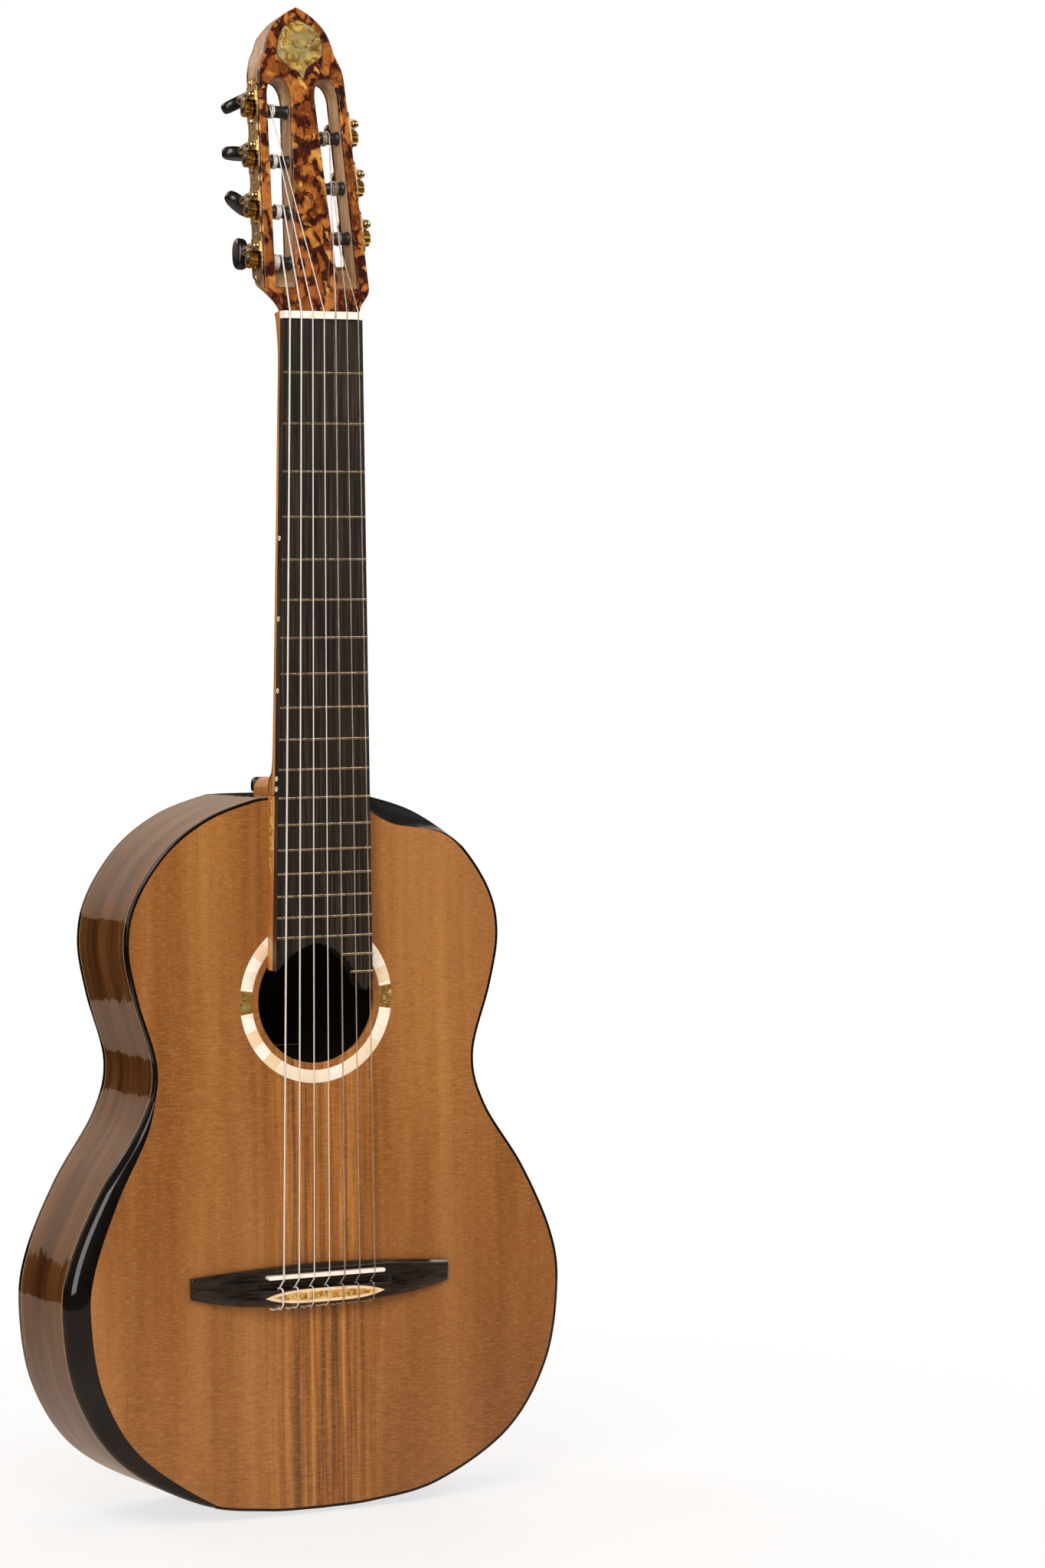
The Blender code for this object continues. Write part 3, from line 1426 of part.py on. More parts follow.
def worm_mesh():
    """Shaft and thread in one skin; the thread's crest faces Z at the middle."""
    bm = bmesh.new()
    steps = WORM_STEPS
    half_foot = TOOTH_FOOT / 2
    half_tip = TOOTH_TIP / 2
    tooth = [
        (-half_foot, WORM_ROOT),
        (-half_tip, WORM_OUTER),
        (half_tip, WORM_OUTER),
        (half_foot, WORM_ROOT),
    ]

    def vert(index, along, radius):
        angle = math.tau * index / steps
        return bm.verts.new((radius * math.sin(angle), along, radius * math.cos(angle)))

    def ring(along, radius):
        return [vert(index, along, radius) for index in range(steps)]

    thread = {}
    for i in range(THREAD_FIRST, THREAD_LAST + 1):
        for j, (offset, radius) in enumerate(tooth):
            thread[i, j] = vert(i, TOOTH_PITCH * i / steps + offset, radius)
    for i in range(THREAD_FIRST, THREAD_LAST):
        for j in range(3):
            corners = (thread[i, j], thread[i + 1, j], thread[i + 1, j + 1], thread[i, j + 1])
            bm.faces.new(corners)
        if i < THREAD_LAST - steps:
            above = i + steps
            bm.faces.new((thread[i, 3], thread[i + 1, 3], thread[above + 1, 0], thread[above, 0]))
    front_rings = [ring(along, radius) for along, radius in WORM_FRONT]
    front_rings.append(ring(-3.25 * MM, WORM_ROOT))
    back_rings = [ring(4.0 * MM, WORM_ROOT)]
    back_rings += [ring(along, radius) for along, radius in WORM_BACK]
    for rings in (front_rings, back_rings):
        for first, second in zip(rings, rings[1:]):
            for i in range(steps):
                j = (i + 1) % steps
                bm.faces.new((first[i], first[j], second[j], second[i]))
    bm.faces.new(front_rings[0])
    bm.faces.new(back_rings[-1])
    low, high = front_rings[-1], back_rings[0]
    first, last = THREAD_FIRST, THREAD_LAST
    for i in range(first, first + steps - 1):
        a, b = low[i % steps], low[(i + 1) % steps]
        bm.faces.new((a, b, thread[i + 1, 0], thread[i, 0]))
    bm.faces.new(
        (
            low[(first - 1) % steps],
            low[first % steps],
            thread[first, 0],
            thread[first, 3],
            thread[first + steps, 0],
            thread[first + steps - 1, 0],
        )
    )
    bm.faces.new([thread[first, j] for j in range(4)])
    for i in range(last - steps + 1, last):
        a, b = high[i % steps], high[(i + 1) % steps]
        bm.faces.new((thread[i, 3], thread[i + 1, 3], b, a))
    bm.faces.new(
        (
            thread[last - steps, 3],
            thread[last - steps + 1, 3],
            high[(last + 1) % steps],
            high[last % steps],
            thread[last, 3],
            thread[last, 0],
        )
    )
    bm.faces.new([thread[last, j] for j in range(4)])
    return closed_mesh("tuner_worm", bm)


def button_mesh():
    """Oval button with bevelled faces and a bore for the worm's shaft."""
    half = BUTTON_LENGTH / 2
    middle = BUTTON_START + BUTTON_WIDTH / 2
    near = oval_arc(half, BUTTON_WIDTH / 2, 2.3, 6)
    outline = [(x, middle + y) for x, y in near]
    outline += [(x, middle - y) for x, y in reversed(near[1:-1])]
    thick = BUTTON_THICK / 2
    button = slab("button_shape", [outline], "Z", -thick, thick)
    bevelled(button, 1.8 * MM)
    run = [
        (0.0, BUTTON_START - 2 * MM, 0.0),
        (0.0, BUTTON_START + BUTTON_BORE_DEPTH, 0.0),
    ]
    bore = gathered("button_bore", [tube("button_bore_run", run, 1.9 * MM, 2)])
    combine(button, bore, "DIFFERENCE")
    mesh = baked(button)
    bpy.data.objects.remove(bore, do_unlink=True)
    return mesh


def make_plate(side, rollers, name):
    """Side plate with roller holes and a pair of bearings for each worm."""
    half = PLATE_WIDTH / 2
    start = along_side(rollers[0]) - PLATE_OVERHANG
    end = along_side(rollers[-1]) + CENTRE_DISTANCE + PLATE_OVERHANG - 2 * MM
    tip = 3 * MM
    right = [
        (0.0, start),
        (half * 0.55, start + tip),
        (half, start + 2 * tip),
        (half, end - 2 * tip),
        (half * 0.55, end - tip),
        (0.0, end),
    ]
    outline = right + [(-y, up) for y, up in reversed(right[1:-1])]
    outlines = [[(y, side * up) for y, up in outline]]
    hole = ROLLER_SHAFT + 0.4 * MM
    for up in rollers:
        outlines.append(circle(hole, 10, (0.0, side * along_side(up))))
    frame = SIDES[side]
    plate = slab(name, outlines, "X", PLATE_INSIDE, PLATE_OUTSIDE, GOLD, frame)
    blocks = []
    for up in rollers:
        middle = side * (along_side(up) + CENTRE_DISTANCE)
        sunk = PLATE_OUTSIDE - 0.6 * MM
        arch = oval_arc(BEARING_HALF, BEARING_HALF, 2.0, 4)
        tab = [(sunk, middle + BEARING_HALF)]
        tab += [(WORM_X + reach, middle + across) for across, reach in arch]
        tab.append((sunk, middle - BEARING_HALF))
        bore = circle(WORM_SHAFT + 0.4 * MM, 8, (WORM_X, middle))
        for near, far in (BEARING_FRONT, BEARING_BACK):
            block_name = f"bearing_{round(up / MM)}_{round(near / MM)}"
            blocks.append(slab(block_name, [tab, bore], "Y", near, far, None, frame))
    combine(plate, gathered(name + "_bearings", blocks), "UNION")


def make_tuners():
    """Plates, rollers, worms and buttons."""
    make_plate(1, TREBLE_ROLLERS, "tuner_plate_treble")
    make_plate(-1, BASS_ROLLERS, "tuner_plate_bass")
    worm = worm_mesh()
    button = button_mesh()
    for number, side, up, middle, rest in TUNERS:
        frame = SIDES[side]
        make_roller(number, side, up, middle)
        make_string(number, side, up, middle)
        axis = Matrix.Translation((WORM_X, 0.0, side * (along_side(up) + CENTRE_DISTANCE)))
        facing = Matrix.Rotation(math.pi if side > 0 else 0.0, 4, "Y")
        add(f"tuner_worm_{number}", worm, STEEL, frame, axis @ facing)
        rests = Matrix.Rotation(math.radians(rest), 4, "Y")
        add(f"tuner_button_{number}", button, BUTTON_BLACK, frame, axis @ rests)


def main():
    """Build every piece of the guitar."""
    soundboard = make_soundboard()
    ribs = make_ribs()
    make_bevels(soundboard, ribs)
    make_bindings()
    make_back()
    make_top_braces()
    make_back_braces()
    make_tail_block()
    slots = gathered("head_slots", [make_slot(1), make_slot(-1)])
    bores = gathered("roller_bores", [make_bore(side, up) for _, side, up, _, _ in TUNERS])
    make_neck()
    make_heel_cap()
    make_head_core(slots, bores)
    make_head_plates(slots)
    make_fingerboard()
    make_nut()
    make_bridge()
    make_trim()
    make_tuners()


main()
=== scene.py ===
"""Visual model of a seven-string classical guitar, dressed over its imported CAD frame.

Lengths are in metres. X runs to the treble side, Y to the back and Z up the neck. The
guitar is made as a luthier would list it: body, neck, head, bridge, strings and tuning
machines, each a class that holds its sizes, builds its meshes and dresses them.
"""

import logging
from collections.abc import Callable, Iterator, Sequence
from contextlib import contextmanager
from dataclasses import dataclass, field
from enum import Enum
from functools import cached_property
from math import acos, atan, atan2, copysign, cos, dist, hypot, pi, radians, sin, tan, tau

import bmesh
import bpy
from bmesh.types import BMesh
from bpy.types import ID, Material, Mesh, MeshPolygon, Node, NodeSocket, NodeTree, Object
from mathutils import Matrix, Vector


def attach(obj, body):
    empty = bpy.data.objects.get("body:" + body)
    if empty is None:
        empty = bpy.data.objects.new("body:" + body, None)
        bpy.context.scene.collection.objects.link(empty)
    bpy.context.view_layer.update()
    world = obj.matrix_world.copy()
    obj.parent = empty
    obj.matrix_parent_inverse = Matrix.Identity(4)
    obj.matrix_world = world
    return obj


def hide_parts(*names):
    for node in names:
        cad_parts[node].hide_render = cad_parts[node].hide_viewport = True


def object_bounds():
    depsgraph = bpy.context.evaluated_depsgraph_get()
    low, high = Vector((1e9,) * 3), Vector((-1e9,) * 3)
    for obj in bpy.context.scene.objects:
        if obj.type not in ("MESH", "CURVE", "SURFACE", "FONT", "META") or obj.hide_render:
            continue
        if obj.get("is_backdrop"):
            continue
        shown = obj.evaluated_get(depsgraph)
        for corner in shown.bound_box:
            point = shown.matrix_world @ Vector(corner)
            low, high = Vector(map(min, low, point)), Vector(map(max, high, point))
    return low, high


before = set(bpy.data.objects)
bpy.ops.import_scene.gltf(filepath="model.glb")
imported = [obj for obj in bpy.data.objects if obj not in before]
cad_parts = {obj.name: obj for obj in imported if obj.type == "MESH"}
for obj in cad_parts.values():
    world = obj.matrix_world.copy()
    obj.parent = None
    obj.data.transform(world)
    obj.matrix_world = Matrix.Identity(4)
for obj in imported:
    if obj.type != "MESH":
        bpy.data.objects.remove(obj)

LOG = logging.getLogger("guitar")
MM = 0.001
GUITAR = "guitar"
# Gap that keeps the faces of two fitted pieces apart.
SEAT = 0.02 * MM
Point = tuple[float, float, float]
# Corners of a strip's section at a place on the edge: inset, depth, measured from the back.
Corners = list[tuple[float, float, bool]]


class Side(Enum):
    """Side of the guitar, seen from the front."""

    TREBLE = 1
    BASS = -1


# Small tools


def linear_rgb(code: str) -> tuple[float, float, float, float]:
    """Linear colour of an sRGB hex value.

    Args:
        code: Six hex digits, such as "B47A3C".

    Returns:
        Red, green, blue and alpha in linear light.
    """
    channels = []
    for start in (0, 2, 4):
        value = int(code[start:start + 2], 16) / 255
        channels.append(value / 12.92 if value <= 0.04045 else ((value + 0.055) / 1.055) ** 2.4)
    return (*channels, 1.0)


def feed(tree: NodeTree, socket: NodeSocket, value: object) -> None:
    """Link another socket to an input, or set the input's value.

    Args:
        tree: Tree that holds the input.
        socket: Input to feed.
        value: Socket to link, or value to set.
    """
    if isinstance(value, NodeSocket):
        tree.links.new(value, socket)
    else:
        socket.default_value = value


def add_node(tree: NodeTree, kind: str, feeds: dict | None = None, **settings: object) -> Node:
    """Add a node with its settings and what feeds its inputs.

    Args:
        tree: Tree that gets the node.
        kind: Blender's name of the node's class.
        feeds: Input name or number, with a socket to link or a value to set.
        **settings: Properties of the node.

    Returns:
        The new node.
    """
    node = tree.nodes.new(kind)
    for name, value in settings.items():
        setattr(node, name, value)
    for key, value in (feeds or {}).items():
        feed(tree, node.inputs[key], value)
    return node


def smooth(points: Sequence, steps: int) -> list[Vector]:
    """Points on a smooth curve through open points.

    Args:
        points: Two or more points of the same size.
        steps: Steps between one point and the next.

    Returns:
        Points of the curve, both ends among them.
    """
    ends = [2 * Vector(points[0]) - Vector(points[1])]
    ends += [Vector(point) for point in points]
    ends.append(2 * Vector(points[-1]) - Vector(points[-2]))
    result = []
    for a, b, c, d in zip(ends, ends[1:], ends[2:], ends[3:]):
        for i in range(steps):
            t = i / steps
            bend = 2 * a - 5 * b + 4 * c - d
            twist = 3 * b - a - 3 * c + d
            result.append(b + ((c - a) * t + bend * t * t + twist * t ** 3) / 2)
    result.append(ends[-2])
    return result


def oval_arc(half: float, height: float, power: float, steps: int) -> list[tuple[float, float]]:
    """Half a superellipse, from +half over height to -half.

    Args:
        half: Half width.
        height: Height in the middle.
        power: 2 for an ellipse, more for squarer shoulders.
        steps: Steps from one end to the other.

    Returns:
        Points (across, up), both ends among them.
    """
    points = []
    for i in range(steps + 1):
        angle = pi * i / steps
        across = abs(cos(angle)) ** (2 / power) * copysign(1, cos(angle))
        points.append((half * across, height * max(sin(angle), 0.0) ** (2 / power)))
    return points


def mm(*points: Sequence[float]) -> list[tuple[float, ...]]:
    """Points that are given in millimetres."""
    return [tuple(value * MM for value in point) for point in points]


def circle(radius: float, steps: int, centre: tuple = (0.0, 0.0)) -> list[tuple[float, float]]:
    """Points round a circle."""
    angles = [tau * i / steps for i in range(steps)]
    return [(centre[0] + radius * cos(a), centre[1] + radius * sin(a)) for a in angles]


def plain_object(name: str, data: ID) -> Object:
    """Link a new object for some data at the origin.

    Args:
        name: Name of the object.
        data: Mesh, lamp or camera of the object.

    Returns:
        The new object.
    """
    obj = bpy.data.objects.new(name, data)
    bpy.context.scene.collection.objects.link(obj)
    return obj


@contextmanager
def edited(mesh: Mesh) -> Iterator[BMesh]:
    """A mesh as a bmesh, which is written back and freed at the end.

    Args:
        mesh: Mesh to edit.

    Yields:
        The mesh's bmesh.
    """
    bm = bmesh.new()
    bm.from_mesh(mesh)
    yield bm
    bm.to_mesh(mesh)
    bm.free()


def weld(bm: BMesh) -> None:
    """Join doubled vertices and turn the faces outward."""
    bmesh.ops.remove_doubles(bm, verts=bm.verts, dist=0.001 * MM)
    bmesh.ops.recalc_face_normals(bm, faces=bm.faces)


def settled(obj: Object, place: Matrix | None = None) -> Object:
    """Turn an object with modifiers, or a curve, into a plain mesh object.

    Args:
        obj: Object to settle; it is removed.
        place: Matrix that moves the mesh to its place.

    Returns:
        A mesh object of the same name, at the origin.
    """
    name = obj.name
    bpy.context.view_layer.update()
    depsgraph = bpy.context.evaluated_depsgraph_get()
    mesh = bpy.data.meshes.new_from_object(obj.evaluated_get(depsgraph))
    mesh.transform(obj.matrix_world)
    if place is not None:
        mesh.transform(place)
    bpy.data.objects.remove(obj, do_unlink=True)
    mesh.name = name
    return plain_object(name, mesh)


def loft(
    name: str, rings: Sequence[Sequence[Point]], place: Matrix | None = None, closed: bool = False,
    flow: Callable[[int, int, Vector], tuple[float, float]] | None = None,
) -> Object:
    """A closed skin through rings of equally many points.

    Args:
        name: Name of the object.
        rings: Rings of points; the first and the last are capped.
        place: Matrix that moves the mesh to its place.
        closed: Join the last ring to the first instead of capping.
        flow: Gives the flow map at a ring's number, a point's number and the point.

    Returns:
        The new object.
    """
    mesh = bpy.data.meshes.new(name)
    with edited(mesh) as bm:
        layer = bm.loops.layers.uv.new("Flow") if flow else None
        rows = [[bm.verts.new(point) for point in ring] for ring in rings]
        last, count = len(rows), len(rows[0])
        for i in range(last if closed else last - 1):
            for j in range(count):
                spots = ((i, j), (i, j + 1), (i + 1, j + 1), (i + 1, j))
                face = bm.faces.new([rows[row % last][column % count] for row, column in spots])
                for loop, (row, column) in zip(face.loops, spots if flow else ()):
                    loop[layer].uv = flow(row, column, loop.vert.co)
        if not closed:
            bm.faces.new(rows[0])
            bm.faces.new(rows[-1])
        weld(bm)
        bm.transform(place or Matrix.Identity(4))
    return plain_object(name, mesh)


def turned(name: str, profile: Sequence[tuple[float, float]], steps: int, place: Matrix) -> Object:
    """A closed (radius, height) profile turned about Z and moved to its place."""
    rings = [[(x, y, height) for x, y in circle(radius, steps)] for radius, height in profile]
    return loft(name, rings, place)


AXIS_TURN = {
    "X": Matrix(((0, 0, 1, 0), (1, 0, 0, 0), (0, 1, 0, 0), (0, 0, 0, 1))),
    "Y": Matrix(((1, 0, 0, 0), (0, 0, -1, 0), (0, 1, 0, 0), (0, 0, 0, 1))),
    "Z": Matrix.Identity(4),
}


def slab(
    name: str, outlines: Sequence[Sequence[Sequence[float]]], axis: str, span: tuple[float, float],
    place: Matrix | None = None, round_edge: float = 0.0,
) -> Object:
    """A flat outline with holes, given a thickness and rounded edges.

    Args:
        name: Name of the object.
        outlines: The outline first, then its holes, as (across, along) points.
        axis: Axis that the thickness runs along.
        span: Start and end of the thickness.
        place: Matrix that moves the mesh to its place.
        round_edge: Radius of the rounded edges, 0 for sharp ones.

    Returns:
        The new object.
    """
    start, end = span
    curve = bpy.data.curves.new(name, "CURVE")
    curve.dimensions = "2D"
    curve.fill_mode = "BOTH"
    curve.extrude = (end - start) / 2 - round_edge
    curve.bevel_depth = round_edge
    curve.bevel_resolution = 2
    curve.offset = -round_edge
    for outline in outlines:
        spline = curve.splines.new("POLY")
        spline.points.add(len(outline) - 1)
        for point, (across, along) in zip(spline.points, outline):
            point.co = (across, along, 0, 1)
        spline.use_cyclic_u = True
    turn = AXIS_TURN[axis]
    middle = turn.to_3x3() @ Vector((0, 0, 1)) * ((start + end) / 2)
    if axis == "Y":
        middle = -middle
    local = (place or Matrix.Identity(4)) @ Matrix.Translation(middle) @ turn
    made = settled(plain_object(name, curve), local)
    with edited(made.data) as bm:
        weld(bm)
    return made


def joined(name: str, objects: Sequence[Object]) -> Object:
    """One object holding the meshes of several.

    Args:
        name: Name of the object.
        objects: Mesh objects to join; they are removed.

    Returns:
        The new object.
    """
    mesh = bpy.data.meshes.new(name)
    with edited(mesh) as bm:
        for obj in objects:
            bm.from_mesh(obj.data)
            bpy.data.objects.remove(obj, do_unlink=True)
    return plain_object(name, mesh)


def cut(target: Object, tool: Object) -> Object:
    """Take a tool's shape out of an object and settle the result.

    Args:
        target: Object to cut; it is removed.
        tool: Shape to take out; it is removed.

    Returns:
        The settled object.
    """
    step = target.modifiers.new("Cut", "BOOLEAN")
    step.operation = "DIFFERENCE"
    step.object = tool
    step.solver = "EXACT"
    made = settled(target)
    bpy.data.objects.remove(tool, do_unlink=True)
    return made


def soften(obj: Object, width: float = 0.0, segments: int = 2, angle: float = 32.0) -> Object:
    """Round an object's edges with a bevel and shade it smooth between them.

    Args:
        obj: Mesh object.
        width: Width of the bevel, 0 for none.
        segments: Steps across the bevel.
        angle: Least angle in degrees of an edge that is rounded or stays sharp.

    Returns:
        The same object.
    """
    if width > 0:
        step = obj.modifiers.new("Edges", "BEVEL")
        step.width = width
        step.segments = segments
        step.limit_method = "ANGLE"
        step.angle_limit = radians(angle)
        step.harden_normals = True
    obj.data.shade_smooth()
    obj.data.set_sharp_from_angle(angle=radians(angle))
    return obj


def copy_of(node: str, name: str) -> Object:
    """A welded copy of a CAD node, with its flat faces made whole again.

    Args:
        node: Name of the CAD node.
        name: Name of the copy.

    Returns:
        The copy, at the origin.
    """
    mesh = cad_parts[node].data.copy()
    mesh.materials.clear()
    flat = radians(0.5)
    with edited(mesh) as bm:
        bmesh.ops.remove_doubles(bm, verts=bm.verts, dist=0.002 * MM)
        bmesh.ops.dissolve_limit(bm, angle_limit=flat, verts=bm.verts, edges=bm.edges)
    return plain_object(name, mesh)


def place_piece(obj: Object, finish: "Finish", *replaced: str, body: str = GUITAR) -> None:
    """Give a finished piece its material, its body and the CAD nodes that it stands for.

    Args:
        obj: Piece at the origin, with its place in its mesh.
        finish: Finish of the whole piece.
        *replaced: CAD nodes that it stands for.
        body: CAD body that it moves with.
    """
    obj.data.materials.clear()
    obj.data.materials.append(finish.material())
    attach(obj, body)
    if replaced:
        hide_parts(*replaced)
    LOG.info("%s rides on %s, %d vertices", obj.name, body, len(obj.data.vertices))


def second_finish(obj: Object, finish: "Finish", chosen: Callable[[MeshPolygon], bool]) -> None:
    """Give the chosen faces of a placed piece another finish.

    Args:
        obj: Placed piece.
        finish: Finish of the chosen faces.
        chosen: Says for a face whether it gets the finish.
    """
    obj.data.materials.append(finish.material())
    for face in obj.data.polygons:
        if chosen(face):
            face.material_index = 1


def dress_node(node: str, finish: "Finish") -> None:
    """Give a CAD node that stays a better material.

    Args:
        node: Name of the CAD node.
        finish: Finish to give.
    """
    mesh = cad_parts[node].data
    mesh.materials.clear()
    mesh.materials.append(finish.material())
    LOG.info("%s keeps its shape and is dressed as %s", node, finish.name)


# Finishes


@dataclass
class Painter:
    """Adds the nodes of one material or world, with the sizes of its patterns in millimetres."""

    tree: NodeTree
    flow: bool = False

    @cached_property
    def here(self) -> NodeSocket:
        """Coordinates in metres: the piece's own flow map, or the object's axes."""
        return self.flow_map() if self.flow else self.node("TexCoord").outputs["Object"]

    def node(self, kind: str, feeds: dict | None = None, **settings: object) -> Node:
        """A shader node, by its name without ShaderNode."""
        return add_node(self.tree, f"ShaderNode{kind}", feeds, **settings)

    def flow_map(self) -> NodeSocket:
        """The piece's flow map, which runs along it and across it."""
        return self.node("UVMap", uv_map="Flow").outputs[0]

    def axis(self, number: int, at: NodeSocket | None = None) -> NodeSocket:
        """One of the three parts of the coordinates."""
        return self.node("SeparateXYZ", {0: at or self.here}).outputs[number]

    def stretched(self, sizes: Point, at: NodeSocket | None = None) -> NodeSocket:
        """Coordinates in which one unit along each axis is the given size."""
        scale = tuple(1 / (size * MM) for size in sizes)
        return self.node("Mapping", {"Vector": at or self.here, "Scale": scale}).outputs[0]

    def noise(
        self, sizes: Point, detail: float = 2.0, distortion: float = 0.0, roughness: float = 0.5,
        at: NodeSocket | None = None,
    ) -> NodeSocket:
        """A noise with one bump for each of the given sizes.

        Args:
            sizes: Size of a bump along each axis, in millimetres.
            detail: Octaves of the noise.
            distortion: How far the noise is pushed about.
            roughness: Share of the finer octaves.
            at: Coordinates, or nothing for the object's own.

        Returns:
            The noise, from 0 to 1.
        """
        feeds = {"Vector": self.stretched(sizes, at), "Scale": 1.0, "Detail": detail}
        feeds |= {"Roughness": roughness, "Distortion": distortion}
        return self.node("TexNoise", feeds).outputs[0]

    def ramp(self, value: NodeSocket, stops: Sequence[tuple[float, str]]) -> NodeSocket:
        """Colours, as sRGB hex values, over a value from 0 to 1.

        Args:
            value: Value that picks the colour.
            stops: Places from 0 to 1, each with its colour.

        Returns:
            The colour.
        """
        node = self.node("ValToRGB", {0: value})
        elements = node.color_ramp.elements
        while len(elements) < len(stops):
            elements.new(0.5)
        for element, (place, code) in zip(elements, stops):
            element.position = place
            element.color = linear_rgb(code)
        return node.outputs["Color"]

    def spread(
        self, value: NodeSocket, low: float, high: float, start: float = 0.0, end: float = 1.0
    ) -> NodeSocket:
        """A value between two levels mapped onto a range and held inside it."""
        feeds = {"Value": value, 1: low, 2: high, 3: start, 4: end}
        return self.node("MapRange", feeds).outputs[0]

    def mix(
        self, share: NodeSocket | float, first: NodeSocket | str, second: NodeSocket | str,
        blend_type: str = "MIX",
    ) -> NodeSocket:
        """Two colours, as sockets or hex values, mixed by a share.

        Args:
            share: Share of the second colour.
            first: First colour.
            second: Second colour.
            blend_type: How the two are mixed.

        Returns:
            The colour.
        """
        colours = [linear_rgb(c) if isinstance(c, str) else c for c in (first, second)]
        feeds = {0: share, 6: colours[0], 7: colours[1]}
        return self.node("Mix", feeds, data_type="RGBA", blend_type=blend_type).outputs[2]

    def math(self, operation: str, *values: NodeSocket | float) -> NodeSocket:
        """One step of arithmetic on sockets and numbers."""
        return self.node("Math", dict(enumerate(values)), operation=operation).outputs[0]

    def shade(self, name: str, value: NodeSocket | float | Sequence[float]) -> None:
        """Feed one of the main shader's inputs."""
        feed(self.tree, self.tree.nodes["Principled BSDF"].inputs[name], value)

    def relief(self, height: NodeSocket, depth_mm: float) -> None:
        """Give the main shader a relief of a depth in millimetres."""
        feeds = {"Height": height, "Distance": depth_mm * MM, "Strength": 1.0}
        self.shade("Normal", self.node("Bump", feeds).outputs[0])


@dataclass(frozen=True)
class Finish:
    """A finish of the guitar; its material is made once, when it is first asked for."""

    name: str
    slot: str
    roughness: float = 0.3
    metallic: float = 0.0
    coat: float = 0.0
    specular: float = 0.5
    # Whether its patterns follow the piece's flow map.
    flow: bool = False

    def material(self) -> Material:
        """The finish's material.

        Returns:
            The material, made at its first use.
        """
        made = bpy.data.materials.get(self.name)
        if made is None:
            made = bpy.data.materials.new(self.name)
            made.use_nodes = True
            on = Painter(made.node_tree, self.flow)
            on.shade("Roughness", self.roughness)
            on.shade("Metallic", self.metallic)
            on.shade("Coat Weight", self.coat)
            on.shade("Specular IOR Level", self.specular)
            on.shade("Coat Roughness", 0.04)
            self.paint(on)
        return made

    def paint(self, on: Painter) -> None:
        """Add the finish's own nodes; each finish has its own."""
        raise NotImplementedError


@dataclass(frozen=True)
class Wood(Finish):
    """Sawn and polished wood: long grain lines, slow bands of colour and small pores."""

    dark: str = "5A3A1E"
    middle: str = "8A5C30"
    light: str = "B07C44"
    # Millimetres across the grain of a line and of a band, and along it.
    line: float = 1.2
    band: float = 14.0
    length: float = 160.0
    line_strength: float = 0.5
    # Relief of the pores, and of the slow waves that gloss shows, in millimetres.
    relief: float = 0.012
    wave: float = 0.0

    def grain_sizes(self, across: float, along: float) -> Point:
        """Sizes of a pattern whose length runs up the neck, or along the flow map."""
        return (along, across, across) if self.flow else (across, across, along)

    def base_colour(self, on: Painter) -> NodeSocket:
        """Bands, grain lines and pores on the wood's own colours.

        Args:
            on: Painter of the material's tree.

        Returns:
            The colour.
        """
        bands = on.noise(self.grain_sizes(self.band, self.length), 3.0)
        colour = on.ramp(bands, [(0.32, self.dark), (0.5, self.middle), (0.68, self.light)])
        fine = self.grain_sizes(self.line, self.length * 0.4)
        lines = on.spread(on.noise(fine, 2.0), 0.42, 0.62)
        share = on.math("MULTIPLY", lines, self.line_strength)
        return on.mix(share, colour, self.dark, "MULTIPLY")

    def paint(self, on: Painter) -> None:
        """Colour, and pores that dull the gloss a little.

        Args:
            on: Painter of the material's tree.
        """
        on.shade("Base Color", self.base_colour(on))
        pores = on.noise(self.grain_sizes(0.35, 4.0), 1.0)
        gloss = on.spread(pores, 0.3, 0.7, self.roughness * 0.85, self.roughness * 1.2)
        on.shade("Roughness", gloss)
        if self.wave:
            waves = on.noise(self.grain_sizes(24.0, 36.0), 2.0, 0.2)
            on.relief(waves, self.wave)
        else:
            on.relief(pores, self.relief)


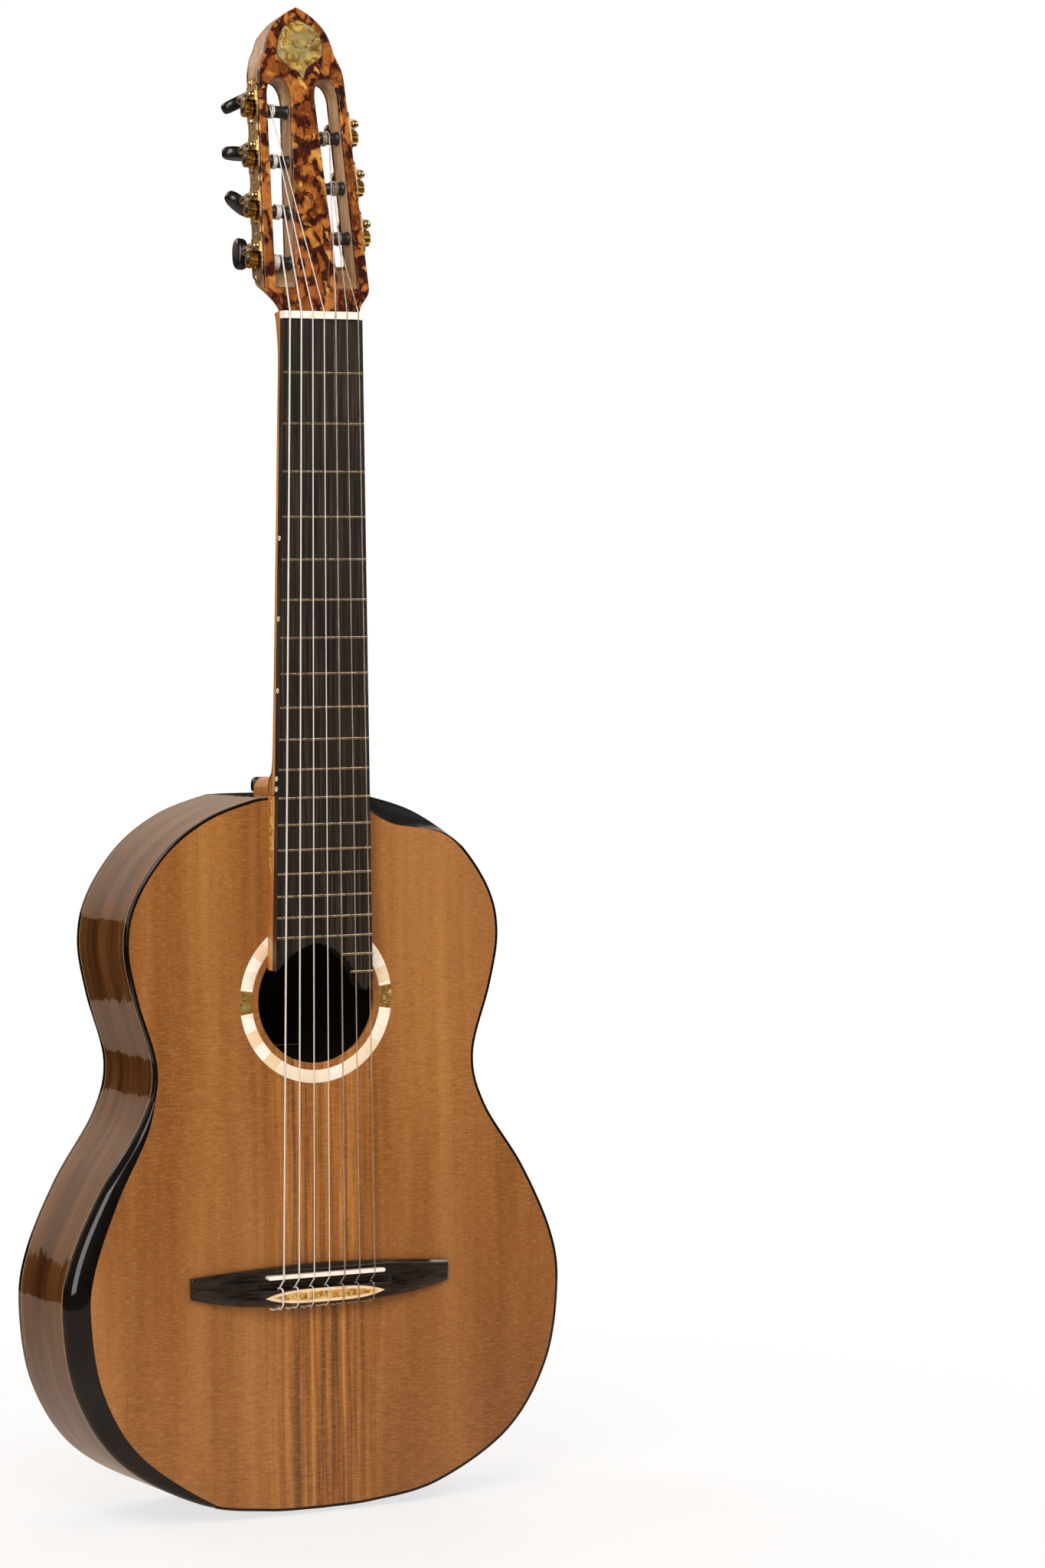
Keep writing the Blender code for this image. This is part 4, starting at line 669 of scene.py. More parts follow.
@dataclass(frozen=True)
class CedarTop(Wood):
    """Quarter-sawn cedar: even fine lines, cross silk, and gold and dark streaks in the middle."""

    gold: str = "C68942"
    deep: str = "52301A"
    # Half of the width of the streaked middle.
    streak_half: float = 46.0

    def base_colour(self, on: Painter) -> NodeSocket:
        """The plain cedar with the silk over it and the streaks down its middle.

        Args:
            on: Painter of the material's tree.

        Returns:
            The colour.
        """
        slow = on.noise((30.0, 30.0, 420.0), 3.0)
        colour = on.ramp(slow, [(0.3, self.dark), (0.52, self.middle), (0.72, self.light)])
        colour = on.mix(self.growth_lines(on), colour, "5E3618")
        streaks = on.noise((5.0, 5.0, 900.0), 5.0, 0.0, 0.68)
        stops = [(0.37, self.deep), (0.45, "85501F"), (0.54, "A0652F"), (0.64, self.gold)]
        streak_colour = on.ramp(streaks, stops)
        across = on.axis(0)
        off = on.math("ABSOLUTE", on.math("ADD", across, -3.0 * MM))
        edge = self.streak_half * MM
        share = on.spread(off, edge * 0.4, edge * 1.15, 0.85, 0.0)
        colour = on.mix(share, colour, streak_colour)
        # Painted light and shade on the treble half.
        colour = self.painted_light_and_shade(on, colour)
        silk = on.noise((5.0, 5.0, 0.6), 4.0, 0.4, 0.6)
        colour = on.mix(on.spread(silk, 0.5, 0.7, 0.0, 0.42), colour, "C08A54")
        return on.mix(on.spread(silk, 0.34, 0.5, 0.36, 0.0), colour, "64401F")

    def painted_light_and_shade(self, on: Painter, colour: NodeSocket) -> NodeSocket:
        """Painted light and shade: the treble half paler by the neck and darker towards the tail,
        as the lamps fall off.

        Args:
            on: Painter of the material's tree.
            colour: Colour before the painted light and shade.

        Returns:
            The colour with the painted light and shade.
        """
        treble = on.spread(on.axis(0), 0.0, 0.15)
        height = on.axis(2)
        # Painted shade towards the tail.
        dark = on.math("MULTIPLY", treble, on.spread(height, -0.78, -0.5, 0.5, 0.0))
        # Painted light by the neck.
        pale = on.math("MULTIPLY", treble, on.spread(height, -0.56, -0.36, 0.0, 0.4))
        return on.mix(pale, on.mix(dark, colour, "6A3E1E"), "C48C58")

    def growth_lines(self, on: Painter) -> NodeSocket:
        """Thin dark lines at the spacing of the year rings.

        Args:
            on: Painter of the material's tree.

        Returns:
            How dark the line is, 0 beside it.
        """
        drift = on.noise((9.0, 9.0, 700.0), 1.0)
        across = on.axis(0)
        turned_by = on.math("MULTIPLY", across, tau / (self.line * MM))
        wander = on.math("MULTIPLY", drift, 16.0)
        wave = on.math("SINE", on.math("ADD", turned_by, wander))
        patches = on.noise((7.0, 7.0, 190.0), 3.0)
        depth = on.spread(patches, 0.35, 0.65, 0.18, self.line_strength)
        return on.math("MULTIPLY", on.spread(wave, 0.1, 0.95), depth)


@dataclass(frozen=True)
class FleckedBack(Wood):
    """Two-piece back: short dark red flecks along the grain and grey patches, satin."""

    fleck: str = "54260F"
    patch: str = "8F7450"

    def base_colour(self, on: Painter) -> NodeSocket:
        """Slow bands and patches under streaks, flecks in clusters, and the thin seam.

        Args:
            on: Painter of the material's tree.

        Returns:
            The colour.
        """
        slow = on.noise((15.0, 60.0, 130.0), 5.0, 0.3, 0.6)
        colour = on.ramp(slow, [(0.32, self.dark), (0.5, self.middle), (0.7, self.light)])
        grey = on.noise((38.0, 60.0, 95.0), 4.0)
        colour = on.mix(on.spread(grey, 0.5, 0.7, 0.0, 0.5), colour, self.patch)
        streaks = on.noise((4.5, 60.0, 120.0), 4.0, 0.0, 0.6)
        colour = on.mix(on.spread(streaks, 0.46, 0.68, 0.0, 0.6), colour, "66401C")
        cluster = on.noise((30.0, 60.0, 70.0), 2.0)
        flecks = on.noise((1.5, 60.0, 13.0), 4.0, 0.2, 0.62)
        share = on.spread(flecks, 0.47, 0.59, 0.0, 0.95)
        share = on.math("MULTIPLY", share, on.spread(cluster, 0.4, 0.6, 0.16, 1.0))
        colour = on.mix(share, colour, self.fleck)
        fine = on.noise((0.7, 60.0, 4.0), 2.0)
        colour = on.mix(on.spread(fine, 0.45, 0.62, 0.0, 0.4), colour, "5E3A18")
        across = on.axis(0)
        seam = on.spread(on.math("ABSOLUTE", across), 0.25 * MM, 0.45 * MM, 0.5, 0.0)
        return on.mix(seam, colour, "2A160C")


@dataclass(frozen=True)
class AmberMosaic(Finish):
    """Chips of amber set in dark resin and polished flat: each chip glows, the veins stay dark."""

    # Widths of the large chips and of the small ones that fill between them.
    chip: float = 13.0
    small_chip: float = 6.5

    def chips(self, on: Painter, at: NodeSocket, size: float) -> tuple[NodeSocket, NodeSocket]:
        """Cells of one size.

        Args:
            on: Painter of the material.
            at: Warped coordinates.
            size: Width of a chip in millimetres.

        Returns:
            A random value for each chip, and the distance to the nearest seam.
        """
        feeds = {"Vector": on.stretched((size, 90.0, size * 1.35), at), "Scale": 1.0}
        cells = on.node("TexVoronoi", feeds)
        edges = on.node("TexVoronoi", feeds, feature="DISTANCE_TO_EDGE")
        pick = on.node("SeparateColor", {0: cells.outputs["Color"]})
        return pick.outputs[0], edges.outputs[0]

    def paint(self, on: Painter) -> None:
        """Chips of two sizes, cloudy inside, with soft red-brown veins of uneven width.

        Args:
            on: Painter of the material's tree.
        """
        feeds = {"Vector": on.here, "Scale": 110.0, "Detail": 4.0}
        feeds = {0: on.node("TexNoise", feeds).outputs[1], 1: (0.5, 0.5, 0.5)}
        centred = on.node("VectorMath", feeds, operation="SUBTRACT")
        feeds = {0: centred.outputs[0], "Scale": 11.0 * MM}
        pushed = on.node("VectorMath", feeds, operation="SCALE")
        feeds = {0: on.here, 1: pushed.outputs[0]}
        bent = on.node("VectorMath", feeds, operation="ADD").outputs[0]
        large, large_seam = self.chips(on, bent, self.chip)
        small, small_seam = self.chips(on, bent, self.small_chip)
        patch = on.noise((16.0, 40.0, 22.0), 1.0)
        fine = on.spread(patch, 0.5, 0.54, 0.0, 1.0)
        pick, seam = (
            on.node("Mix", {0: fine, 2: first, 3: second}, data_type="FLOAT").outputs[0]
            for first, second in ((large, small), (large_seam, small_seam))
        )
        stops = [
            (0.0, "5A2A0E"), (0.25, "8E4E1C"), (0.5, "A8642A"), (0.75, "B8742E"), (0.9, "CC9240"),
            (1.0, "DDB060"),
        ]
        chips = on.ramp(pick, stops)
        cloud = on.noise((5.0, 20.0, 6.0), 5.0, 0.8, 0.65, at=bent)
        chips = on.mix(on.spread(cloud, 0.46, 0.72, 0.0, 0.85), chips, "47190A")
        glow = on.noise((8.0, 20.0, 9.0), 3.0, 1.5, at=bent)
        chips = on.mix(on.spread(glow, 0.56, 0.76, 0.0, 0.55), chips, "D9A24A")
        broad = on.noise((9.0, 20.0, 12.0), 3.0)
        width = on.spread(broad, 0.34, 0.7, -0.07, 0.25)
        near = on.math("SUBTRACT", seam, width)
        soft = on.mix(on.spread(near, 0.0, 0.14, 0.75, 0.0), chips, "63290E")
        deep = on.noise((4.0, 9.0, 5.0), 3.0)
        depth = on.ramp(deep, [(0.4, "210A05"), (0.62, "4A1A0A")])
        colour = on.mix(on.spread(near, -0.02, 0.05, 1.0, 0.0), soft, depth)
        on.shade("Base Color", colour)
        on.relief(cloud, 0.015)


@dataclass(frozen=True)
class PaleAmber(Finish):
    """One slice of pale polished amber: honey and olive clouds with brown cracks."""

    light: str = "B99C52"
    dark: str = "54350F"
    olive: str = "8B8456"
    cloud: float = 7.0

    def paint(self, on: Painter) -> None:
        """Clouds of two sizes, an olive cast in places, and thin cracks.

        Args:
            on: Painter of the material's tree.
        """
        large = on.noise((self.cloud,) * 3, 4.0, 1.4, 0.6)
        stops = [(0.3, self.dark), (0.44, "8A6424"), (0.56, self.light), (0.72, "CDBB84")]
        colour = on.ramp(large, stops)
        cast = on.noise((self.cloud * 1.8,) * 3, 2.0, 0.6)
        colour = on.mix(on.spread(cast, 0.46, 0.6, 0.0, 0.8), colour, self.olive)
        crack = on.noise((self.cloud * 1.9,) * 3, 2.0, 0.7)
        off = on.math("ABSOLUTE", on.math("SUBTRACT", crack, 0.5))
        colour = on.mix(on.spread(off, 0.0, 0.02, 0.8, 0.0), colour, "43240A")
        on.shade("Base Color", colour)
        on.relief(large, 0.015)


@dataclass(frozen=True)
class Lacquer(Finish):
    """Deep gloss lacquer: near black, with the slight orange peel of a sprayed coat."""

    colour: str = "0B0A0B"
    bloom: str = "16130F"
    peel: float = 2.6

    def paint(self, on: Painter) -> None:
        """A faint brown bloom, and the peel as a very low relief.

        Args:
            on: Painter of the material's tree.
        """
        slow = on.noise((18.0, 18.0, 40.0), 3.0)
        colour = on.ramp(slow, [(0.35, self.colour), (0.7, self.bloom)])
        on.shade("Base Color", colour)
        on.relief(on.noise((self.peel,) * 3, 1.0), 0.006)


@dataclass(frozen=True)
class Ebony(Finish):
    """Oiled ebony: almost black, with grey-brown streaks and open pores that catch the light."""

    dark: str = "15120F"
    streak: str = "4A4036"
    along_x: bool = False
    relief: float = 0.02

    def paint(self, on: Painter) -> None:
        """Streaks a millimetre or two wide, and pores along the grain.

        Args:
            on: Painter of the material's tree.
        """
        sizes = (90.0, 1.5, 1.5) if self.along_x else (1.5, 6.0, 90.0)
        streaks = on.noise(sizes, 3.0, 0.0, 0.6)
        colour = on.ramp(streaks, [(0.38, self.dark), (0.55, "2A241E"), (0.72, self.streak)])
        on.shade("Base Color", colour)
        fine = (5.0, 0.3, 0.3) if self.along_x else (0.3, 2.0, 5.0)
        pores = on.noise(fine, 1.0)
        gloss = on.spread(pores, 0.3, 0.7, self.roughness * 0.8, self.roughness * 1.3)
        on.shade("Roughness", gloss)
        on.relief(pores, self.relief)


@dataclass(frozen=True)
class Bone(Finish):
    """Polished cow bone: cream, with faint yellow clouds and short fine canals."""

    light: str = "FBF6EA"
    dark: str = "F0E4CC"
    canal: float = 2.5

    def paint(self, on: Painter) -> None:
        """Clouds, and canals along the length of the piece.

        Args:
            on: Painter of the material's tree.
        """
        slow = on.noise((9.0, 5.0, 5.0), 3.0)
        colour = on.ramp(slow, [(0.3, self.dark), (0.55, self.light)])
        canals = on.noise((self.canal, 0.4, 0.3), 2.0)
        colour = on.mix(on.spread(canals, 0.6, 0.75, 0.0, 0.3), colour, "D8C49C")
        on.shade("Base Color", colour)
        on.shade("Subsurface Weight", 0.06)
        on.shade("Subsurface Radius", (1.2 * MM, 0.9 * MM, 0.6 * MM))
        on.relief(canals, 0.01)


@dataclass(frozen=True)
class IvoryRing(Finish):
    """Cream inlay of separate blocks laid in a ring: each block has its own shade and grain."""

    blocks: int = 32

    def paint(self, on: Painter) -> None:
        """The ring's flow map gives turns round the ring and the share across it.

        Args:
            on: Painter of the material's tree.
        """
        along = on.math("MULTIPLY", on.axis(0, on.flow_map()), float(self.blocks))
        number = on.math("FLOOR", along)
        shade = on.node("TexWhiteNoise", {"W": number}, noise_dimensions="1D")
        stops = [(0.0, "EAD3AC"), (0.22, "F3E2C6"), (0.5, "FAF0DE"), (0.8, "FDF7EA")]
        colour = on.ramp(shade.outputs[0], stops)
        figure = on.noise((2.2, 4.0, 2.2), 3.0, 1.0)
        colour = on.mix(on.spread(figure, 0.5, 0.75, 0.0, 0.35), colour, "E0C090")
        within = on.math("FRACT", along)
        middle = on.math("ABSOLUTE", on.math("SUBTRACT", within, 0.5))
        joint = on.spread(middle, 0.487, 0.497, 0.0, 0.6)
        colour = on.mix(joint, colour, "A8875A")
        on.shade("Base Color", colour)
        on.relief(joint, -0.02)


@dataclass(frozen=True)
class Metal(Finish):
    """Plated and brushed metal: fine lines from the brush, and dull patches from handling."""

    colour: str = "CDB284"
    worn: str = "967A48"
    # Millimetres of a brush line along the piece and across it.
    brush: tuple[float, float] = (6.0, 0.12)

    def paint(self, on: Painter) -> None:
        """Colour patches, brushed roughness and the brush lines' relief.

        Args:
            on: Painter of the material's tree.
        """
        along, across = self.brush
        lines = on.noise((across, across, along), 2.0)
        patches = on.noise((3.0, 3.0, 4.0), 3.0)
        colour = on.ramp(patches, [(0.3, self.worn), (0.6, self.colour)])
        on.shade("Base Color", colour)
        rough = on.math("MULTIPLY", lines, patches)
        gloss = on.spread(rough, 0.1, 0.4, self.roughness * 0.7, self.roughness * 1.4)
        on.shade("Roughness", gloss)
        on.relief(lines, 0.008)


@dataclass(frozen=True)
class WoundWire(Finish):
    """Silver-plated copper wire wound round a core: tight rings across the string."""

    colour: str = "F4F0E8"
    # Painted shade in the grooves between the rings.
    painted_groove_shade: str = "B4AC9E"
    # Rings along the flow map; the real ones are finer than the render shows.
    pitch: float = 0.5
    flow: bool = True

    def paint(self, on: Painter) -> None:
        """Rings from the length along the string, with painted shade in the grooves between them.

        Args:
            on: Painter of the material's tree.
        """
        along = on.axis(0)
        wave = on.math("SINE", on.math("MULTIPLY", along, tau / (self.pitch * MM)))
        share = on.spread(wave, -1.0, 1.0)
        stops = [(0.0, self.painted_groove_shade), (0.45, self.colour)]
        on.shade("Base Color", on.ramp(share, stops))
        on.relief(share, 0.05)


@dataclass(frozen=True)
class Nylon(Finish):
    """Clear nylon line: milky, half see-through, with a smooth drawn surface."""

    colour: str = "E2D3C2"
    cloudy: str = "C2AE98"

    def paint(self, on: Painter) -> None:
        """A slow change of milkiness along the line.

        Args:
            on: Painter of the material's tree.
        """
        slow = on.noise((2.0, 2.0, 14.0), 2.0)
        colour = on.ramp(slow, [(0.35, self.cloudy), (0.65, self.colour)])
        on.shade("Base Color", colour)
        on.shade("Transmission Weight", 0.72)
        on.shade("IOR", 1.53)


@dataclass(frozen=True)
class Moulded(Finish):
    """Moulded plastic, polished: an even colour with faint flow marks and small scratches."""

    colour: str = "0C0B0C"
    mark: str = "1A1718"

    def paint(self, on: Painter) -> None:
        """Flow marks a few millimetres wide, and scratches as a low relief.

        Args:
            on: Painter of the material's tree.
        """
        marks = on.noise((5.0, 3.0, 2.0), 3.0, 1.0)
        colour = on.ramp(marks, [(0.35, self.colour), (0.7, self.mark)])
        on.shade("Base Color", colour)
        scratches = on.noise((0.15, 1.5, 3.0), 2.0, 0.6)
        gloss = on.spread(scratches, 0.4, 0.75, self.roughness, self.roughness * 1.8)
        on.shade("Roughness", gloss)
        on.relief(scratches, 0.004)


# Quarter-sawn cedar under thin gloss: warm brown with even lines.
CEDAR_TOP = CedarTop(
    "cedar_quarter_sawn", "cedar_top", 0.24, dark="83501F", middle="9D6530", light="B0783F",
    line=1.25, line_strength=0.75,
)
# Bookmatched hardwood under satin lacquer: red-brown with flecks.
BACK_WOOD = FleckedBack(
    "flecked_hardwood_gloss", "back_wood", 0.3, dark="74461C", middle="8C5C2E", light="A6743C",
    relief=0.004,
)
# The inside of the back, oiled only; its near-black colour is painted shade, as it is never in the
# light.
SHADED_INSIDE_WOOD = Wood(
    "back_inside_painted_shade", "back_wood", 0.6, dark="120C08", middle="1C130C", light="281B11",
    line=1.6, band=14.0, length=120.0,
)
# The ribs' wood, cut along their length: darker and plainer than the back.
RIB_WOOD = Wood(
    "rib_hardwood_gloss", "rosewood_rib", 0.06, dark="3C230F", middle="58361A", light="714A28",
    line=2.4, band=16.0, length=190.0, flow=True, line_strength=0.3, wave=0.8, specular=0.9,
)
# Mahogany-like neck cedar under gloss: golden with long soft pores.
NECK_WOOD = Wood(
    "neck_cedar_gloss", "neck_cedar", 0.1, dark="A86A34", middle="C88A4C", light="DDA566",
    line=1.6, band=12.0, length=150.0, line_strength=0.3,
)
# The same cedar in the walls of the head, oiled only: paler and grey.
HEAD_WOOD = Wood(
    "neck_cedar_oiled", "neck_cedar", 0.45, dark="8E6C4A", middle="AE8A64", light="C6A67E",
    line=0.9, band=8.0, length=70.0,
)
# Split spruce braces, left raw: pale and dull.
SPRUCE = Wood(
    "spruce_raw", "spruce_brace", 0.65, dark="C4A06C", middle="D8B988", light="E6CDA4", line=1.0,
    band=9.0, length=120.0,
)
# Dark end-grain strip between the head and its plates.
SEAM_WOOD = Wood(
    "seam_veneer_dark", "ebony", 0.3, dark="1E120A", middle="2E1C10", light="42291A", line=0.6,
    band=5.0, length=60.0,
)
# Oiled ebony of the board: dull black with grey-brown streaks.
BOARD_EBONY = Ebony("ebony_oiled", "ebony", 0.36)
# Polished ebony of the bridge: glassy, with hardly a streak.
BRIDGE_EBONY = Ebony(
    "ebony_polished", "ebony", 0.1, dark="0E0C0B", streak="1E1A17", along_x=True, relief=0.002
)
# Sprayed lacquer, polished: deep gloss black.
BLACK = Lacquer("black_lacquer_gloss", "black_lacquer", 0.05)
# The scoop is rubbed down by hand and left satin: even near-black.
SATIN_BLACK = Lacquer("black_lacquer_satin", "black_lacquer", 0.5, specular=0.12, colour="1C1C1E")
# Amber chips in resin, polished and coated: a warm glow under glass.
AMBER = AmberMosaic("amber_chips_in_resin", "head_mosaic", 0.09, coat=0.6)
# A cut and polished slice of pale amber: clouded honey.
PALE_AMBER = PaleAmber("pale_amber_slice", "head_mosaic", 0.08, coat=0.6)
# Clear honey amber, polished: the brightest orange of the guitar.
TIE_AMBER = PaleAmber(
    "honey_amber_slice", "head_mosaic", 0.1, coat=0.5, light="D49A3A", dark="5E320E",
    olive="E2BC6C", cloud=2.8,
)
# Brown amber of the rosette's blocks: darker and duller.
BLOCK_AMBER = PaleAmber(
    "brown_amber_block", "head_mosaic", 0.15, light="7A5424", dark="4A2C10", cloud=3.5
)
# Bleached bone, polished: warm white.
BONE = Bone("bone_polished", "bone", 0.28)
# Stained bone strips on the tie block: a yellower cream.
CREAM = Bone("bone_cream_strip", "ivory_inlay", 0.3, light="F0D6B2", dark="DDB888")
# Maple veneer line, sanded: a thin pale brown edge.
FINE_LINE = Bone("pale_maple_line", "ivory_inlay", 0.4, light="C9A270", dark="A07C4E")
# Cream blocks sanded flush: near white with faint joints.
IVORY = IvoryRing("cream_inlay_blocks", "ivory_inlay", 0.3)
# Gold-plated brass, brushed: pale yellow.
GOLD = Metal("gold_plated_brass", "gold_plate", 0.24, 1.0)
# Gears in uncoated brass: redder, and duller in the teeth.
GEAR_BRASS = Metal("brass_cut_gear", "gold_plate", 0.3, 1.0, colour="C99A48", worn="7E5620")
# Nickel-silver fret wire, polished by playing: pale with a warm cast.
FRET_WIRE = Metal("nickel_silver_wire", "gold_plate", 0.2, 1.0, colour="CBBB9C", worn="9C8E72")
# Polished steel: cool and bright.
STEEL = Metal("steel_polished", "bright_steel", 0.18, 1.0, colour="D8D6D2", worn="A09C96")
# Silver-plated winding: bright, with fine ribs.
WIRE = WoundWire("silver_wound_wire", "wound_string", 0.3, 0.3)
# Drawn nylon: milky and half clear.
NYLON = Nylon("nylon_clear", "nylon_string", 0.16)
# Moulded resin, polished: soft black gloss.
BUTTON_BLACK = Moulded("button_resin_black", "button_black", 0.2)
# Moulded plastic: satin charcoal.
ROLLER_BLACK = Moulded("roller_plastic_black", "roller_black", 0.3, colour="141315", mark="2A282A")
# Printed card, matt: flat black.
CARD = Lacquer("card_matt_black", "black_lacquer", 0.6, colour="121112", bloom="1C1A1A")
# The card's printed line: dull pale grey.
CARD_EDGE = Bone("card_printed_line", "ivory_inlay", 0.6, light="C8C2B4", dark="A8A294")


# Geometry nodes for what repeats


@dataclass(frozen=True)
class Repeat:
    """A geometry-nodes tree that puts one shape on every point of a mesh.

    Each point carries its own turn and size in the attributes turn and size.
    """

    name: str
    finish: Finish
    inputs: tuple[tuple[str, float], ...]
    shape: Callable[[NodeTree, Node], NodeSocket]

    def tree(self) -> NodeTree:
        """The tree, with one named input for each of the shape's sizes.

        Returns:
            The geometry tree.
        """
        tree = bpy.data.node_groups.new(self.name, "GeometryNodeTree")
        tree.interface.new_socket("Points", in_out="INPUT", socket_type="NodeSocketGeometry")
        for name, _ in self.inputs:
            tree.interface.new_socket(name, in_out="INPUT", socket_type="NodeSocketFloat")
        tree.interface.new_socket("Mesh", in_out="OUTPUT", socket_type="NodeSocketGeometry")
        given = tree.nodes.new("NodeGroupInput")
        turn = add_node(
            tree, "GeometryNodeInputNamedAttribute", {0: "turn"}, data_type="FLOAT_VECTOR"
        )
        size = add_node(
            tree, "GeometryNodeInputNamedAttribute", {0: "size"}, data_type="FLOAT_VECTOR"
        )
        angles = add_node(tree, "FunctionNodeEulerToRotation", {0: turn.outputs[0]})
        feeds = {
            "Points": given.outputs["Points"], "Instance": self.shape(tree, given),
            "Rotation": angles.outputs[0], "Scale": size.outputs[0],
        }
        placed = add_node(tree, "GeometryNodeInstanceOnPoints", feeds)
        real = add_node(tree, "GeometryNodeRealizeInstances", {0: placed.outputs[0]})
        feeds = {"Geometry": real.outputs[0], "Material": self.finish.material()}
        dressed = add_node(tree, "GeometryNodeSetMaterial", feeds)
        add_node(tree, "NodeGroupOutput", {0: dressed.outputs[0]})
        return tree

    def over(
        self, name: str, points: Sequence[Point], turns: Sequence[Point], sizes: Sequence[Point],
        place: Matrix | None = None,
    ) -> Object:
        """A plain mesh object with the shape on every point.

        Args:
            name: Name of the object.
            points: Places of the copies.
            turns: Euler angles of each copy.
            sizes: Scale of each copy along its own axes.
            place: Matrix that moves the mesh to its place.

        Returns:
            The new object, without modifiers.
        """
        mesh = bpy.data.meshes.new(name)
        mesh.from_pydata([tuple(point) for point in points], [], [])
        for key, values in (("turn", turns), ("size", sizes)):
            attribute = mesh.attributes.new(key, "FLOAT_VECTOR", "POINT")
            attribute.data.foreach_set("vector", [number for value in values for number in value])
        obj = plain_object(name, mesh)
        step = obj.modifiers.new(self.name, "NODES")
        step.node_group = self.tree()
        sockets = {item.name: item.identifier for item in step.node_group.interface.items_tree}
        for key, value in self.inputs:
            step[sockets[key]] = value
        return settled(obj, place)


def fret_shape(tree: NodeTree, given: Node) -> NodeSocket:
    """A wire of unit length along X with a domed top towards the player.

    Args:
        tree: Geometry tree that gets the nodes.
        given: Group input with the tree's sizes.

    Returns:
        The wire's mesh.
    """
    feeds = {"Start": (-0.5, 0, 0), "End": (0.5, 0, 0)}
    line = add_node(tree, "GeometryNodeCurvePrimitiveLine", feeds)
    feeds = {"Resolution": 14, "Radius": given.outputs["Half width"]}
    ring = add_node(tree, "GeometryNodeCurvePrimitiveCircle", feeds)
    feeds = {"Curve": line.outputs[0], "Profile Curve": ring.outputs[0], "Fill Caps": True}
    return add_node(tree, "GeometryNodeCurveToMesh", feeds).outputs[0]


def screw_shape(tree: NodeTree, given: Node) -> NodeSocket:
    """A domed screw head on Z with a slot across it.

    Args:
        tree: Geometry tree that gets the nodes.
        given: Group input with the tree's sizes.

    Returns:
        The head's mesh.
    """
    radius = given.outputs["Head radius"]
    feeds = {"Segments": 20, "Rings": 10, "Radius": radius}
    ball = add_node(tree, "GeometryNodeMeshUVSphere", feeds)
    flat = add_node(
        tree, "GeometryNodeTransform", {"Geometry": ball.outputs[0], "Scale": (1.0, 1.0, 0.42)}
    )
    on = Painter(tree)
    long = on.math("MULTIPLY", radius, 2.4)
    thin = on.math("MULTIPLY", radius, 0.26)
    high = on.math("MULTIPLY", radius, 0.5)
    size = on.node("CombineXYZ", {0: long, 1: thin, 2: high})
    block = add_node(tree, "GeometryNodeMeshCube", {"Size": size.outputs[0]})
    up = on.node("CombineXYZ", {2: on.math("MULTIPLY", radius, 0.48)})
    feeds = {"Geometry": block.outputs[0], "Translation": up.outputs[0]}
    slot = add_node(tree, "GeometryNodeTransform", feeds)
    cutter = add_node(tree, "GeometryNodeMeshBoolean", operation="DIFFERENCE")
    tree.links.new(flat.outputs[0], cutter.inputs[0])
    tree.links.new(slot.outputs[0], cutter.inputs[1])
    return cutter.outputs[0]


# Body


TOP_OVER_BOARD = 16.5 * MM
BODY_JOINT = 325.0 * MM
BODY_TILT = radians(-1.15)
BODY_FRAME = (
    Matrix.Translation((0.0, TOP_OVER_BOARD, -BODY_JOINT)) @ Matrix.Rotation(BODY_TILT, 4, "X")
)


@dataclass
class Edge:
    """Outline of the body: places are lengths along it from the neck, past the treble side."""

    length: float = 491.0 * MM
    upper: float = 281.0 * MM
    waist: float = 241.0 * MM
    lower: float = 371.0 * MM
    shoulder: float = 64.0 * MM
    steps: int = 20
    points: list[Vector] = field(init=False)
    reached: list[float] = field(init=False)
    round: float = field(init=False)

    def __post_init__(self) -> None:
        """Lay the outline: shares of half a width, and of the length."""
        upper, lower = self.upper / 2, self.lower / 2
        shape = [
            (upper, 0.327, 0.003), (upper, 0.569, 0.0265), (upper, 0.790, 0.0713),
            (upper, 0.954, 0.1385), (upper, 1.0, 0.2016), (upper, 0.954, 0.275),
            (self.waist / 2, 1.0, 0.3707), (lower, 0.695, 0.444), (lower, 0.852, 0.5356),
            (lower, 0.970, 0.6314), (lower, 1.0, 0.7088), (lower, 0.949, 0.8187),
            (lower, 0.782, 0.9145), (lower, 0.485, 0.9786), (lower, 0.216, 0.9969),
            (lower, 0.0, 1.0),
        ]
        points = [(self.shoulder / 2, 0.0)]
        points += [(half * share, self.length * down) for half, share, down in shape]
        half = smooth(points, self.steps)
        self.points = half + [Vector((-point.x, point.y)) for point in reversed(half[:-1])]
        self.reached = [self.shoulder / 2]
        for first, second in zip(self.points, self.points[1:]):
            self.reached.append(self.reached[-1] + (second - first).length)
        self.round = self.reached[-1] + self.shoulder / 2

    def at(self, place: float) -> Vector:
        """Point (across, down) at a length along the edge.

        Args:
            place: Length along the edge.

        Returns:
            The point.
        """
        place = place % self.round
        if place <= self.reached[0]:
            return Vector((place, 0.0))
        for i, reached in enumerate(self.reached[1:]):
            if place <= reached:
                share = (place - self.reached[i]) / (reached - self.reached[i])
                return self.points[i].lerp(self.points[i + 1], share)
        return Vector((place - self.round, 0.0))

    def inward(self, place: float, inset: float) -> Vector:
        """Point of the edge moved into the body.

        Args:
            place: Length along the edge.
            inset: Distance from the edge.

        Returns:
            The point.
        """
        step = 1.5 * MM
        along = (self.at(place + step) - self.at(place - step)).normalized()
        return self.at(place) + Vector((-along.y, along.x)) * inset

    def place_down(self, down: float, side: Side) -> float:
        """Length along the edge of a distance down the body.

        Args:
            down: Distance down the body.
            side: Side of the body.

        Returns:
            The length.
        """
        count = 1200
        places = [self.round / 2 * i / count for i in range(count + 1)]
        best = min(places, key=lambda place: abs(self.at(place).y - down))
        return best if side is Side.TREBLE else self.round - best

    def places(self, first: float, last: float, gap: float) -> list[float]:
        """Even lengths from one place to another, about a gap apart."""
        count = max(2, round((last - first) / gap))
        return [first + (last - first) * i / count for i in range(count + 1)]


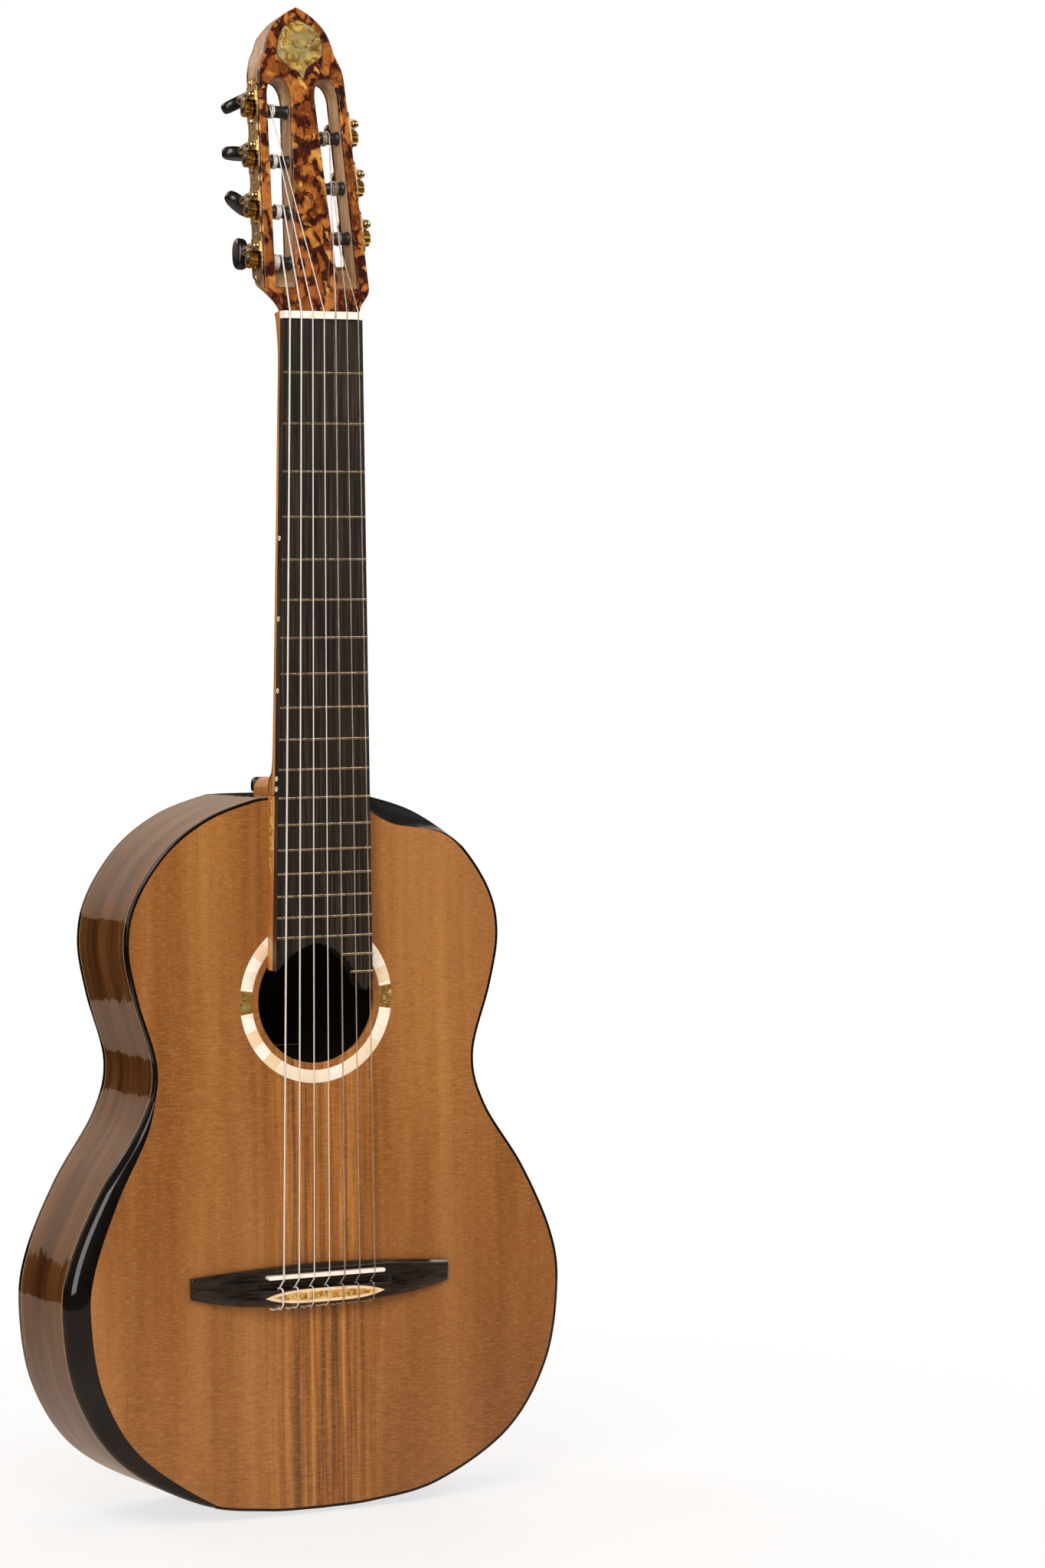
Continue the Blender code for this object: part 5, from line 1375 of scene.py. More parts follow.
@dataclass
class Body:
    """Soundboard, back, ribs, bindings, bevels, rosette and what shows inside."""

    edge: Edge = field(default_factory=Edge)
    depth_at_heel: float = 90.0 * MM
    depth_at_tail: float = 104.0 * MM
    arch_radius: float = 2000.0 * MM
    top_thick: float = 2.5 * MM
    back_thick: float = 2.8 * MM
    rib_thick: float = 2.2 * MM
    binding_width: float = 2.0 * MM
    binding_depth: float = 5.0 * MM
    hole_down: float = 139.8 * MM
    hole_radius: float = 43.5 * MM
    rosette: tuple[float, float] = (48.4 * MM, 57.3 * MM)
    armrest_downs: tuple[float, float] = (484.0 * MM, 203.0 * MM)
    armrest_width: float = 16.5 * MM
    armrest_drop: float = 11.0 * MM
    # Width of the cutaway's scoop along its length, wide beside the neck and out at the binding.
    cutaway_widths: tuple[float, ...] = (9.0, 11.5, 14.6, 13.0, 7.6, 3.2, 2.0)
    cutaway_start: float = 31.0 * MM
    cutaway_end_down: float = 37.0 * MM
    cutaway_drop: float = 13.0 * MM
    gap: float = 4.5 * MM
    # Places where the armrest and the cutaway start and end.
    armrest: tuple[float, float] = field(init=False)
    cutaway: tuple[float, float] = field(init=False)

    def build(self) -> None:
        """Make every piece of the body."""
        self.soundboard()
        self.rosette_ring()
        self.ribs()
        self.bindings()
        self.bevels()
        self.back()
        self.card()
        self.inner_wood()

    def back_at(self, across: float, down: float) -> float:
        """Depth of the back's outer face."""
        rise = (self.depth_at_tail - self.depth_at_heel) * down / self.edge.length
        return self.depth_at_heel + rise - across ** 2 / (2 * self.arch_radius)

    def __post_init__(self) -> None:
        """Work out once where the bevels run."""
        self.armrest = tuple(self.edge.place_down(down, Side.BASS) for down in self.armrest_downs)
        end = self.edge.place_down(self.cutaway_end_down, Side.TREBLE)
        self.cutaway = (self.cutaway_start, end)

    def front_size(self, place: float) -> tuple[float, float, float]:
        """Black edge at a place: its width on the top, its drop down the rib, and its hollow.

        Args:
            place: Length along the edge.

        Returns:
            Width, drop, and -1 for a round bevel, 0 for plain binding or up to 1 for a scoop.
        """
        place = place % self.edge.round
        first, last = self.armrest
        if first < place < last:
            swell = max(sin(pi * (place - first) / (last - first)), 0.0)
            width = self.binding_width + (self.armrest_width - self.binding_width) * swell ** 0.8
            rise = (self.armrest_drop - self.binding_depth) * swell ** 0.6
            return width, self.binding_depth + rise, -1.0
        first, last = self.cutaway
        if first < place < last:
            share = (place - first) / (last - first)
            along = share * (len(self.cutaway_widths) - 1)
            widths = smooth([(width, 0.0) for width in self.cutaway_widths], 8)
            width = widths[round(along * 8)].x * MM
            rise = (self.cutaway_drop - self.binding_depth) * (1 - share) ** 0.7
            return width, self.binding_depth + rise, min((1 - share) / 0.3, 1.0)
        return self.binding_width, self.binding_depth, 0.0

    def round_places(self) -> list[float]:
        """Places once round the edge, without the last."""
        return self.edge.places(0.0, self.edge.round, self.gap)[:-1]

    def strip(
        self, name: str, places: Sequence[float], section: Callable[[float], Corners],
        closed: bool = False,
    ) -> Object:
        """A strip along the edge with a flow map of place and distance round its section.

        Args:
            name: Name of the piece.
            places: Lengths along the edge.
            section: Gives (inset, depth, measured from the back) points at a place.
            closed: Join the end to the start.

        Returns:
            The new object.
        """
        rings = []
        for place in places:
            ring = []
            for inset, depth, from_back in section(place):
                point = self.edge.inward(place, inset)
                if from_back:
                    depth = self.back_at(point.x, point.y) - depth
                ring.append((point.x, depth, -point.y))
            rings.append(ring)
        reached = [*places, places[-1] + self.gap]
        obj = loft(
            name, rings, BODY_FRAME, closed, lambda row, column, point: (reached[row], point.y)
        )
        return soften(obj)

    def soundboard(self) -> None:
        """Top with the rosette's channel and a rounded edge at the hole."""
        inner, outer = self.rosette
        places = self.round_places()
        edge = [self.edge.inward(p, self.front_size(p)[0] + SEAT) for p in places]
        centre = Vector((0.0, self.hole_down))
        angles = [atan2(point.x, point.y - centre.y) for point in edge]
        soft, play, channel = 0.5 * MM, 0.05 * MM, 1.0 * MM
        profile = [
            (outer + play, 0.0), (outer + play, channel), (inner - play, channel),
            (inner - play, 0.0), (self.hole_radius + soft, 0.0),
            (self.hole_radius + soft * 0.3, soft * 0.3), (self.hole_radius, soft),
            (self.hole_radius, self.top_thick),
        ]
        rings = [[(point.x, 0.0, -point.y) for point in edge]]
        for radius, depth in profile:
            rings.append(
                [(radius * sin(a), depth, -centre.y - radius * cos(a)) for a in angles]
            )
        rings.append([(point.x, self.top_thick, -point.y) for point in edge])
        top = loft("soundboard_top", rings, BODY_FRAME, closed=True)
        place_piece(soften(top), CEDAR_TOP, "soundboard")

    def rosette_ring(self) -> None:
        """Ring of cream blocks with a brown block at each side."""
        inner, outer = self.rosette
        steps = 224
        rim = 0.1 * MM
        section = [(inner, 0.9), (inner, 0.0), (inner + rim, -0.06)]
        section += [(outer - rim, -0.06), (outer, 0.0), (outer, 0.9)]
        rings = []
        for i in range(steps):
            x, z = cos(tau * i / steps), sin(tau * i / steps)
            rings.append([(r * x, depth * MM, r * z - self.hole_down) for r, depth in section])
        ring = loft(
            "rosette_ring", rings, BODY_FRAME, True, lambda row, column, point: (row / steps, 0.5)
        )
        place_piece(soften(ring), IVORY, "rosette")
        half = radians(8.5)
        for side in Side:
            middle = 0.0 if side is Side.TREBLE else pi
            arc = [middle + half * (2 * i / 16 - 1) for i in range(17)]
            outline = [(outer * cos(a), outer * sin(a) - self.hole_down) for a in arc]
            outline += [
                (inner * cos(a), inner * sin(a) - self.hole_down) for a in reversed(arc)
            ]
            block = slab(
                f"rosette_block_{side.name.lower()}", [outline], "Y", (-0.1 * MM, -SEAT),
                BODY_FRAME,
            )
            place_piece(block, BLOCK_AMBER)

    def ribs(self) -> None:
        """The two sides, and the fine pale lines along their edges."""
        half = self.edge.round / 2

        def wall(place: float) -> Corners:
            """Outer and inner face of a rib."""
            drop = self.front_size(place)[1] + SEAT
            back = self.binding_depth + SEAT
            inner = self.rib_thick
            return [
                (0.0, drop, False), (0.0, back, True), (inner, back, True), (inner, drop, False),
            ]

        start, joint = 8.0 * MM, 0.15 * MM
        treble = self.edge.places(start, half - joint, self.gap)
        bass = self.edge.places(half + joint, self.edge.round - start, self.gap)
        for name, places, node in (
            ("rib_wall_treble", treble, "rib_treble"), ("rib_wall_bass", bass, "rib_bass"),
        ):
            place_piece(self.strip(name, places, wall), RIB_WOOD, node)

        def line(from_back: bool) -> Callable[[float], Corners]:
            """Section of a fine line beside a binding, barely proud of the rib."""

            def section(place: float) -> Corners:
                """Corners of the line."""
                near = self.binding_depth if from_back else self.front_size(place)[1]
                far = near + 0.55 * MM
                proud, inner = -0.04 * MM, 0.4 * MM
                return [
                    (proud, near, from_back), (proud, far, from_back), (inner, far, from_back),
                    (inner, near, from_back),
                ]

            return section

        start = 34.0 * MM
        places = self.edge.places(start, self.edge.round - start, self.gap)
        for name, from_back in (("side_line_front", False), ("side_line_back", True)):
            place_piece(self.strip(name, places, line(from_back)), FINE_LINE)

    def bindings(self) -> None:
        """Black binding with a rounded corner, in its three lengths."""
        width, depth = self.binding_width, self.binding_depth
        soft = 0.5 * MM

        def section(from_back: bool) -> Callable[[float], Corners]:
            """Corners of the strip."""
            corners = [(0.0, depth), (0.0, soft), (soft * 0.12, soft * 0.5)]
            corners += [(soft * 0.5, soft * 0.12), (soft, 0.0), (width, 0.0), (width, depth)]
            return lambda place: [(inset, down, from_back) for inset, down in corners]

        lengths = (
            ("binding_bass", self.armrest[1], self.edge.round + self.cutaway[0]),
            ("binding_treble", self.cutaway[1], self.armrest[0]),
        )
        for name, first, last in lengths:
            strip = self.strip(name, self.edge.places(first, last, self.gap), section(False))
            place_piece(strip, BLACK, name.replace("binding", "binding_front"))
        back = self.strip("binding_of_back", self.round_places(), section(True), closed=True)
        place_piece(back, BLACK, "binding_back")

    def bevels(self) -> None:
        """Round armrest and hollow cutaway scoop."""
        steps = 14

        def section(place: float) -> Corners:
            """Face from the soundboard to the rib, and the underside."""
            width, drop, hollow = self.front_size(place)
            face = []
            for i in range(steps + 1):
                share = i / steps
                angle = pi / 2 * share
                if hollow < 0:
                    face.append((width * (1 - sin(angle)), drop * (1 - cos(angle))))
                else:
                    scoop = Vector((1 - share, 1 - (1 - share) ** 1.82))
                    corner = Vector(
                        (1 - sin(angle) ** 0.3, 1 - max(cos(angle), 0.0) ** 0.3)
                    )
                    at = corner.lerp(scoop, hollow)
                    face.append((width * at.x, drop * at.y))
            under = [(0.0, drop), (width * 0.4, drop), (width, min(4.0 * MM, drop))]
            return [(inset, depth, False) for inset, depth in [*face[:-1], *under]]

        for name, (first, last), node, finish in (
            ("armrest_rounded", self.armrest, "armrest_bevel", BLACK),
            ("cutaway_scoop", self.cutaway, "cutaway_bevel", SATIN_BLACK),
        ):
            places = self.edge.places(first + SEAT, last - SEAT, self.gap * 0.7)
            place_piece(self.strip(name, places, section), finish, node)

    def back(self) -> None:
        """Arched back in rows from edge to edge."""
        columns = 24
        inset = self.binding_width + SEAT
        shoulder = self.edge.shoulder / 2
        rows = []
        for place in self.edge.places(shoulder, self.edge.round / 2 - 0.8 * MM, self.gap):
            point = self.edge.inward(place, inset)
            if not rows or point.y > rows[-1][1] + 0.1 * MM:
                rows.append((point.x, point.y))
        rings = []
        for half, down in rows:
            spots = [half * (2 * i / columns - 1) for i in range(columns + 1)]
            outer = [(x, self.back_at(x, down), -down) for x in spots]
            inner = [(x, self.back_at(x, down) - self.back_thick, -down) for x in reversed(spots)]
            rings.append(outer + inner)
        plate = loft("back_arched", rings, BODY_FRAME)
        place_piece(soften(plate), BACK_WOOD, "back_plate")
        # The inward faces of the back get the painted shade of the closed box.
        second_finish(plate, SHADED_INSIDE_WOOD, lambda face: face.normal.y < -0.2)

    def card(self) -> None:
        """Bare black card with a pale border, glued inside under the hole."""
        left, right, high, low = -34.0 * MM, 31.0 * MM, 104.0 * MM, 181.0 * MM
        margin = 2.0 * MM
        middle = (high + low) / 2
        inside = self.back_at(0.0, middle) - self.back_thick
        lift = (self.depth_at_tail - self.depth_at_heel) / self.edge.length
        lean = Matrix.Translation((0.0, inside, -middle)) @ Matrix.Rotation(lift, 4, "X")
        place = BODY_FRAME @ lean
        half = (low - high) / 2

        def frame_of(shrink: float) -> list[tuple[float, float]]:
            """Corners of the card, drawn in by a margin."""
            return [
                (left + shrink, -half + shrink), (right - shrink, -half + shrink),
                (right - shrink, half - shrink), (left + shrink, half - shrink),
            ]

        sheet = slab("inside_card", [frame_of(0.0)], "Y", (-0.9 * MM, -0.4 * MM), place)
        place_piece(sheet, CARD)
        line = slab(
            "inside_card_line", [frame_of(margin), frame_of(margin + 0.5 * MM)], "Y",
            (-0.96 * MM, -0.88 * MM), place,
        )
        place_piece(line, CARD_EDGE)

    def inner_wood(self) -> None:
        """Braces and tail block keep their CAD shapes in raw spruce."""
        nodes = ["harmonic_bar", "tail_block"]
        nodes += [f"fan_brace_{i}" for i in range(1, 6)]
        nodes += [f"back_brace_{i}" for i in range(1, 4)]
        for node in nodes:
            dress_node(node, SPRUCE)


# Neck and fingerboard


@dataclass
class Neck:
    """Fingerboard with its frets and nut, the shaft and heel behind it, and the heel cap."""

    nut_half: float = 29.5 * MM
    widening: float = 0.016308
    board_thick: float = 6.0 * MM
    scale_length: float = 650.0 * MM
    fret_half_width: float = 1.05 * MM
    foot_half: float = 30.0 * MM
    foot_length: float = 42.0 * MM
    # Share of the board's half width, and distance past the body joint, round its end.
    board_end_shape: tuple[tuple[float, float], ...] = (
        (0.99, 127.0), (0.84, 133.4), (0.71, 129.0), (0.48, 112.8), (-0.06, 100.0), (-0.58, 105.0),
        (-0.99, 118.0),
    )
    # Frets past the body that reach over the treble side only, with where they start.
    short_frets: tuple[tuple[int, float], ...] = ((19, 13.0), (20, 19.0))
    full_frets: int = 18
    side_marks: tuple[tuple[int, tuple[float, ...]], ...] = (
        (5, (0.0,)), (7, (0.0,)), (9, (0.0,)), (12, (-3.5, 3.5)),
    )

    def build(self) -> None:
        """Make every piece of the neck."""
        self.fingerboard()
        self.frets()
        self.side_rings()
        self.nut()
        self.shaft()
        self.extension()
        self.foot()
        self.heel_cap()

    def half(self, down: float) -> float:
        """Half width of the fingerboard at a distance below the nut."""
        return self.nut_half + self.widening * down

    def fret_z(self, number: float) -> float:
        """Height of a fret."""
        return -self.scale_length * (1 - 2 ** (-number / 12))

    def board_end(self) -> list[tuple[float, float]]:
        """Scalloped end of the board, from the treble side to the bass side.

        Returns:
            Points (across, height).
        """
        points = []
        for share, past in self.board_end_shape:
            down = BODY_JOINT + past * MM
            points.append((share * self.half(down), -down))
        first, rest = points[:2], points[1:]
        curve = [Vector(first[0])] + smooth(rest, 6)
        return [(point.x, point.y) for point in curve]

    def fingerboard(self) -> None:
        """Ebony board with softened edges."""
        top = self.nut_half - 0.05 * MM
        outline = [(-top, -0.35 * MM), (top, -0.35 * MM), *self.board_end()]
        board = slab("fingerboard_ebony", [outline], "Y", (0.0, self.board_thick))
        place_piece(soften(board, 0.5 * MM, 2, 40.0), BOARD_EBONY, "fingerboard")

    def frets(self) -> None:
        """Domed wires, full ones up to the last and short ones on the treble side."""
        wires = Repeat("fret_wires", FRET_WIRE, (("Half width", self.fret_half_width),), fret_shape)
        points, turns, sizes = [], [], []
        spans = [(number, None) for number in range(1, self.full_frets + 1)]
        spans += [(number, start * MM) for number, start in self.short_frets]
        for number, start in spans:
            z = self.fret_z(number)
            reach = self.half(-z) - 0.35 * MM
            low = -reach if start is None else start
            points.append(((low + reach) / 2, 0.25 * MM, z))
            turns.append((0.0, 0.0, 0.0))
            sizes.append((reach - low, 1.0, 1.0))
        made = wires.over("fret_wires", points, turns, sizes)
        place_piece(soften(made, angle=50.0), FRET_WIRE)

    def side_rings(self) -> None:
        """Pale rings in the board's bass edge that mark the positions."""
        rings = []
        for number, offsets in self.side_marks:
            middle = (self.fret_z(number) + self.fret_z(number - 1)) / 2
            for offset in offsets:
                z = middle + offset * MM
                x = -self.half(-z) - 0.03 * MM
                outer = circle(1.7 * MM, 24, (3.0 * MM, z))
                inner = circle(1.05 * MM, 24, (3.0 * MM, z))
                rings.append(slab("ring", [outer, inner], "X", (x, x + 0.4 * MM)))
        place_piece(joined("side_rings", rings), BONE)

    def nut(self) -> None:
        """The CAD nut with rounded edges."""
        nut = copy_of("nut", "nut_bone")
        place_piece(soften(nut, 0.35 * MM, 2, 40.0), BONE, "nut")

    def shaft(self) -> None:
        """Shaft and heel in one smooth skin.

        Each ring is half an oval between a base, which runs down under the board and then
        back along the body, and an apex on the neck's side view.
        """
        under = self.board_thick + SEAT
        slope = tan(radians(-10.0))
        # Base and apex as (depth, height), half width and power of the oval.
        stations = [
            (0.0, 5.0, 16.7, 5.0 + slope * 16.7, 30.1, 4.0), (0.0, 0.0, 17.9, 0.0, 29.8, 3.2),
            (0.0, -8.0, 17.9, -8.0, None, 2.8), (0.0, -18.0, 15.8, -18.0, None, 2.5),
            (0.0, -32.0, 15.2, -32.0, None, 2.3), (0.0, -90.0, 15.7, -90.0, None, 2.3),
            (0.0, -180.0, 16.5, -180.0, None, 2.3), (0.0, -262.0, 17.2, -247.0, None, 2.3),
            (0.0, -285.0, 17.7, -267.0, None, 2.3), (0.0, -305.0, 18.6, -283.0, None, 2.3),
            (0.8, -321.0, 22.5, -295.5, 34.8, 2.35), (9.0, -325.0, 29.5, -304.5, 33.4, 2.4),
            (23.0, -325.3, 40.0, -310.3, 26.5, 2.4), (42.0, -325.8, 55.0, -313.5, 17.0, 2.4),
            (65.0, -326.3, 72.0, -315.2, 11.3, 2.4), (92.2, -326.5, 92.3, -315.6, 8.45, 2.4),
        ]
        bases = smooth([(b, z) for b, z, *_ in stations], 6)
        apexes = smooth([(depth, z) for _, _, depth, z, _, _ in stations], 6)
        halves = [half or self.half(-z * MM) / MM for _, z, _, _, half, _ in stations]
        widths = smooth([(half, power) for half, (*_, power) in zip(halves, stations)], 6)
        rings = []
        for base, apex, width in zip(bases, apexes, widths):
            start = Vector((0.0, under + max(base.x, 0.0) * MM, base.y * MM))
            reach = Vector((0.0, under + apex.x * MM, apex.y * MM)) - start
            ring = []
            for across, out in oval_arc(width.x * MM, 1.0, width.y, 30):
                spot = start + reach * out
                ring.append((across, spot.y, spot.z))
            rings.append(ring)
        neck = loft("neck_shaft_and_heel", rings)
        place_piece(soften(neck, angle=40.0), NECK_WOOD, "neck")

    def extension(self) -> None:
        """Neck wood between the board and the soundboard, with an amber drop in its side."""
        half = self.half(BODY_JOINT) - 0.1 * MM
        top = self.board_thick + SEAT
        outline = [(-half, -BODY_JOINT + 1.0 * MM), (half, -BODY_JOINT + 1.0 * MM)]
        outline += self.board_end()
        rings = []
        for seated in (False, True):
            ring = []
            for x, z in outline:
                floor = TOP_OVER_BOARD + (z + BODY_JOINT) * tan(-BODY_TILT)
                ring.append((x, floor if seated else top, z))
            rings.append(ring)
        wood = loft("board_extension", rings)
        place_piece(soften(wood, 0.3 * MM, 2, 40.0), NECK_WOOD)
        # The end under the board's curved end gets the board's ebony: painted shade, dark where the
        # board's end shades it.
        second_finish(wood, BOARD_EBONY, lambda face: face.normal.z < -0.1)
        high, low = -325.0 * MM, -378.0 * MM
        middle, half_width, steps = 10.6 * MM, 2.9 * MM, 16
        drop = []
        for i in range(2 * steps + 1):
            share = min(i, 2 * steps - i) / steps
            reach = half_width * sin(pi * share ** 0.62) ** 0.8 if 0 < share < 1 else 0.0
            drop.append((middle + (reach if i <= steps else -reach), low + (high - low) * share))
        x = -self.half(BODY_JOINT + 25.0 * MM)
        inlay = slab("amber_drop", [drop[:-1]], "X", (x - 0.25 * MM, x + 1.0 * MM))
        place_piece(inlay, TIE_AMBER)

    def foot(self) -> None:
        """Foot of the neck inside the body."""
        low, high = 2.9 * MM, 86.0 * MM
        near, far = -3.0 * MM, -3.0 * MM - self.foot_length
        half = self.foot_half
        outline = [(-half, near), (half, near), (half, far), (-half, far)]
        foot = slab("neck_foot", [outline], "Y", (low, high), BODY_FRAME)
        place_piece(soften(foot, 1.5 * MM), NECK_WOOD)

    def heel_cap(self) -> None:
        """The black cap with its edges rounded."""
        cap = copy_of("heel_cap", "heel_cap_black")
        place_piece(soften(cap, 2.4 * MM, 4), BLACK, "heel_cap")


# Head


HEAD_FRAME = (
    Matrix.Translation((0.0, 6.0 * MM, 5.0 * MM)) @ Matrix.Rotation(radians(-10.0), 4, "X")
)


@dataclass
class Head:
    """Slotted head: oiled core, amber plates on both faces and a slice of pale amber on each."""

    thick: float = 20.5 * MM
    plate: float = 2.5 * MM
    half_at_nut: float = 39.75 * MM
    taper: float = 0.0471
    slot_bottom: float = 14.0 * MM
    slot_top: float = 148.0 * MM
    slot_round: float = 15.0 * MM
    slot_ramp: float = 23.0 * MM
    slot_inner: tuple[float, float] = (16.0 * MM, 8.7 * MM)
    slot_outer: tuple[float, float] = (31.3 * MM, 27.0 * MM)
    # Heights of the shoulder and the tip, in millimetres.
    shoulder: float = 158.0
    tip: float = 212.3
    # Ears at the nut's end: half width and height at the front, then at the back.
    ears: tuple[tuple[float, float, float, float], ...] = (
        (30.6, 0.0, 20.0, 0.0), (30.8, 2.0, 20.8, 4.5), (32.5, 5.5, 24.5, 10.5),
        (36.0, 10.0, 31.0, 17.0), (38.6, 14.5, 37.6, 22.5),
    )
    # Edge points of the top: half width, height, and how far each climbs towards the back.
    crown: tuple[Point, ...] = (
        (31.6, 166.0, 4.0), (29.3, 173.5, 6.0), (26.3, 179.5, 6.0), (24.6, 186.0, 4.0),
        (22.3, 192.5, 2.0), (18.3, 199.0, 0.0), (12.8, 204.5, 0.0), (6.5, 209.0, 0.0),
    )
    medallion: tuple[tuple[float, float], ...] = (
        (0.0, 203.0), (-10.0, 198.0), (-15.5, 187.6), (-16.3, 177.5), (-9.0, 170.7), (-2.0, 166.8),
        (0.9, 162.3), (4.7, 170.0), (13.0, 176.0), (17.0, 180.6), (15.8, 192.0), (10.0, 199.0),
    )
    kite: tuple[tuple[float, float], ...] = (
        (0.0, 203.0), (-11.0, 195.0), (-14.0, 184.0), (-7.0, 172.0), (0.0, 163.0), (7.0, 172.0),
        (14.0, 184.0), (11.0, 195.0),
    )

    def build(self) -> None:
        """Make every piece of the head."""
        front = self.plate + 0.3 * MM
        back = self.thick - self.plate - 0.3 * MM
        core = self.slice_of("head_wood", front, back, 0.35 * MM)
        core = self.slotted(core)
        place_piece(soften(core, 0.4 * MM, 2, 40.0), HEAD_WOOD, "head_core")
        seam = self.slice_of("seam", self.plate, front, 0.5 * MM)
        back_seam = self.back_slice("seam", back, self.thick - self.plate)
        seam = joined("head_seams", [self.slotted(seam), back_seam])
        place_piece(soften(seam), SEAM_WOOD)
        plate = self.slotted(self.slice_of("head_face_amber", 0.0, self.plate, 0.5 * MM))
        place_piece(soften(plate, 0.9 * MM, 3, 35.0), AMBER, "head_front_plate")
        plate = self.back_slice("head_back_amber", self.thick - self.plate, self.thick)
        place_piece(soften(plate, 0.9 * MM, 3, 35.0), AMBER, "head_back_plate")
        self.slices()

    def slotted(self, part: Object) -> Object:
        """A part with both string slots taken out of it."""
        return cut(part, self.slots())

    def half(self, up: float) -> float:
        """Half width of the head where its sides are straight."""
        return self.half_at_nut - self.taper * up

    def edge(self, depth: float, bottom: float) -> list[tuple[float, float]]:
        """Outline at a depth, from its bottom right round to its bottom left.

        Args:
            depth: Depth behind the head's front.
            bottom: Height of the part's lower end.

        Returns:
            Points (across, up).
        """
        back = depth / self.thick
        ear = (18.0 + 8.5 * back) * MM
        low = []
        for half, up, half_back, up_back in self.ears:
            across = half + (half_back - half) * back
            low.append((across * MM, max(bottom, (up + (up_back - up) * back) * MM)))
        low.append((self.half(ear), ear))
        shoulder = self.shoulder * MM
        high = [(self.half(shoulder), shoulder)]
        high += [(half * MM, (up + climb * back) * MM) for half, up, climb in self.crown]
        high.append((0.0, self.tip * MM))
        right = [(p.x, p.y) for p in smooth(low, 5) + smooth(high, 5)]
        return right + [(-x, up) for x, up in reversed(right[:-1])]

    def slice_of(self, name: str, front: float, back: float, bottom: float) -> Object:
        """Part of the head between two depths.

        Args:
            name: Name of the object.
            front: Depth at which the part begins.
            back: Depth at which the part ends.
            bottom: Height of the part's lower end.

        Returns:
            The new object.
        """
        rings = []
        for depth in (front, back):
            rings.append([(x, depth, up) for x, up in self.edge(depth, bottom)])
        return loft(name, rings, HEAD_FRAME)

    def slot_edge(self, ends: tuple[float, float], up: float) -> float:
        """Distance of a slot's edge from the middle of the head."""
        share = (up - self.slot_bottom) / (self.slot_top - self.slot_bottom)
        return ends[0] + (ends[1] - ends[0]) * share

    def slots(self) -> Object:
        """Room of both string slots.

        Returns:
            The room, as a cutting tool.
        """
        centre = (self.slot_inner[1] + self.slot_outer[1]) / 2
        half = (self.slot_outer[1] - self.slot_inner[1]) / 2
        arch = oval_arc(half, self.slot_round, 2.2, 24)
        over = 3.0 * MM
        rooms = []
        for side in Side:
            rings = []
            for depth in (-over, self.thick + over):
                bottom = self.slot_bottom + self.slot_ramp * depth / self.thick
                ring = [
                    (self.slot_edge(self.slot_inner, bottom), bottom),
                    (self.slot_edge(self.slot_outer, bottom), bottom),
                    *[(centre + x, self.slot_top + up) for x, up in arch],
                ]
                rings.append([(side.value * x, depth, up) for x, up in ring])
            rooms.append(loft("room", rings, HEAD_FRAME))
        return joined("slots", rooms)

    def back_slice(self, name: str, front: float, back: float) -> Object:
        """Part of the back plate between two depths; it ends in a V over the neck.

        Args:
            name: Name of the object.
            front: Depth at which the part begins.
            back: Depth at which the part ends.

        Returns:
            The new object.
        """
        ears = 5 * len(self.ears)
        rings = []
        for depth in (front, back):
            edge = self.edge(depth, 0.0)
            ring = [(0.0, 1.0 * MM), *edge[ears:-ears]]
            rings.append([(x, depth, up) for x, up in ring])
        return self.slotted(loft(name, rings, HEAD_FRAME))

    def slices(self) -> None:
        """The pale slices let into the plates' upper ends."""
        soft = smooth([*self.medallion, self.medallion[0]], 5)[:-1]
        outline = mm(*soft)
        front = slab(
            "amber_slice_front", [outline], "Y", (-0.12 * MM, 0.6 * MM), HEAD_FRAME, 0.1 * MM
        )
        place_piece(front, PALE_AMBER)
        rim = slab(
            "amber_slice_rim",
            [[(x * 1.04, 182.0 * MM + (up - 182.0 * MM) * 1.035) for x, up in outline]], "Y",
            (-0.05 * MM, 0.5 * MM), HEAD_FRAME,
        )
        place_piece(rim, SEAM_WOOD)
        outline = mm(*self.kite)
        back = slab(
            "amber_slice_back", [outline], "Y", (self.thick - 0.6 * MM, self.thick + 0.12 * MM),
            HEAD_FRAME, 0.1 * MM,
        )
        place_piece(back, PALE_AMBER)


# Bridge


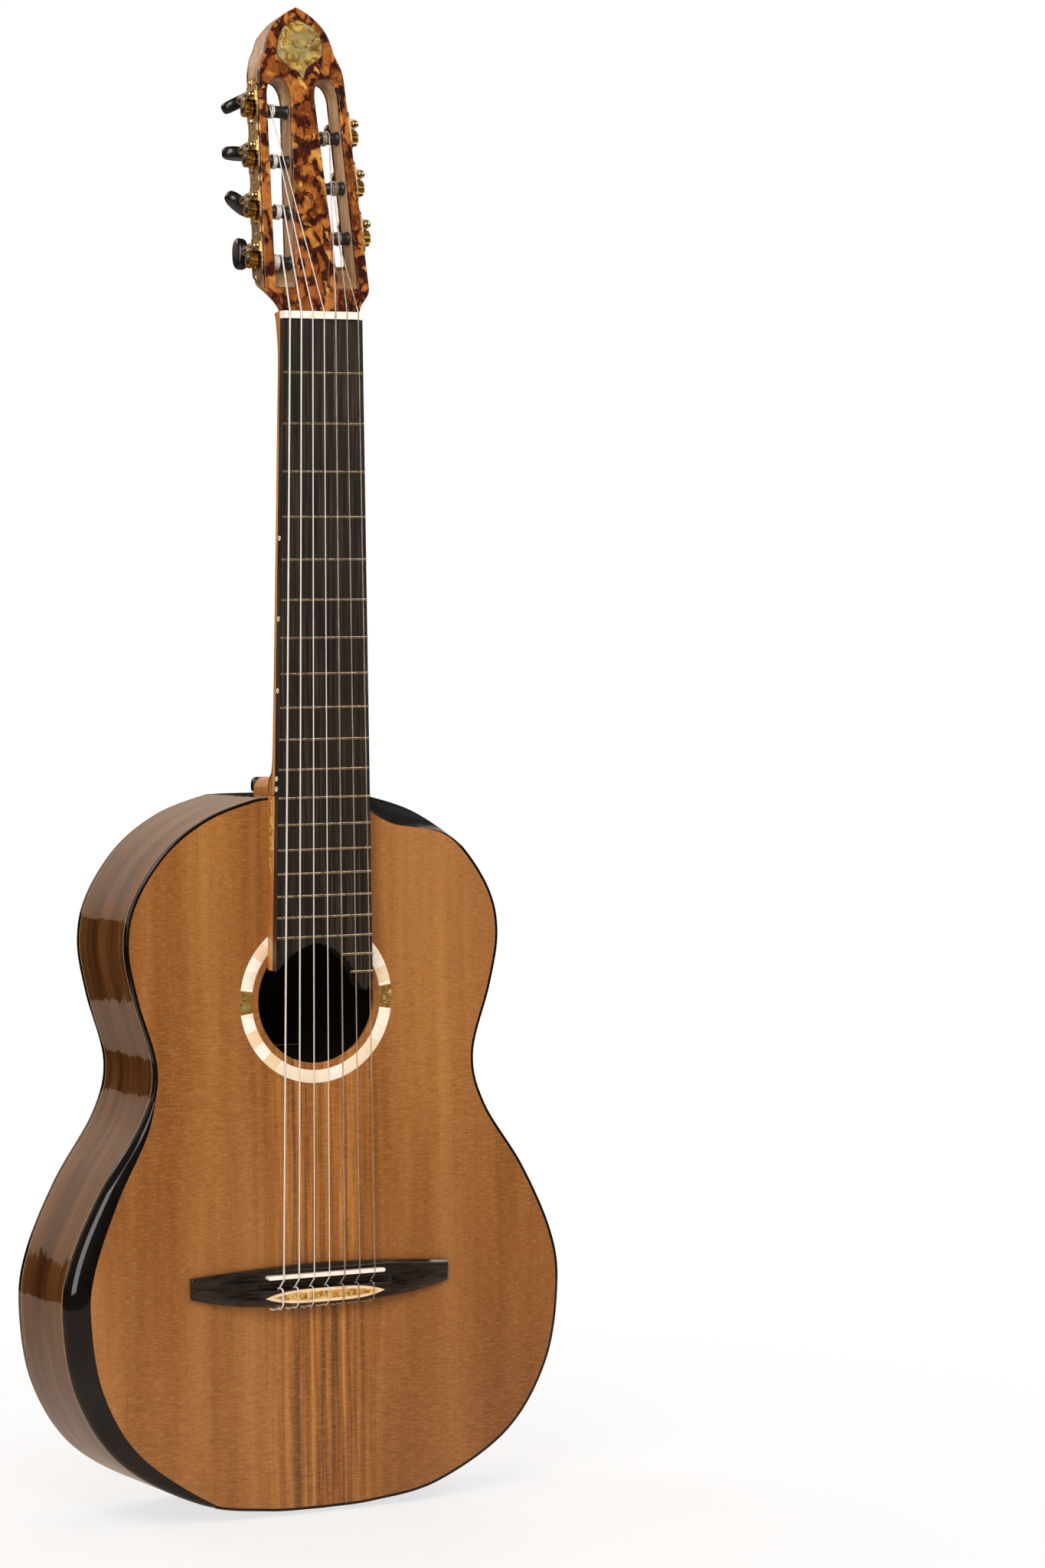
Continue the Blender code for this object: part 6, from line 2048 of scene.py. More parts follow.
@dataclass
class Bridge:
    """Bridge with faceted wings, the saddle, and the tie block with its pointed inlay."""

    from_joint: float = 320.0 * MM
    length: float = 194.0 * MM
    block_half: float = 46.5 * MM
    seat: float = 0.1 * MM
    saddle_from_edge: float = 7.5 * MM
    saddle_length: float = 88.6 * MM
    saddle_thick: float = 2.7 * MM
    saddle_top: float = 3.2 * MM
    scale_length: float = 650.0 * MM
    trim_length: float = 90.0 * MM
    trim_width: float = 9.4 * MM
    trim_middle: float = 21.75 * MM
    trim_height: float = 9.6 * MM
    # Distance from the top edge and height, at the block and at a wing's end.
    block_side: tuple[tuple[float, float], ...] = (
        (0.2, 0.0), (0.2, 5.0), (3.5, 8.5), (12.0, 8.5), (13.3, 4.6), (15.8, 4.6), (16.9, 9.3),
        (26.6, 9.3), (28.8, 5.6), (28.8, 0.0),
    )
    wing_side: tuple[tuple[float, float], ...] = (
        (5.0, 0.0), (5.0, 3.4), (7.4, 4.4), (9.6, 4.3), (11.4, 4.2), (13.0, 4.1), (14.8, 4.0),
        (17.0, 3.9), (19.5, 2.6), (19.5, 0.0),
    )
    # How far the front and the back edge draw in at the ends, and the power of each curve.
    front_curve: tuple[float, float] = (4.8, 1.6)
    back_curve: tuple[float, float] = (9.3, 3.0)
    # Share of a wing in which the string trough runs out.
    trough_end: float = 0.08

    def build(self) -> None:
        """Make every piece of the bridge."""
        self.wood()
        self.saddle()
        self.trim()

    def spot(self, across: float, from_edge: float, height: float) -> Vector:
        """A world point from places on the bridge."""
        local = Vector((across, -self.seat - height, -self.from_joint - from_edge))
        return BODY_FRAME @ local

    def edges_at(self, x: float) -> tuple[float, float]:
        """Front and back edge of the bridge at a place across, in millimetres.

        Args:
            x: Distance from the bridge's middle.

        Returns:
            The front edge and the back edge.
        """
        far = abs(x) / (self.length / 2)
        front = self.block_side[0][0] + self.front_curve[0] * far ** self.front_curve[1]
        back = self.block_side[-1][0] - self.back_curve[0] * far ** self.back_curve[1]
        return front, back

    def side_at(self, x: float) -> list[tuple[float, float]]:
        """Section of the bridge at a place across.

        Args:
            x: Distance from the bridge's middle.

        Returns:
            Points (down, height) round the section, in millimetres.
        """
        share = max(0.0, (abs(x) - self.block_half) / (self.length / 2 - self.block_half))
        front, back = self.edges_at(x)
        chamfer = 1.7
        ridge_front, ridge_back = self.block_side[3], self.block_side[6]
        filled = min(1.0, share / self.trough_end)
        section = []
        for (down, high), (end_down, end_high) in zip(self.block_side, self.wing_side):
            if ridge_front[0] < down < ridge_back[0]:
                part = (down - ridge_front[0]) / (ridge_back[0] - ridge_front[0])
                plane = ridge_front[1] + (ridge_back[1] - ridge_front[1]) * part
                high += (plane - high) * filled
            here = down + (end_down - down) * share
            section.append([here, high + (end_high - high) * share])
        section[0][0] = section[1][0] = front
        section[-1][0] = section[-2][0] = back
        section[2][0] = max(section[2][0], front + chamfer)
        section[-3][0] = min(section[-3][0], back - chamfer)
        return [(down, high) for down, high in section]

    def wood(self) -> None:
        """Block and wings in one faceted skin."""
        half = self.length / 2
        inside = [self.block_half * share for share in (0.0, 0.35, 0.7, 1.0)]
        steps = (self.trough_end, 0.25, 0.45, 0.62, 0.78, 0.9, 1.0)
        outside = [self.block_half + (half - self.block_half) * share for share in steps]
        spots = inside + outside
        rings = []
        for x in [-x for x in reversed(spots)] + spots[1:]:
            ring = [self.spot(x, down * MM, high * MM) for down, high in self.side_at(x)]
            rings.append([tuple(point) for point in ring])
        bridge = loft("bridge_ebony", rings)
        place_piece(soften(bridge, 0.4 * MM, 2, 20.0), BRIDGE_EBONY, "bridge")

    def saddle(self) -> None:
        """Bone saddle with round ends and a domed top."""
        half = self.saddle_length / 2
        round_end = self.saddle_thick / 2
        outline = []
        for side in (1, -1):
            for i in range(9):
                angle = pi * i / 8 - pi / 2
                x = side * (half - round_end + round_end * cos(angle))
                outline.append((x, side * round_end * sin(angle)))
        middle = -self.from_joint - self.saddle_from_edge
        outline = [(x, middle + z) for x, z in outline]
        world_top = Vector((0.0, -self.saddle_top, -self.scale_length - 2.5 * MM))
        top = (BODY_FRAME.inverted() @ world_top).y
        saddle = slab("saddle_bone", [outline], "Y", (top, -4.0 * MM), BODY_FRAME)
        place_piece(soften(saddle, 0.8 * MM, 3, 40.0), BONE, "saddle")

    def lens(self, shrink: float, low: float, high: float) -> list[tuple[float, float]]:
        """Pointed outline of the tie block's inlay between two places across.

        Args:
            shrink: Distance that the outline is drawn in.
            low: First place across.
            high: Second place across.

        Returns:
            Points (across, height) round the outline.
        """
        half = self.trim_length / 2 - shrink * 2.6
        width = self.trim_width / 2 - shrink
        steps = 20
        low, high = max(low, -half), min(high, half)
        xs = [low + (high - low) * i / steps for i in range(steps + 1)]
        upper = [(x, width * (1 - abs(x / half) ** 3.8)) for x in xs]
        middle = -self.from_joint - self.trim_middle
        ring = upper + [(x, -y) for x, y in reversed(upper)]
        kept = [ring[0]]
        for point in ring[1:]:
            if dist(point, kept[-1]) > 0.02 * MM and dist(point, kept[0]) > 0.02 * MM:
                kept.append(point)
        return [(x, middle + z) for x, z in kept]

    def trim(self) -> None:
        """Cream border, and amber panels with cream dividers inside it."""
        far = self.trim_length
        base, top = -self.seat - self.trim_height, -self.seat - self.trim_height - 0.5 * MM
        rim = 2.0 * MM
        border = slab(
            "tie_block_border", [self.lens(0.0, -far, far), self.lens(rim, -far, far)], "Y",
            (top, base + 0.4 * MM), BODY_FRAME,
        )
        place_piece(soften(border, 0.15 * MM, 2, 40.0), CREAM, "tie_block_trim")
        edges = [-39.8, -26.0, -13.5, -1.2, 11.5, 24.0, 35.0, 39.8]
        panels = []
        for low, high in zip(edges, edges[1:]):
            inset = 0.35 * MM
            outline = self.lens(rim, low * MM + inset, high * MM - inset)
            span = (top + 0.1 * MM, base + 0.4 * MM)
            panels.append(slab("panel", [outline], "Y", span, BODY_FRAME))
        place_piece(joined("tie_block_panels", panels), TIE_AMBER)
        bed = slab(
            "tie_block_bed", [self.lens(rim * 0.9, -far, far)], "Y",
            (base - 0.2 * MM, base + 0.5 * MM), BODY_FRAME,
        )
        place_piece(bed, CREAM)


# Strings


def wire(
    name: str, points: Sequence, radius: float, place: Matrix | None = None, sides: int = 10
) -> Object:
    """A round wire with a flow map: length along it, and turns round it.

    Args:
        name: Name of the object.
        points: Points along the wire.
        radius: Radius of the wire.
        place: Matrix that moves the mesh to its place.
        sides: Faces round the wire.

    Returns:
        The new object.
    """
    points = [Vector(point) for point in points]
    across = (points[1] - points[0]).normalized().orthogonal().normalized()
    rings, reached = [], [0.0]
    for i, point in enumerate(points):
        before, after = points[max(i - 1, 0)], points[min(i + 1, len(points) - 1)]
        heading = (after - before).normalized()
        across = (across - heading * across.dot(heading)).normalized()
        other = heading.cross(across)
        reached.append((point - before).length + reached[-1])
        rings.append([point + across * x + other * y for x, y in circle(radius, sides)])
    made = loft(
        name, rings, place, flow=lambda row, column, spot: (reached[row + 1], column / sides)
    )
    return soften(made, angle=60.0)


@dataclass
class Strings:
    """Seven strings: three of clear nylon on the treble side, four wound ones on the bass."""

    radii: tuple[float, ...] = (0.36, 0.41, 0.52, 0.38, 0.45, 0.57, 0.67)
    at_nut: float = 8.55 * MM
    at_saddle: float = 11.5 * MM
    saddle_shift: float = 1.5 * MM
    nut_action: float = 1.1 * MM
    saddle_top: float = 3.2 * MM
    nut_length: float = 5.0 * MM
    saddle_z: float = -652.5 * MM
    tie_height: float = 5.5 * MM
    nylon_count: int = 3

    def radius(self, number: int) -> float:
        """Radius of a string."""
        return self.radii[number - 1] * MM

    def saddle_x(self, number: int) -> float:
        """Place of a string across the saddle."""
        return (4 - number) * self.at_saddle + self.saddle_shift

    def finish(self, number: int) -> Finish:
        """Nylon for the thin strings, wound wire for the others."""
        return NYLON if number <= self.nylon_count else WIRE

    def run(self, number: int) -> list[Vector]:
        """Points from the nut over the saddle to the tie block.

        Args:
            number: String number.

        Returns:
            The points.
        """
        radius = self.radius(number)
        nut_x = (4 - number) * self.at_nut
        saddle_x = self.saddle_x(number)
        over_nut = -self.nut_action - radius
        over_saddle = -self.saddle_top - 0.05 * MM - radius
        return [
            Vector((nut_x, over_nut, self.nut_length)), Vector((nut_x, over_nut, 0.0)),
            Vector((saddle_x, over_saddle, self.saddle_z + 1.2 * MM)),
            Vector((saddle_x, over_saddle, self.saddle_z - 1.2 * MM)),
        ]

    def knot(self, number: int, bridge: Bridge) -> list[Vector]:
        """Points through the tie block, back over it and round the string in front.

        Args:
            number: String number.
            bridge: Bridge that holds the string.

        Returns:
            The points.
        """
        radius = self.radius(number)
        x = self.saddle_x(number)
        lean = 0.35
        tie, thick = self.tie_height / MM, radius / MM
        top = (bridge.trim_height + radius) / MM + 0.55
        # Across, down and height of the string as it goes through, back over and round itself.
        route = mm(
            (0.0, 15.9, tie), (0.0, 22.0, tie), (0.0, 28.6, tie), (0.2, 29.2 + thick, tie + 1.0),
            (0.9 * lean, 28.6 + thick, 7.8), (1.4 * lean, 26.6, top - 0.2),
            (1.6 * lean, 24.0, top), (1.6 * lean, 20.0, top), (1.4 * lean, 17.0, top - 0.1),
            (0.8 * lean, 15.9, top - 1.2), (0.0, 15.4, top - 2.4), (-1.5 * thick, 15.4, tie + 1.6),
            (-1.5 * thick, 16.0, tie + 0.3),
        )
        return [bridge.spot(x + across, down, height) for across, down, height in smooth(route, 3)]

    def loose_end(self, number: int, bridge: Bridge) -> Object:
        """The string's end, twisted along the back of the tie block.

        Args:
            number: String number.
            bridge: Bridge that holds the string.

        Returns:
            The new object.
        """
        radius = self.radius(number)
        x = self.saddle_x(number)
        points = []
        for i in range(25):
            share = i / 24
            angle = tau * 1.6 * share
            swing = 0.9 * MM * (1 - 0.4 * share)
            across = 1.5 * MM - 8.5 * MM * share
            down = 28.9 * MM + radius + swing * (1 + cos(angle)) / 2
            height = 4.6 * MM + swing * sin(angle) + 1.3 * MM * share
            points.append(bridge.spot(x + across, down, height))
        return wire(f"string_end_{number}", points, radius * 0.9, sides=8)


# Tuning machines


@dataclass
class TuningMachines:
    """Side plates, and for each string a roller with its gear, and a worm with its button."""

    head: Head
    strings: Strings
    bridge: Bridge
    treble: tuple[float, ...] = (54.0, 89.0, 124.0)
    bass: tuple[float, ...] = (36.5, 71.5, 106.5, 141.5)
    from_front: float = 9.5 * MM
    worm_x: float = 5.3 * MM
    centre_distance: float = 8.5 * MM
    roller_radius: float = 5.0 * MM
    roller_waist: float = 4.2 * MM
    roller_shaft: float = 3.0 * MM
    gear_inside: float = 2.6 * MM
    gear_width: float = 5.4 * MM
    gear_teeth: int = 16
    gear_outer: float = 5.9 * MM
    gear_root: float = 4.8 * MM
    tooth_pitch: float = 2.16 * MM
    worm_outer: float = 3.3 * MM
    worm_root: float = 2.2 * MM
    plate_half: float = 8.75 * MM
    plate_span: tuple[float, float] = (0.3 * MM, 1.5 * MM)
    wrap_angle: float = radians(100.0)
    turns: float = 3.1
    # Number, side, roller height, winding's place from the head's middle, button's rest angle.
    tuners: tuple[tuple[int, Side, float, float, float], ...] = (
        (1, Side.TREBLE, 54.0, 20.0, 40.0), (2, Side.TREBLE, 89.0, 20.0, 30.0),
        (3, Side.TREBLE, 124.0, 20.0, 15.0), (4, Side.BASS, 141.5, 23.0, -28.0),
        (5, Side.BASS, 106.5, 19.0, 0.0), (6, Side.BASS, 71.5, 18.5, 37.0),
        (7, Side.BASS, 36.5, 22.4, 90.0),
    )

    def build(self) -> None:
        """Make both sides and every string with them."""
        for side in Side:
            self.plate(side)
            self.bearings(side)
        for number, side, up, middle, rest in self.tuners:
            self.string(number, side, up * MM, middle * MM)
            self.roller(number, side, up * MM, middle * MM)
            self.worm(number, side, up * MM)
            self.button(number, side, up * MM, rest)

    def lean(self) -> float:
        """Angle of the head's side to its middle."""
        return atan(self.head.taper)

    def side_frame(self, side: Side) -> Matrix:
        """Frame on the head's side: X outward, Y to the back.

        Args:
            side: Side of the head.

        Returns:
            The frame.
        """
        lean = self.lean()
        outward = Vector((side.value * cos(lean), 0.0, sin(lean)))
        backward = Vector((0.0, 1.0, 0.0))
        turn = Matrix((outward, backward, outward.cross(backward))).transposed().to_4x4()
        spot = Matrix.Translation((side.value * self.head.half_at_nut, self.from_front, 0.0))
        return HEAD_FRAME @ spot @ turn

    def along(self, up: float) -> float:
        """Length along the head's side at a height."""
        return up / cos(self.lean())

    def roller_frame(self, side: Side, up: float) -> Matrix:
        """Frame of a roller, with its axis on X."""
        return self.side_frame(side) @ Matrix.Translation((0.0, 0.0, side.value * self.along(up)))

    def worm_frame(self, side: Side, up: float) -> Matrix:
        """Frame of a worm, with its axis on Y."""
        z = side.value * (self.along(up) + self.centre_distance)
        return self.side_frame(side) @ Matrix.Translation((self.worm_x, 0.0, z))

    def ends(self, up: float) -> tuple[float, float]:
        """Depths of a slot's outer and inner walls from the head's side.

        Args:
            up: Height of the roller.

        Returns:
            The outer depth and the inner depth.
        """
        half = self.head.half(up)
        outer = (half - self.head.slot_edge(self.head.slot_outer, up)) / cos(self.lean())
        inner = (half - self.head.slot_edge(self.head.slot_inner, up)) / cos(self.lean())
        return outer, inner

    def rollers_on(self, side: Side) -> tuple[float, ...]:
        """Heights of the rollers of a side."""
        return self.treble if side is Side.TREBLE else self.bass

    def plate(self, side: Side) -> None:
        """Plate with lobed ends, waists between the gears, cut-outs and screws.

        Args:
            side: Side of the head.
        """
        rollers = [self.along(up * MM) for up in self.rollers_on(side)]
        start = rollers[0] - 15.5 * MM
        end = rollers[-1] + self.centre_distance + 13.5 * MM
        half = self.plate_half
        middles = [
            (near + far + self.centre_distance) / 2 for near, far in zip(rollers, rollers[1:])
        ]
        # Share of the plate's half width, and distance from an end or from a middle.
        lobe = ((0.0, 0.0), (0.42, 0.9), (0.5, 3.4), (0.72, 4.6), (0.96, 7.6))
        waist = ((0.98, -7.5), (0.8, -4.2), (0.74, 0.0), (0.8, 4.2), (0.98, 7.5))
        profile = [(half * share, start + up * MM) for share, up in lobe]
        for middle in middles:
            profile += [(half * share, middle + up * MM) for share, up in waist]
        profile += [(half * share, end - up * MM) for share, up in reversed(lobe)]
        curve = [(p.x, p.y) for p in smooth(profile, 4)]
        outline = curve + [(-y, z) for y, z in reversed(curve[1:-1])]
        holes = [circle(self.roller_shaft + 0.4 * MM, 24, (0.0, z)) for z in rollers]
        screws = [start + 3.2 * MM, end - 3.2 * MM]
        for middle in middles:
            screws.append(middle + 5.2 * MM)
            holes.append(circle(0.8 * MM, 12, (0.0, middle + 1.6 * MM)))
            slit = oval_arc(0.45 * MM, 1.5 * MM, 2.0, 8)
            slit += [(x, -z) for x, z in reversed(slit[1:-1])]
            for y in (-2.2 * MM, 0.0, 2.2 * MM):
                holes.append([(y + x, middle - 2.6 * MM + z) for x, z in slit])
        flip = side.value
        outlines = [[(y, flip * z) for y, z in ring] for ring in [outline, *holes]]
        name = side.name.lower()
        plate = slab(f"side_plate_{name}", outlines, "X", self.plate_span, self.side_frame(side))
        place_piece(soften(plate, 0.3 * MM, 2, 40.0), GOLD, f"tuner_plate_{name}")
        tree = Repeat("plate_screws", GOLD, (("Head radius", 2.1 * MM),), screw_shape)
        points = [(self.plate_span[1] + 0.05 * MM, 0.0, flip * z) for z in screws]
        turns = [(0.5 + i, pi / 2, 0.0) for i in range(len(screws))]
        sizes = [(1.0, 1.0, 1.0)] * len(screws)
        made = tree.over(f"plate_screws_{name}", points, turns, sizes, self.side_frame(side))
        place_piece(soften(made, angle=35.0), GOLD)

    def bearings(self, side: Side) -> None:
        """Posts on the plate that hold the worms, each front one under a ball.

        Args:
            side: Side of the head.
        """
        frame_here = self.side_frame(side)
        swapped = Matrix(((1, 0, 0, 0), (0, 0, 1, 0), (0, 1, 0, 0), (0, 0, 0, 1)))
        posts = []
        for up in self.rollers_on(side):
            middle = side.value * (self.along(up * MM) + self.centre_distance)
            half = 3.2 * MM
            tab = [(0.9 * MM, middle + half * 1.15)]
            for across, reach in oval_arc(half, half, 2.0, 16):
                tab.append((self.worm_x + reach, middle + across))
            tab.append((0.9 * MM, middle - half * 1.15))
            bore = circle(1.8 * MM, 16, (self.worm_x, middle))
            for near, far in ((-7.0 * MM, -3.5 * MM), (4.3 * MM, 7.5 * MM)):
                post = slab("post", [tab, bore], "Z", (near, far))
                with edited(post.data) as bm:
                    bm.transform(swapped)
                    bmesh.ops.recalc_face_normals(bm, faces=bm.faces)
                    bm.transform(frame_here)
                posts.append(post)
        name = f"worm_posts_{side.name.lower()}"
        made = joined(name, posts)
        place_piece(soften(made, 0.45 * MM, 3, 40.0), GOLD)

    def wrap(
        self, number: int, side: Side, up: float, middle: float
    ) -> tuple[Matrix, float, float, float]:
        """Where a string meets its roller.

        Args:
            number: String number.
            side: Side of the head.
            up: Height of the roller.
            middle: Distance of the winding from the middle of the head.

        Returns:
            The roller's frame, the place along it, the turn's radius and its first angle.
        """
        x = -(self.head.half(up) - middle) / cos(self.lean())
        turn_radius = self.roller_waist + 0.1 * MM + self.strings.radius(number)
        frame_here = self.roller_frame(side, up)
        local = frame_here.inverted() @ self.strings.run(number)[0]
        forward, upward = -local.y, side.value * local.z
        reach = hypot(forward, upward)
        angle = atan2(upward, forward) + acos(turn_radius / reach)
        return frame_here, x, turn_radius, angle

    def on_roller(self, side: Side, x: float, radius: float, angle: float) -> Vector:
        """Point round a roller: the angle runs from its front, over the side of the tip."""
        return Vector((x, -radius * cos(angle), side.value * radius * sin(angle)))

    def string(self, number: int, side: Side, up: float, middle: float) -> None:
        """One string from its roller to its knot on the tie block.

        Args:
            number: String number.
            side: Side of the head.
            up: Height of the roller.
            middle: Distance of the winding from the middle of the head.
        """
        frame_here, x, turn_radius, angle = self.wrap(number, side, up, middle)
        points = []
        steps = 14
        for i in range(steps):
            turned_by = self.wrap_angle * (1 - i / (steps - 1))
            points.append(frame_here @ self.on_roller(side, x, turn_radius, angle + turned_by))
        points += self.strings.run(number)
        points += self.strings.knot(number, self.bridge)
        line = wire(f"string_line_{number}", points, self.strings.radius(number))
        place_piece(line, self.strings.finish(number), f"string_{number}")
        end = self.strings.loose_end(number, self.bridge)
        place_piece(end, self.strings.finish(number))

    def winding(self, number: int, side: Side, up: float, middle: float) -> Object:
        """The string's turns on its roller and its loose end.

        Args:
            number: String number.
            side: Side of the head.
            up: Height of the roller.
            middle: Distance of the winding from the middle of the head.

        Returns:
            The new object.
        """
        frame_here, x, turn_radius, angle = self.wrap(number, side, up, middle)
        radius = self.strings.radius(number)
        outer, inner = self.ends(up)
        inward = -1 if x + inner > -outer - x else 1
        pitch = 2 * radius + 0.12 * MM
        steps = 20
        points = []
        for i in range(round(self.turns * steps) + 1):
            share = i / steps
            place = x + inward * pitch * (1 + share)
            turned_by = angle + self.wrap_angle + tau * share
            points.append(self.on_roller(side, place, turn_radius, turned_by))
        place = x + inward * pitch * (1 + self.turns)
        last = angle + self.wrap_angle + tau * self.turns
        for i in range(1, 9):
            grow = i / 8
            points.append(
                self.on_roller(
                    side, place - inward * pitch * 2.4 * grow,
                    turn_radius + 2 * radius + 3.6 * MM * grow ** 1.5, last + 0.9 * grow,
                )
            )
        return wire(f"string_turns_{number}", points, radius, frame_here, sides=8)

    def roller(self, number: int, side: Side, up: float, middle: float) -> None:
        """Black roller, brass gear with its black centre, and the turns of string.

        Args:
            number: String number.
            side: Side of the head.
            up: Height of the roller.
            middle: Distance of the winding from the middle of the head.
        """
        body = f"roller_{number}"
        outer, inner = self.ends(up)
        frame_here = self.roller_frame(side, up)
        turn = Matrix.Rotation(pi / 2, 4, "Y")
        flare = 1.2 * MM
        waist, radius, shaft = self.roller_waist, self.roller_radius, self.roller_shaft
        end = self.gear_inside + self.gear_width
        tip, collar = end - 0.2 * MM, 0.3 * MM
        near, far = -outer - 0.9 * MM, -inner + 0.9 * MM
        foot, wall = -inner - 4.6 * MM, -inner + 0.45 * MM
        profile = [
            (0.0, tip), (shaft, tip), (shaft, -collar), (radius, -collar), (radius, near),
            (radius - 0.3 * MM, near - 0.4 * MM), (waist, near - 0.1 * MM - flare),
            (waist, far + 0.1 * MM + flare), (radius - 0.3 * MM, far + 0.4 * MM), (radius, far),
            (radius, wall), (shaft, wall), (shaft, foot), (0.0, foot),
        ]
        drum = turned(f"string_roller_{number}", profile, 36, frame_here @ turn)
        place_piece(soften(drum, angle=35.0), ROLLER_BLACK, f"tuner_roller_{number}", body=body)
        gear = self.gear(f"gear_{number}", side, frame_here)
        place_piece(gear, GEAR_BRASS, body=body)
        cap = ((0.0, 0.75), (1.6, 0.7), (2.9, 0.25), (3.3, -0.1), (3.3, -0.6), (0.0, -0.6))
        cap = [(across, end + out) for across, out in mm(*cap)]
        centre = turned(f"gear_centre_{number}", cap, 28, frame_here @ turn)
        place_piece(soften(centre, angle=40.0), ROLLER_BLACK, body=body)
        turns = self.winding(number, side, up, middle)
        place_piece(turns, self.strings.finish(number), body=body)

    def gear(self, name: str, side: Side, place: Matrix) -> Object:
        """Gear with leaning teeth that are hollow where the worm runs.

        Args:
            name: Name of the object.
            side: Side of the head.
            place: Frame of the roller.

        Returns:
            The finished gear.
        """
        step = tau / self.gear_teeth
        distance = self.centre_distance - self.gear_teeth * self.tooth_pitch / tau
        lean = self.tooth_pitch / tau / distance / (self.centre_distance - distance)
        rings = []
        layers = 7
        for layer in range(layers):
            share = layer / (layers - 1)
            x = self.gear_inside + self.gear_width * share
            # The teeth stand highest at both faces, as they are cut for the worm.
            dip = 0.35 * MM * sin(pi * share)
            chamfer = 0.25 * MM if layer in (0, layers - 1) else 0.0
            ring = []
            for tooth in range(self.gear_teeth):
                for offset, radius in (
                    (-0.30, self.gear_root), (-0.10, self.gear_root - 0.05 * MM),
                    (0.10, self.gear_root), (0.34, self.gear_outer - dip - chamfer - 0.1 * MM),
                    (0.50, self.gear_outer - dip - chamfer),
                    (0.60, self.gear_outer - dip - chamfer - 0.1 * MM),
                ):
                    angle = (tooth + offset) * step + lean * (x - self.worm_x)
                    y = -side.value * radius * sin(angle)
                    ring.append((x, y, side.value * radius * cos(angle)))
            rings.append(ring)
        gear = loft(name, rings, place)
        return soften(gear, angle=28.0)

    def worm(self, number: int, side: Side, up: float) -> None:
        """Steel worm with gold collars and a ball at its front end.

        Args:
            number: String number.
            side: Side of the head.
            up: Height of the roller.
        """
        body = f"button_{number}"
        facing = Matrix.Rotation(pi if side is Side.TREBLE else 0.0, 4, "Y")
        place = self.worm_frame(side, up) @ facing
        # The profile's height runs along Y, towards the button.
        stand = Matrix.Rotation(-pi / 2, 4, "X")
        root = self.worm_root / MM
        profile = mm(
            (0.0, 4.2), (1.6, 4.2), (root, 3.9), (root, -3.2), (1.6, -3.4), (1.6, -7.2),
            (0.0, -7.2),
        )
        core = turned(f"worm_shaft_{number}", profile, 28, place @ stand)
        steps = 24
        rings = []
        for i in range(-round(1.2 * steps), round(1.5 * steps) + 1):
            angle = tau * i / steps
            ring = []
            for offset in (-0.47, -0.22, 0.22, 0.47):
                radius = self.worm_outer if abs(offset) < 0.3 else self.worm_root - 0.1 * MM
                along = self.tooth_pitch * i / steps + offset * MM
                ring.append((radius * sin(angle), along, radius * cos(angle)))
            rings.append(ring)
        thread = loft("thread", rings, place)
        worm = joined(f"worm_{number}", [core, thread])
        place_piece(soften(worm, angle=30.0), STEEL, f"tuner_worm_{number}", body=body)
        ball = [(0.0, -9.3)]
        for i in range(1, 9):
            angle = pi * i / 9
            ball.append((2.4 * sin(angle), -9.3 + 1.1 * (1 - cos(angle))))
        ball = mm(*ball, (1.3, -7.1), (0.0, -7.1))
        collars = mm(
            (0.0, 7.5), (2.3, 7.6), (2.9, 8.0), (2.9, 8.7), (2.1, 9.2), (2.6, 9.9), (3.1, 10.5),
            (2.7, 11.2), (1.9, 11.8), (1.5, 16.8), (0.0, 16.8),
        )
        gold = [turned("gold", shape, 28, place @ stand) for shape in (ball, collars)]
        fittings = joined(f"worm_collars_{number}", gold)
        place_piece(soften(fittings, angle=40.0), GOLD, body=body)

    def button(self, number: int, side: Side, up: float, rest: float) -> None:
        """Black oval button with a small gold ball at its end.

        Args:
            number: String number.
            side: Side of the head.
            up: Height of the roller.
            rest: Angle at which the button rests, in degrees.
        """
        body = f"button_{number}"
        place = self.worm_frame(side, up) @ Matrix.Rotation(radians(rest), 4, "Y")
        half_long, half_short, start = 11.0 * MM, 6.5 * MM, 11.8 * MM
        middle = start + half_short
        near = oval_arc(half_long, half_short, 2.3, 24)
        rings = []
        thick = 4.0 * MM
        for i in range(9):
            angle = pi * (i / 8 - 0.5)
            inset = 1.0 - 0.34 * (1 - cos(angle)) ** 1.5
            z = thick * sin(angle)
            ring = [(x * inset, middle + y * inset, z) for x, y in near]
            ring += [(x * inset, middle - y * inset, z) for x, y in reversed(near[1:-1])]
            rings.append(ring)
        button = loft(f"button_oval_{number}", rings, place)
        place_piece(soften(button, angle=50.0), BUTTON_BLACK, f"tuner_button_{number}", body=body)
        stand = Matrix.Rotation(-pi / 2, 4, "X")
        end = start + 2 * half_short
        stud = mm((0.0, 0.35), (0.9, 0.2), (1.3, -0.25), (1.3, -1.2), (0.0, -1.2))
        stud = [(across, end + out) for across, out in stud]
        made = turned(f"button_stud_{number}", stud, 20, place @ stand)
        place_piece(soften(made, angle=50.0), GOLD, body=body)


# Floor, lights and camera


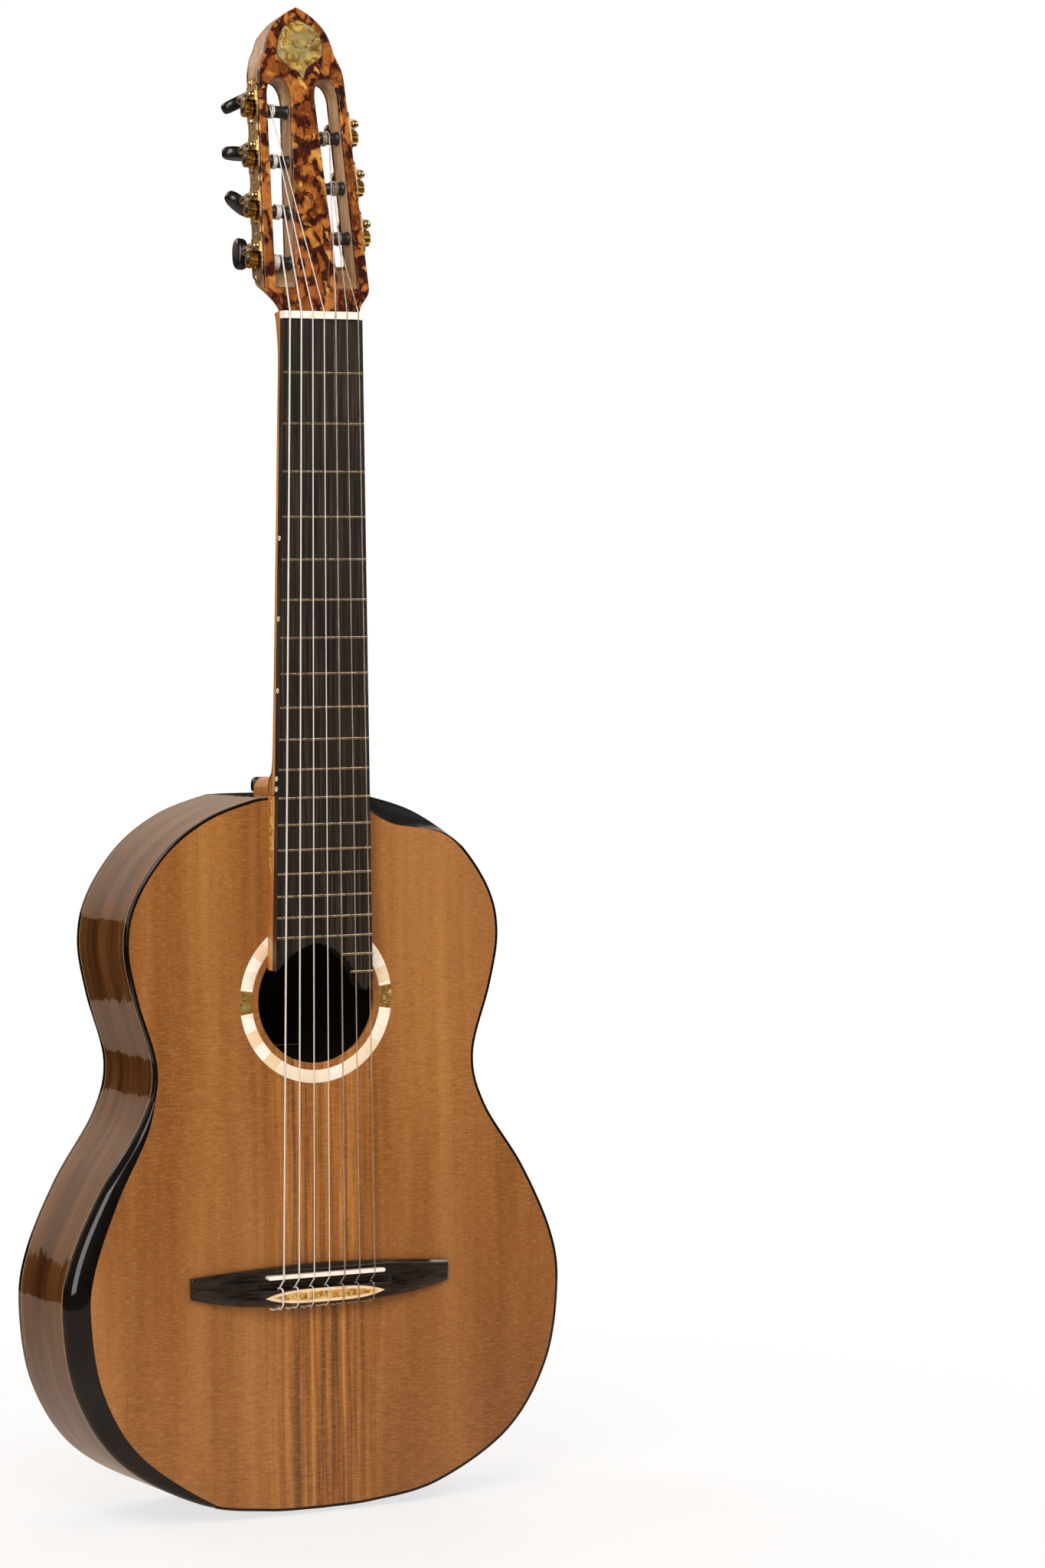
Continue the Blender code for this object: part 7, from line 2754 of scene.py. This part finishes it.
@dataclass
class Stage:
    """Pale floor, soft lamps and the photograph's camera."""

    floor_gap: float = 1.0 * MM
    floor_radius: float = 1.3
    camera_at: Point = (-1.3722, -2.9221, -0.1423)
    camera_right: Point = (0.8866, -0.4626, 0.0001)
    camera_up: Point = (0.0248, 0.0477, 0.9986)
    camera_back: Point = (-0.4619, -0.8853, 0.0538)
    lens: float = 108.75
    # Name, place, target, width, height and power of each lamp.
    lamps: tuple[tuple[str, Point, Point, float, float, float], ...] = (
        ("key", (-0.9, -1.5, 1.0), (0.0, 0.0, -0.25), 0.9, 0.9, 25.0),
        ("fill_front", (-2.6, -2.2, 0.3), (0.0, 0.0, -0.4), 1.5, 1.8, 34.0),
        ("fill_right", (1.1, -1.0, 0.7), (0.05, 0.0, -0.3), 0.7, 0.7, 8.0),
        ("back_right", (1.9, 2.4, 0.9), (0.0, 0.1, -0.4), 1.5, 1.8, 44.0),
        ("back_left", (-1.6, 2.2, 1.6), (0.0, 0.1, -0.4), 1.3, 1.0, 26.0),
    )

    def clear(self) -> None:
        """Remove the objects that Blender opens with."""
        for name in ("Cube", "Light", "Camera"):
            obj = bpy.data.objects.get(name)
            if obj is not None:
                bpy.data.objects.remove(obj, do_unlink=True)

    def build(self, low: float) -> None:
        """Make the floor under the guitar's lowest point, the lamps, the world and the camera.

        Args:
            low: Height of the guitar's lowest point.
        """
        scene = bpy.context.scene
        scene.view_settings.view_transform = "Standard"
        self.floor(low - self.floor_gap)
        for lamp in self.lamps:
            self.lamp(*lamp)
        self.world()
        self.camera()

    def floor(self, height: float) -> None:
        """White disc that keeps the shadow and fades into the background.

        Args:
            height: Height of the floor.
        """
        mesh = bpy.data.meshes.new("floor")
        with edited(mesh) as bm:
            bmesh.ops.create_circle(bm, cap_ends=True, segments=64, radius=self.floor_radius)
            bmesh.ops.translate(bm, verts=bm.verts, vec=(0.0, 0.0, height))
        floor = plain_object("floor", mesh)
        made = bpy.data.materials.new("paper_floor_white")
        made.use_nodes = True
        tree = made.node_tree
        on = Painter(tree)
        on.shade("Base Color", linear_rgb("EDEBE8"))
        on.shade("Roughness", 0.8)
        on.shade("Specular IOR Level", 0.1)
        rays = on.node("LightPath").outputs
        glossy = rays["Is Glossy Ray"]
        glow = on.node("Emission", {0: on.mix(glossy, "FFFFFF", "FFE0C8")})
        feed(tree, glow.inputs[1], on.spread(glossy, 0.0, 1.0, 1.0, 0.42))
        seen = on.math("MAXIMUM", rays["Is Camera Ray"], glossy)
        seen = on.math("MAXIMUM", seen, rays["Is Transmission Ray"])
        flat = on.node("CombineXYZ", {0: on.axis(0), 1: on.axis(1)}).outputs[0]
        away = on.node("VectorMath", {0: flat}, operation="LENGTH").outputs[1]
        share = on.math("MULTIPLY", on.spread(away, 0.1, 0.85, 0.72, 1.0), seen)
        plain = tree.nodes["Principled BSDF"].outputs[0]
        mixed = on.node("MixShader", {0: share, 1: plain, 2: glow.outputs[0]})
        feed(tree, tree.nodes["Material Output"].inputs[0], mixed.outputs[0])
        mesh.materials.append(made)
        floor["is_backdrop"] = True

    def lamp(
        self, name: str, at: Point, target: Point, wide: float, high: float, power: float
    ) -> None:
        """One soft rectangular lamp aimed at a point.

        Args:
            name: Name of the lamp.
            at: Place of the lamp.
            target: Point that it faces.
            wide: Width of the lamp.
            high: Height of the lamp.
            power: Power in watts.
        """
        data = bpy.data.lights.new(name, "AREA")
        data.shape = "RECTANGLE"
        data.size, data.size_y = wide, high
        data.energy = power
        lamp = plain_object(name, data)
        lamp.location = at
        heading = Vector(target) - Vector(at)
        lamp.rotation_euler = heading.to_track_quat("-Z", "Y").to_euler()

    def world(self) -> None:
        """White to the camera and in reflections, and a soft grey fill for the rest."""
        world = bpy.data.worlds.new("studio")
        bpy.context.scene.world = world
        world.use_nodes = True
        tree = world.node_tree
        tree.nodes.clear()
        on = Painter(tree)
        rays = on.node("LightPath").outputs
        seen = on.math("MAXIMUM", rays["Is Camera Ray"], rays["Is Transmission Ray"])
        heading = on.node("TexCoord").outputs["Generated"]
        back, high = on.axis(1, heading), on.axis(2, heading)
        # The paper is white behind and beside the guitar, with a dark gap at eye level between
        # its sheets, and the camera's side is a dim room.
        paper = on.spread(back, 0.3, 0.62, 0.13, 1.0)
        off = on.math("ABSOLUTE", on.math("ADD", high, 0.1))
        paper = on.math("MINIMUM", paper, on.spread(off, 0.185, 0.195, 0.03, 1.0))
        paper = on.math("MULTIPLY", paper, on.spread(high, 0.05, 0.5, 0.42, 1.0))
        feeds = {0: rays["Is Glossy Ray"], 2: 0.42, 3: paper}
        fill = on.node("Mix", feeds, data_type="FLOAT").outputs[0]
        level = on.math("MAXIMUM", seen, fill)
        light = on.node("Background", {0: on.mix(seen, "FFE0C8", "FFFFFF"), 1: level})
        on.node("OutputWorld", {0: light.outputs[0]})

    def camera(self) -> None:
        """The photograph's camera."""
        data = bpy.data.cameras.new("camera")
        data.lens = self.lens
        data.sensor_width = 36.0
        camera = plain_object("camera", data)
        axes = Matrix((self.camera_right, self.camera_up, self.camera_back))
        turn = axes.transposed().to_4x4()
        camera.matrix_world = Matrix.Translation(self.camera_at) @ turn
        bpy.context.scene.camera = camera


def main() -> None:
    """Build the guitar from the tail to the head, and put it on its stage."""
    logging.basicConfig(level=logging.INFO, format="%(message)s")
    cad_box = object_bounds()
    stage = Stage()
    stage.clear()
    Body().build()
    Neck().build()
    head = Head()
    head.build()
    bridge = Bridge()
    bridge.build()
    TuningMachines(head, Strings(), bridge).build()
    stage.build(cad_box[0][2])


if __name__ == "__main__":
    main()
